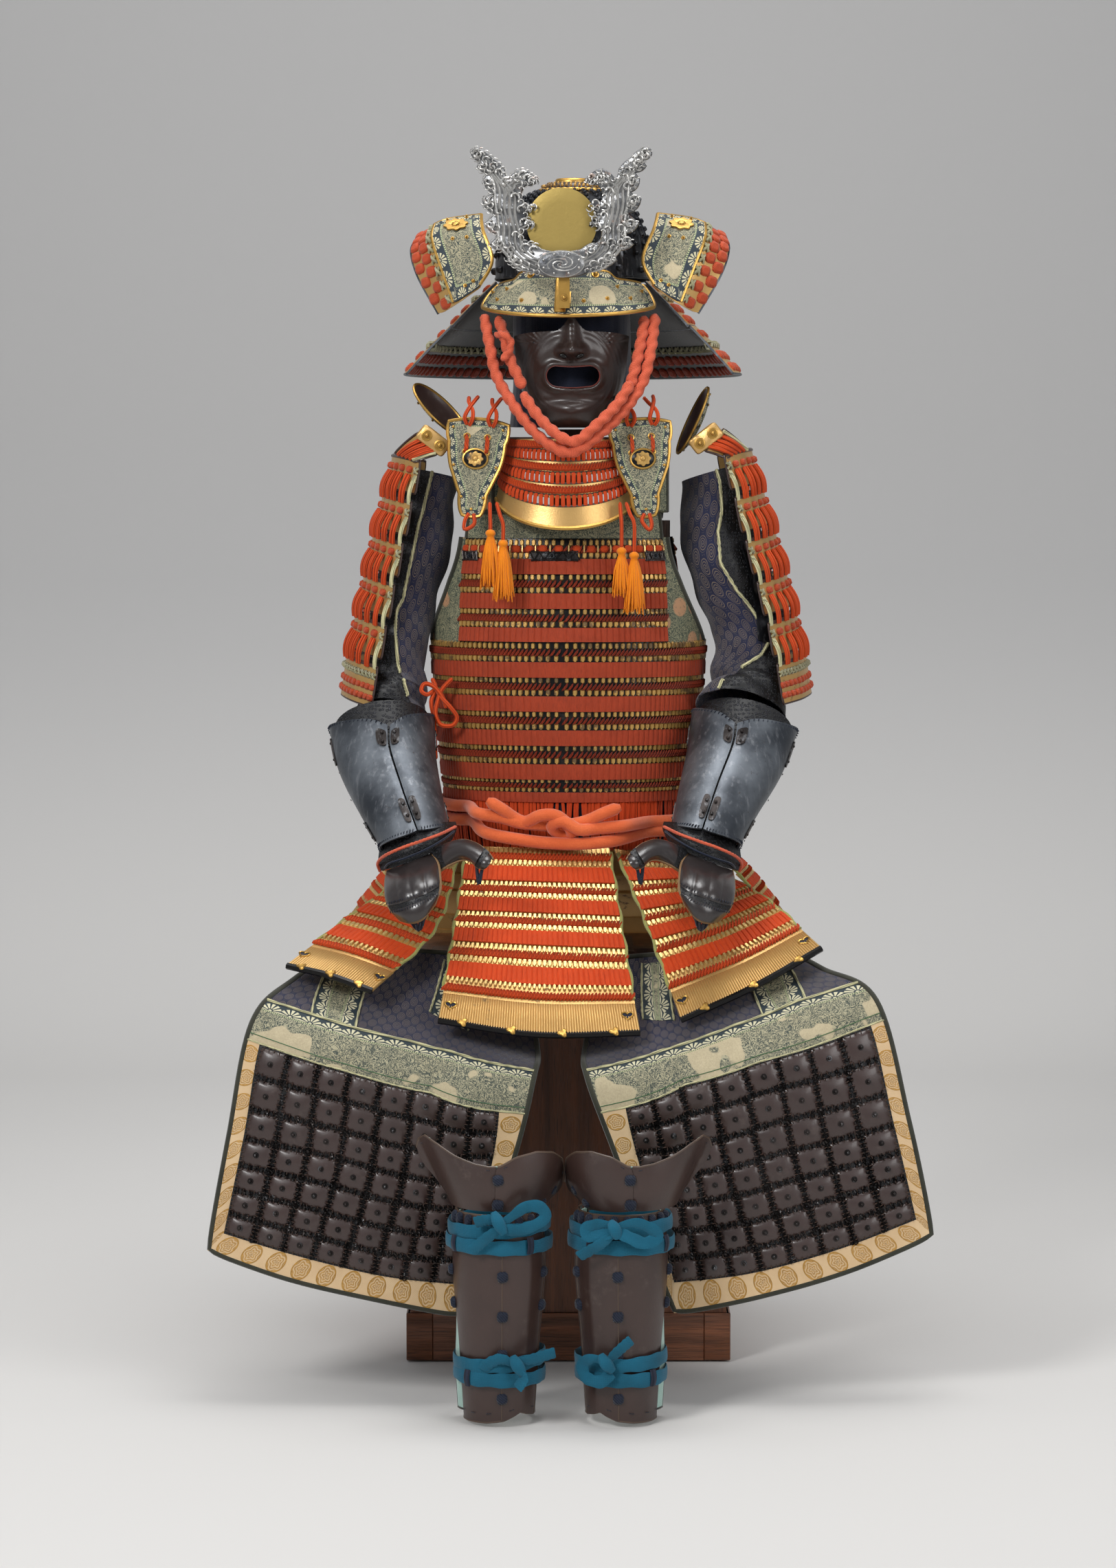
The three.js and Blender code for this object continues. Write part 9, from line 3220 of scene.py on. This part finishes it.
    def plates(self) -> list[bpy.types.Object]:
        """Rows of domed plates with studs, stitches and the rings between them.

        Returns:
            The pieces.
        """
        s = self.base
        a, b = np.meshgrid(np.linspace(0, 1, 33), np.linspace(0, 1, 29))
        u, v = self.lattice(a, b)
        under = Part(f"thigh_mail_{self.name}").shell(s.at(u, v, 0.0014), s.at(u, v, 0.0002))
        tiles, studs, stitches, links = (Scatter(f"thigh_{what}_{self.name}", shape) for what, shape in (
            ("plates", Shape.TILE), ("studs", Shape.STUD), ("stitches", Shape.STITCH), ("rings", Shape.LINK)))
        rng = np.random.default_rng(70)
        point = lambda a, b: s.at(*self.lattice(np.array([a]), np.array([b])))[0]
        for row in range(7):
            for col in range(8):
                a, b = (col + 0.5) / 8, (row + 0.5) / 7
                u, v = self.lattice(np.array([a]), np.array([b]))
                p, _, _, n = s.frame(u, v)
                x = point(a + 0.5 / 8, b) - point(a - 0.5 / 8, b)
                y = point(a, b - 0.5 / 7) - point(a, b + 0.5 / 7)
                w, h = np.linalg.norm(x) - 0.0062, np.linalg.norm(y) - 0.0062
                x = unit(x - n[0] * n[0].dot(x)) * (1 if np.cross(x, y).dot(n[0]) > 0 else -1)
                y = np.cross(n[0], x)
                turn = rng.normal(0, 1.2)
                axes = (x[None], y[None], n)
                tiles.put(p + n * 0.0022, *axes, (w, h, 0.021), spin=turn)
                studs.put(p + n * (0.0022 + 0.0043), *axes, (0.0082, 0.0082, 0.0066), spin=turn)
                for k in range(4):
                    c, d = ((x, y), (y, -x), (-x, -y), (-y, x))[k]
                    half, span = ((h, w), (w, h))[k % 2]
                    t = (np.arange(5) - 2) / 5 * span
                    where = p + d * (half / 2 - 0.0003) + c * t[:, None] + n * 0.0036
                    stitches.put(where, np.repeat(d[None], 5, 0), np.repeat(np.cross(n[0], d)[None], 5, 0),
                                 np.repeat(n, 5, 0), (0.0046, 0.0026, 0.0034), spin=rng.normal(0, 9, 5))
        for lines, across in ((8, False), (7, True)):
            for k in range(1, lines):
                t = (np.arange(34) + 0.5) / 34
                fixed = np.full(34, k / lines)
                a, b = (t, fixed) if across else (fixed, t)
                for shift in (-0.0021, 0.0021):
                    u, v = self.lattice(a, b)
                    p, x, y, n = s.frame(u, v)
                    side = y if across else x
                    along = rng.normal(0, 0.0007, (34, 1))
                    links.put(p + side * shift + n * 0.0030 + (x if across else y) * along, x, y,
                              unit(n + side * rng.normal(0, 0.5, (34, 1))), (0.0066, 0.0066, 0.0060),
                              spin=rng.random(34) * 60)
        return [under.build(MAIL, "thigh_cloth"), tiles.build(PLATE_LACQUER, "brown_lacquer", 0.015, 61),
                studs.build(DARK_IRON, "brown_lacquer", 0.03, 62),
                stitches.build(STITCH_BROWN, "brown_lacquer", 0.08, 63),
                links.build(DARK_IRON, "brown_lacquer", 0.12, 64)]


@dataclass
class ThighGuards:
    """Both thigh guards."""

    def build(self) -> None:
        """Makes them."""
        ThighGuard("left", THIGH_LEFT, (-190, -200, 250),
                   ((0, 0.36, 0.52, 0.68, 0.985, 1), (0.408, 0.408, 0.392, 0.392, 0.467, 0.470)),
                   ((0, 0.25, 0.43, 0.63, 0.98, 1), (0.546, 0.554, 0.554, 0.550, 0.633, 0.637)), False,
                   (((0.02, 0.04), (0.175, 0.404), (0.235, 0.04), (0.34, 0.392)),
                    ((0.585, 0.03), (0.56, 0.21), (0.72, 0.03), (0.72, 0.24)))).build()
        ThighGuard("right", THIGH_RIGHT, (190, -200, 250),
                   ((0, 0.01, 0.29, 0.56, 0.795, 1), (0.470, 0.467, 0.396, 0.367, 0.367, 0.417)),
                   ((0, 0.34, 0.585, 0.83, 0.985, 1), (0.637, 0.533, 0.525, 0.542, 0.550, 0.552)), True,
                   (((0.755, 0.04), (0.665, 0.354), (0.975, 0.04), (0.825, 0.379)),
                    ((0.215, 0.03), (0.235, 0.20), (0.36, 0.03), (0.36, 0.24)))).build()


# ---------------------------------------------------------------- legs
# y of the middle of both legs, in millimetres
LEG_Y = -550
# height, half width and half depth of the shin guard from its top down, in millimetres
SHIN = np.array([(274, 56, 58), (200, 60, 60), (100, 52, 54), (0, 46, 50)], float)


def shin_share(z: float) -> Array:
    """How far down the shin guard a height lies, from 0 to 1."""
    return np.array([np.interp(-z, -SHIN[:, 0], (0, 1 / 3, 2 / 3, 1))])


def knee_swell(v: Array, across: Array) -> Array:
    """How far the knee plate bulges in metres, from its v and the share from 0 to 1 across it."""
    return 0.0100 * np.sin(math.pi * np.clip(v * 0.86 + 0.12, 0, 1)) ** 0.8 * across**0.8


@dataclass
class Leg:
    """Knee plate, shin guard, linings and teal ties of one leg.

    Attributes:
        name: Side.
        side: -1 for the viewer's left, 1 for the right; its outer side.
        knee: x of the knee's middle in millimetres.
        shin: x of the shin's middle.
        reach: Angle that the shin guard reaches to each side, in degrees.
    """

    name: str
    side: int
    knee: float
    shin: float
    reach: float = 112.0

    def knee_shape(self, u: Array, v: Array) -> Array:
        """Points of the knee plate for arrays of u and v."""
        a = np.radians(-96 + 192 * u)
        s = self.side * (2 * u - 1)
        low = 280 + 3 * s
        top = np.interp(s, (-1, -0.93, -0.8, -0.6, -0.4, -0.2, -0.06, 0.06, 0.2, 0.4, 0.6, 0.8, 0.92, 0.98, 1),
                        (302, 322, 342, 354, 357, 351, 341, 339, 342, 351, 363, 372, 366, 354, 342))
        flare = np.where(s > 0, 1 + 0.32 * (1 - v) ** 2 + 0.5 * np.abs(s) ** 3 * (1 - v),
                         1 + (0.32 + 0.16 * np.abs(s)) * (1 - v) ** 1.1)
        return mm(np.stack([self.knee + 58 * flare * np.sin(a), LEG_Y - (60 + 6 * (1 - v)) * np.cos(a),
                            top + (low - top) * v], -1))

    def shin_point(self, t: Array, v: Array, out: Array | float = 0.0) -> Array:
        """Points of the shin guard for arrays of the angle towards the inner side in degrees, and of v."""
        z, a, b = (weights(4, v) @ SHIN).T
        angle = np.radians(-self.side * np.asarray(t))
        notch = np.interp(t, (-112, -20, 8, 26, 36, 50, 73, 112), (2, 5, 8, 14, 18, 14, 10, 10)) * v**9
        ridge = 2.6 * np.exp(-np.abs(np.asarray(t) - 40) / 9) * (1 - 0.4 * v)
        out = np.asarray(out) * 1000
        return mm(np.stack([self.shin + (a + ridge + out) * np.sin(angle), LEG_Y - (b + ridge + out) * np.cos(angle),
                            z + notch], -1))

    def build(self) -> None:
        """Makes the leg."""
        plates, edges = Part(f"leg_plates_{self.name}"), Part(f"leg_edges_{self.name}")
        stitches = Scatter(f"leg_stitches_{self.name}", Shape.STITCH)
        knots = Scatter(f"leg_knots_{self.name}", Shape.BLOB)
        knee = Surface(self.knee_shape, mm([self.knee, LEG_Y, 320]))
        inner = (0.5, 1.0) if self.side < 0 else (0.0, 0.5)
        outer = (0.0, 0.515) if self.side < 0 else (0.485, 1.0)
        for (u0, u1), lift in ((inner, 0.0018), (outer, 0.0)):
            t = np.linspace(0, 1, 30)
            u, v = softened(*np.meshgrid(t, np.linspace(0, 1, 16)), 0.05, 6)
            u = u0 + (u1 - u0) * u
            swell = knee_swell(v, np.sin(math.pi * np.clip(0.05 + 0.9 * t, 0, 1))[None])
            plates.shell(knee.at(u, v, swell + lift), knee.at(u, v, swell + lift - 0.0022))
            edges.tube(knee.at(u[0], v[0], swell[0] + lift - 0.0010), 0.0016, 6)
            x = np.linspace(0.1, 0.9, 5)
            for pair in (-0.008, 0.008):
                stitches.on(knee, u0 + (u1 - u0) * (x + pair), 0.075, 0.0026 + lift, (0.0032, 0.0022, 0.0026))
        t = np.linspace(-self.reach, self.reach, 64)
        v = np.linspace(0, 1, 30)
        tt, vv = np.meshgrid(t, v)
        grid = lambda tt, vv, out: self.shin_point(tt.ravel(), vv.ravel(),
                                                   np.broadcast_to(out, tt.shape).ravel()).reshape(*tt.shape, 3)
        step = np.where(tt > 4, 0.0010, 0.0) + np.where(tt > 71, -0.0010, 0.0)
        plates.shell(grid(tt, vv, step), grid(tt, vv, step - 0.0026))
        line = np.linspace(0.02, 0.995, 60)
        for angle, radius in ((4.5, 0.0009), (71, 0.0008)):
            edges.tube(self.shin_point(np.full(60, angle), line, 0.0006), radius, 5)
        edges.tube(self.shin_point(np.linspace(-self.reach, self.reach, 80), np.full(80, 1.0), -0.0010), 0.0016, 6)
        for angle in (-self.reach, self.reach):
            edges.tube(self.shin_point(np.full(60, angle), line, -0.0010), 0.0016, 6)
        edges.tube(self.shin_point(np.linspace(-self.reach, self.reach, 60), np.full(60, 0.0), -0.0010), 0.0016, 6)
        shin = Surface(lambda u, v: self.shin_point(self.reach * (2 * u - 1), v), mm([self.shin, LEG_Y, 140]))
        down = np.linspace(0, 1, 99)
        height = lambda z: float(np.interp(-z, -(weights(4, down) @ SHIN[:, 0]), down))
        share = lambda angle: (np.asarray(angle, float) + self.reach) / (2 * self.reach)
        size = (0.0150, 0.0150, 0.0072)
        for z in (196, 144, 94, 34):
            knots.on(shin, share([5.0]), height(z), 0.0012, size, spin=6 * math.sin(z))
        for z in (196, 153):
            knots.on(shin, share([68.0, -84.0]), height(z), 0.0012, size, spin=8 * math.cos(z))
        knots.on(shin, share(np.linspace(-76, 78, 10)), height(266), 0.0012, (0.0112, 0.0165, 0.0070), spin=0)
        where = (0.515, 0.515, 0.83, 0.93) if self.side < 0 else (0.485, 0.485, 0.17, 0.07)
        knots.on(knee, np.array(where), np.array([0.30, 0.84, 0.86, 0.55]), 0.0048, size,
                 spin=np.array([4, -8, 20, 12]))
        for x in (-96, -72, -44, -16, 20, 62):
            for pair in (-2.2, 2.2):
                stitches.on(shin, share([x + pair]), 0.955, 0.0012, (0.0032, 0.0022, 0.0026))
        plates.build(BROWN_LACQUER, "brown_lacquer", [f"shin_guard_{self.name}", f"knee_plate_{self.name}"])
        edges.build(LEG_EDGE, "brown_lacquer")
        stitches.build(NAVY_SILK, "brown_lacquer", 0.05, 71)
        knots.build(NAVY_SILK, "brown_lacquer", 0.05, 72)
        self.lining(knee)
        Tie(self).build()

    def lining(self, knee: Surface) -> None:
        """Aqua lining with its olive binding, and the tan leather edge on the inner side."""
        lining, binding = Part(f"leg_lining_{self.name}"), Part(f"leg_binding_{self.name}")
        leather = Part(f"leg_leather_{self.name}")
        tt, vv = np.meshgrid(np.linspace(-107, 124, 44), np.linspace(0.02, 0.965, 16))
        flare = 0.0115 * np.clip((-82 - tt) / 20, 0, 1) * np.clip((vv - 0.42) * 3, 0, 1)
        points = lambda out: self.shin_point(tt.ravel(), vv.ravel(), (out + flare).ravel()).reshape(*tt.shape, 3)
        lining.shell(points(-0.0032), points(-0.0048))
        for k in (0, -1):
            binding.tube(points(-0.0040)[:, k], 0.0026, 6)
        binding.tube(points(-0.0040)[-1], 0.0018, 6)
        u, v = np.meshgrid(np.linspace(0.01, 0.99, 40), np.linspace(0.03, 0.99, 10))
        swell = knee_swell(v, np.abs(np.sin(2 * math.pi * u)))
        lining.shell(knee.at(u, v, swell - 0.0030), knee.at(u, v, swell - 0.0046))
        line = np.linspace(0.42, 0.985, 40)
        leather.tube(self.shin_point(np.full(40, 112.0), line, 0.0004), 0.0042, 6, flat=0.5, lead=(0, 1, 0))
        lining.build(AQUA, "knee_cloth")
        binding.build(OLIVE, "knee_cloth")
        leather.build(TAN_LEATHER, "knee_cloth")


BOWS: dict[str, dict[str, list[Rows]]] = {
    "upper_left": {"knot": [(-96, -628, 283), (-90, -634, 272), (-82, -634, 256)],
                   "ends": [[(-86, -630, 268), (-72, -634, 279), (-54, -632, 291), (-37, -627, 289), (-30, -622, 276),
                             (-44, -626, 266), (-66, -630, 260), (-82, -631, 262)],
                            [(-88, -629, 272), (-104, -628, 273), (-120, -624, 269)],
                            [(-86, -632, 264), (-102, -629, 252), (-124, -621, 232)]]},
    "upper_right": {"knot": [(52, -628, 272), (57, -634, 264), (62, -633, 250)],
                    "ends": [[(60, -630, 264), (82, -631, 270), (104, -627, 262), (112, -622, 250), (96, -627, 243),
                              (78, -630, 250), (62, -631, 258)],
                             [(54, -630, 266), (38, -628, 268), (22, -623, 262), (24, -623, 252), (40, -628, 254),
                              (54, -631, 258)],
                             [(56, -632, 256), (36, -628, 240), (12, -618, 224)]]},
    "lower_left": {"knot": [(-72, -616, 96), (-67, -620, 86), (-58, -618, 72)],
                   "ends": [[(-64, -615, 88), (-46, -616, 92), (-18, -610, 99)],
                            [(-72, -616, 86), (-88, -617, 92), (-104, -612, 84), (-110, -608, 76)],
                            [(-62, -618, 76), (-58, -619, 67), (-66, -617, 54)]]},
    "lower_right": {"knot": [(40, -616, 98), (46, -621, 88), (56, -618, 76)],
                    "ends": [[(50, -617, 90), (62, -618, 102), (79, -613, 116)],
                             [(44, -617, 90), (28, -614, 92), (17, -606, 82), (22, -607, 66), (40, -614, 62),
                              (54, -616, 74)]]},
}


@dataclass
class Tie:
    """Teal cotton ties of one leg: two wraps at two heights, each with its own knot."""

    leg: Leg

    def build(self) -> None:
        """Makes both ties."""
        keepers = Part(f"tie_keepers_{self.leg.name}")
        for level, heights in (("upper", (255, 234)), ("lower", (81, 62))):
            part = Part(f"tie_{level}_{self.leg.name}")
            for k, z in enumerate(heights):
                a = np.linspace(0, 360, 90, endpoint=False)
                tt = (a + 180) % 360 - 180
                _, aa, bb = (weights(4, shin_share(z)) @ SHIN)[0]
                rise = 6.0 + 1.0 * k + 3.0 * np.exp(-((np.abs(tt) - 112) / 30) ** 2)
                tilt = (3.5 if k == 0 else -1.5) * np.sin(np.radians(tt)) * -self.leg.side
                line = mm(np.stack([self.leg.shin + (aa + rise) * np.sin(np.radians(-self.leg.side * tt)),
                                    LEG_Y - (bb + rise) * np.cos(np.radians(tt)), z + tilt], 1))
                crease = 1 + 0.07 * np.sin(a * 0.21 + k) + 0.05 * np.sin(a * 0.083)
                part.tube(line, 0.0092 * crease, 10, loop=True, flat=0.15, lead=(0, 0, 1))
            bow = BOWS[f"{level}_{self.leg.name}"]
            part.tube(curve(mm(bow["knot"]), 18), 0.0082 * np.sin(np.linspace(0.5, 2.6, 18)), 12, flat=0.5,
                      lead=(1, 0, 0))
            for rows in bow["ends"]:
                path = curve(mm(rows), 44)
                wide = np.interp(np.linspace(0, 1, 44), (0, 0.12, 0.3, 0.92, 1),
                                 (0.0045, 0.0062, 0.0078, 0.0082, 0.0070))
                part.tube(path, wide * (1 + 0.06 * np.sin(np.arange(44) * 0.8)), 10, flat=0.17, lead=(0.1, -0.35, 1))
            obj = part.build(TEAL, "teal_ties", [f"leg_tie_{level}_{self.leg.name}"])
            for angle in (-58, 36) if level == "upper" else (-44,):
                z = heights[1]
                up = np.linspace(-0.0105, 0.0105, 9)
                base = self.leg.shin_point(np.array([float(angle)]), shin_share(z), 0.0072)[0]
                way = unit(base - mm([self.leg.shin, LEG_Y, z]))
                line = base + np.stack([0 * up, 0 * up, up], 1) + way * (0.0030 * np.cos(up / 0.0105 * 1.4))[:, None]
                keepers.tube(line, 0.0050, 6, flat=0.25, lead=np.cross(way, (0, 0, 1)))
        keepers.build(NAVY_SILK, "teal_ties")


@dataclass
class Legs:
    """Both legs."""

    def build(self) -> None:
        """Makes them."""
        Leg("left", -1, -94, -90).build()
        Leg("right", 1, 81, 67).build()


# ---------------------------------------------------------------- box and stand
@dataclass
class BoxAndStand:
    """Oak armour box with its rails, and the plain wooden stand inside the armour."""

    wide: float = 0.440
    deep: float = 0.432
    rail: float = 0.066
    post: float = 0.034
    gap: float = 0.0006

    def build(self) -> None:
        """Dresses the box and adds rails and corner blocks."""
        dress(BOX_OAK, "box_body", "box_lid")
        dress(STAND_OAK, "stand")
        rails, blocks = Part("box_rails"), Part("box_corner_blocks")
        w, d = self.wide / 2 + self.gap, self.deep / 2 + self.gap
        for side in range(4):
            m = pose(0, 0, 90 * side)
            half, face = (w, d) if side % 2 == 0 else (d, w)
            inset = half - self.post - 0.0004
            board = np.array([(-inset, self.gap), (inset, self.gap), (inset, self.rail), (-inset, self.rail)])
            rails.bar(board, -face - 0.0016, -face + 0.003, 0.0012)
            rails.points[-1] = rails.points[-1] @ m.T
            for s in (-1, 1):
                x0, x1 = sorted((s * (half - self.post), s * (half + 0.0012)))
                block = np.array([(x0, self.gap), (x1, self.gap), (x1, self.rail), (x0, self.rail)])
                blocks.bar(block, -face - 0.0018, -face + 0.003, 0.0012)
                blocks.points[-1] = blocks.points[-1] @ m.T
        rails.build(RAIL_OAK, "box_wood")
        blocks.build(RAIL_OAK, "box_wood")


STEPS = (Studio(), CordWork(), Cuirass(), Skirts(), Helmet(), Crest(), Mask(), Throat(), LeafPlates(),
         ShoulderGuards(), Sleeves(), Forearms(), Hands(), ThighGuards(), Legs(), BoxAndStand())


def main() -> None:
    """Builds every sub-assembly in order."""
    logging.basicConfig(level=logging.INFO, format="%(name)s: %(message)s")
    for step in STEPS:
        LOG.info("building %s", type(step).__name__)
        step.build()
    bpy.context.view_layer.update()


if __name__ == "__main__":
    main()
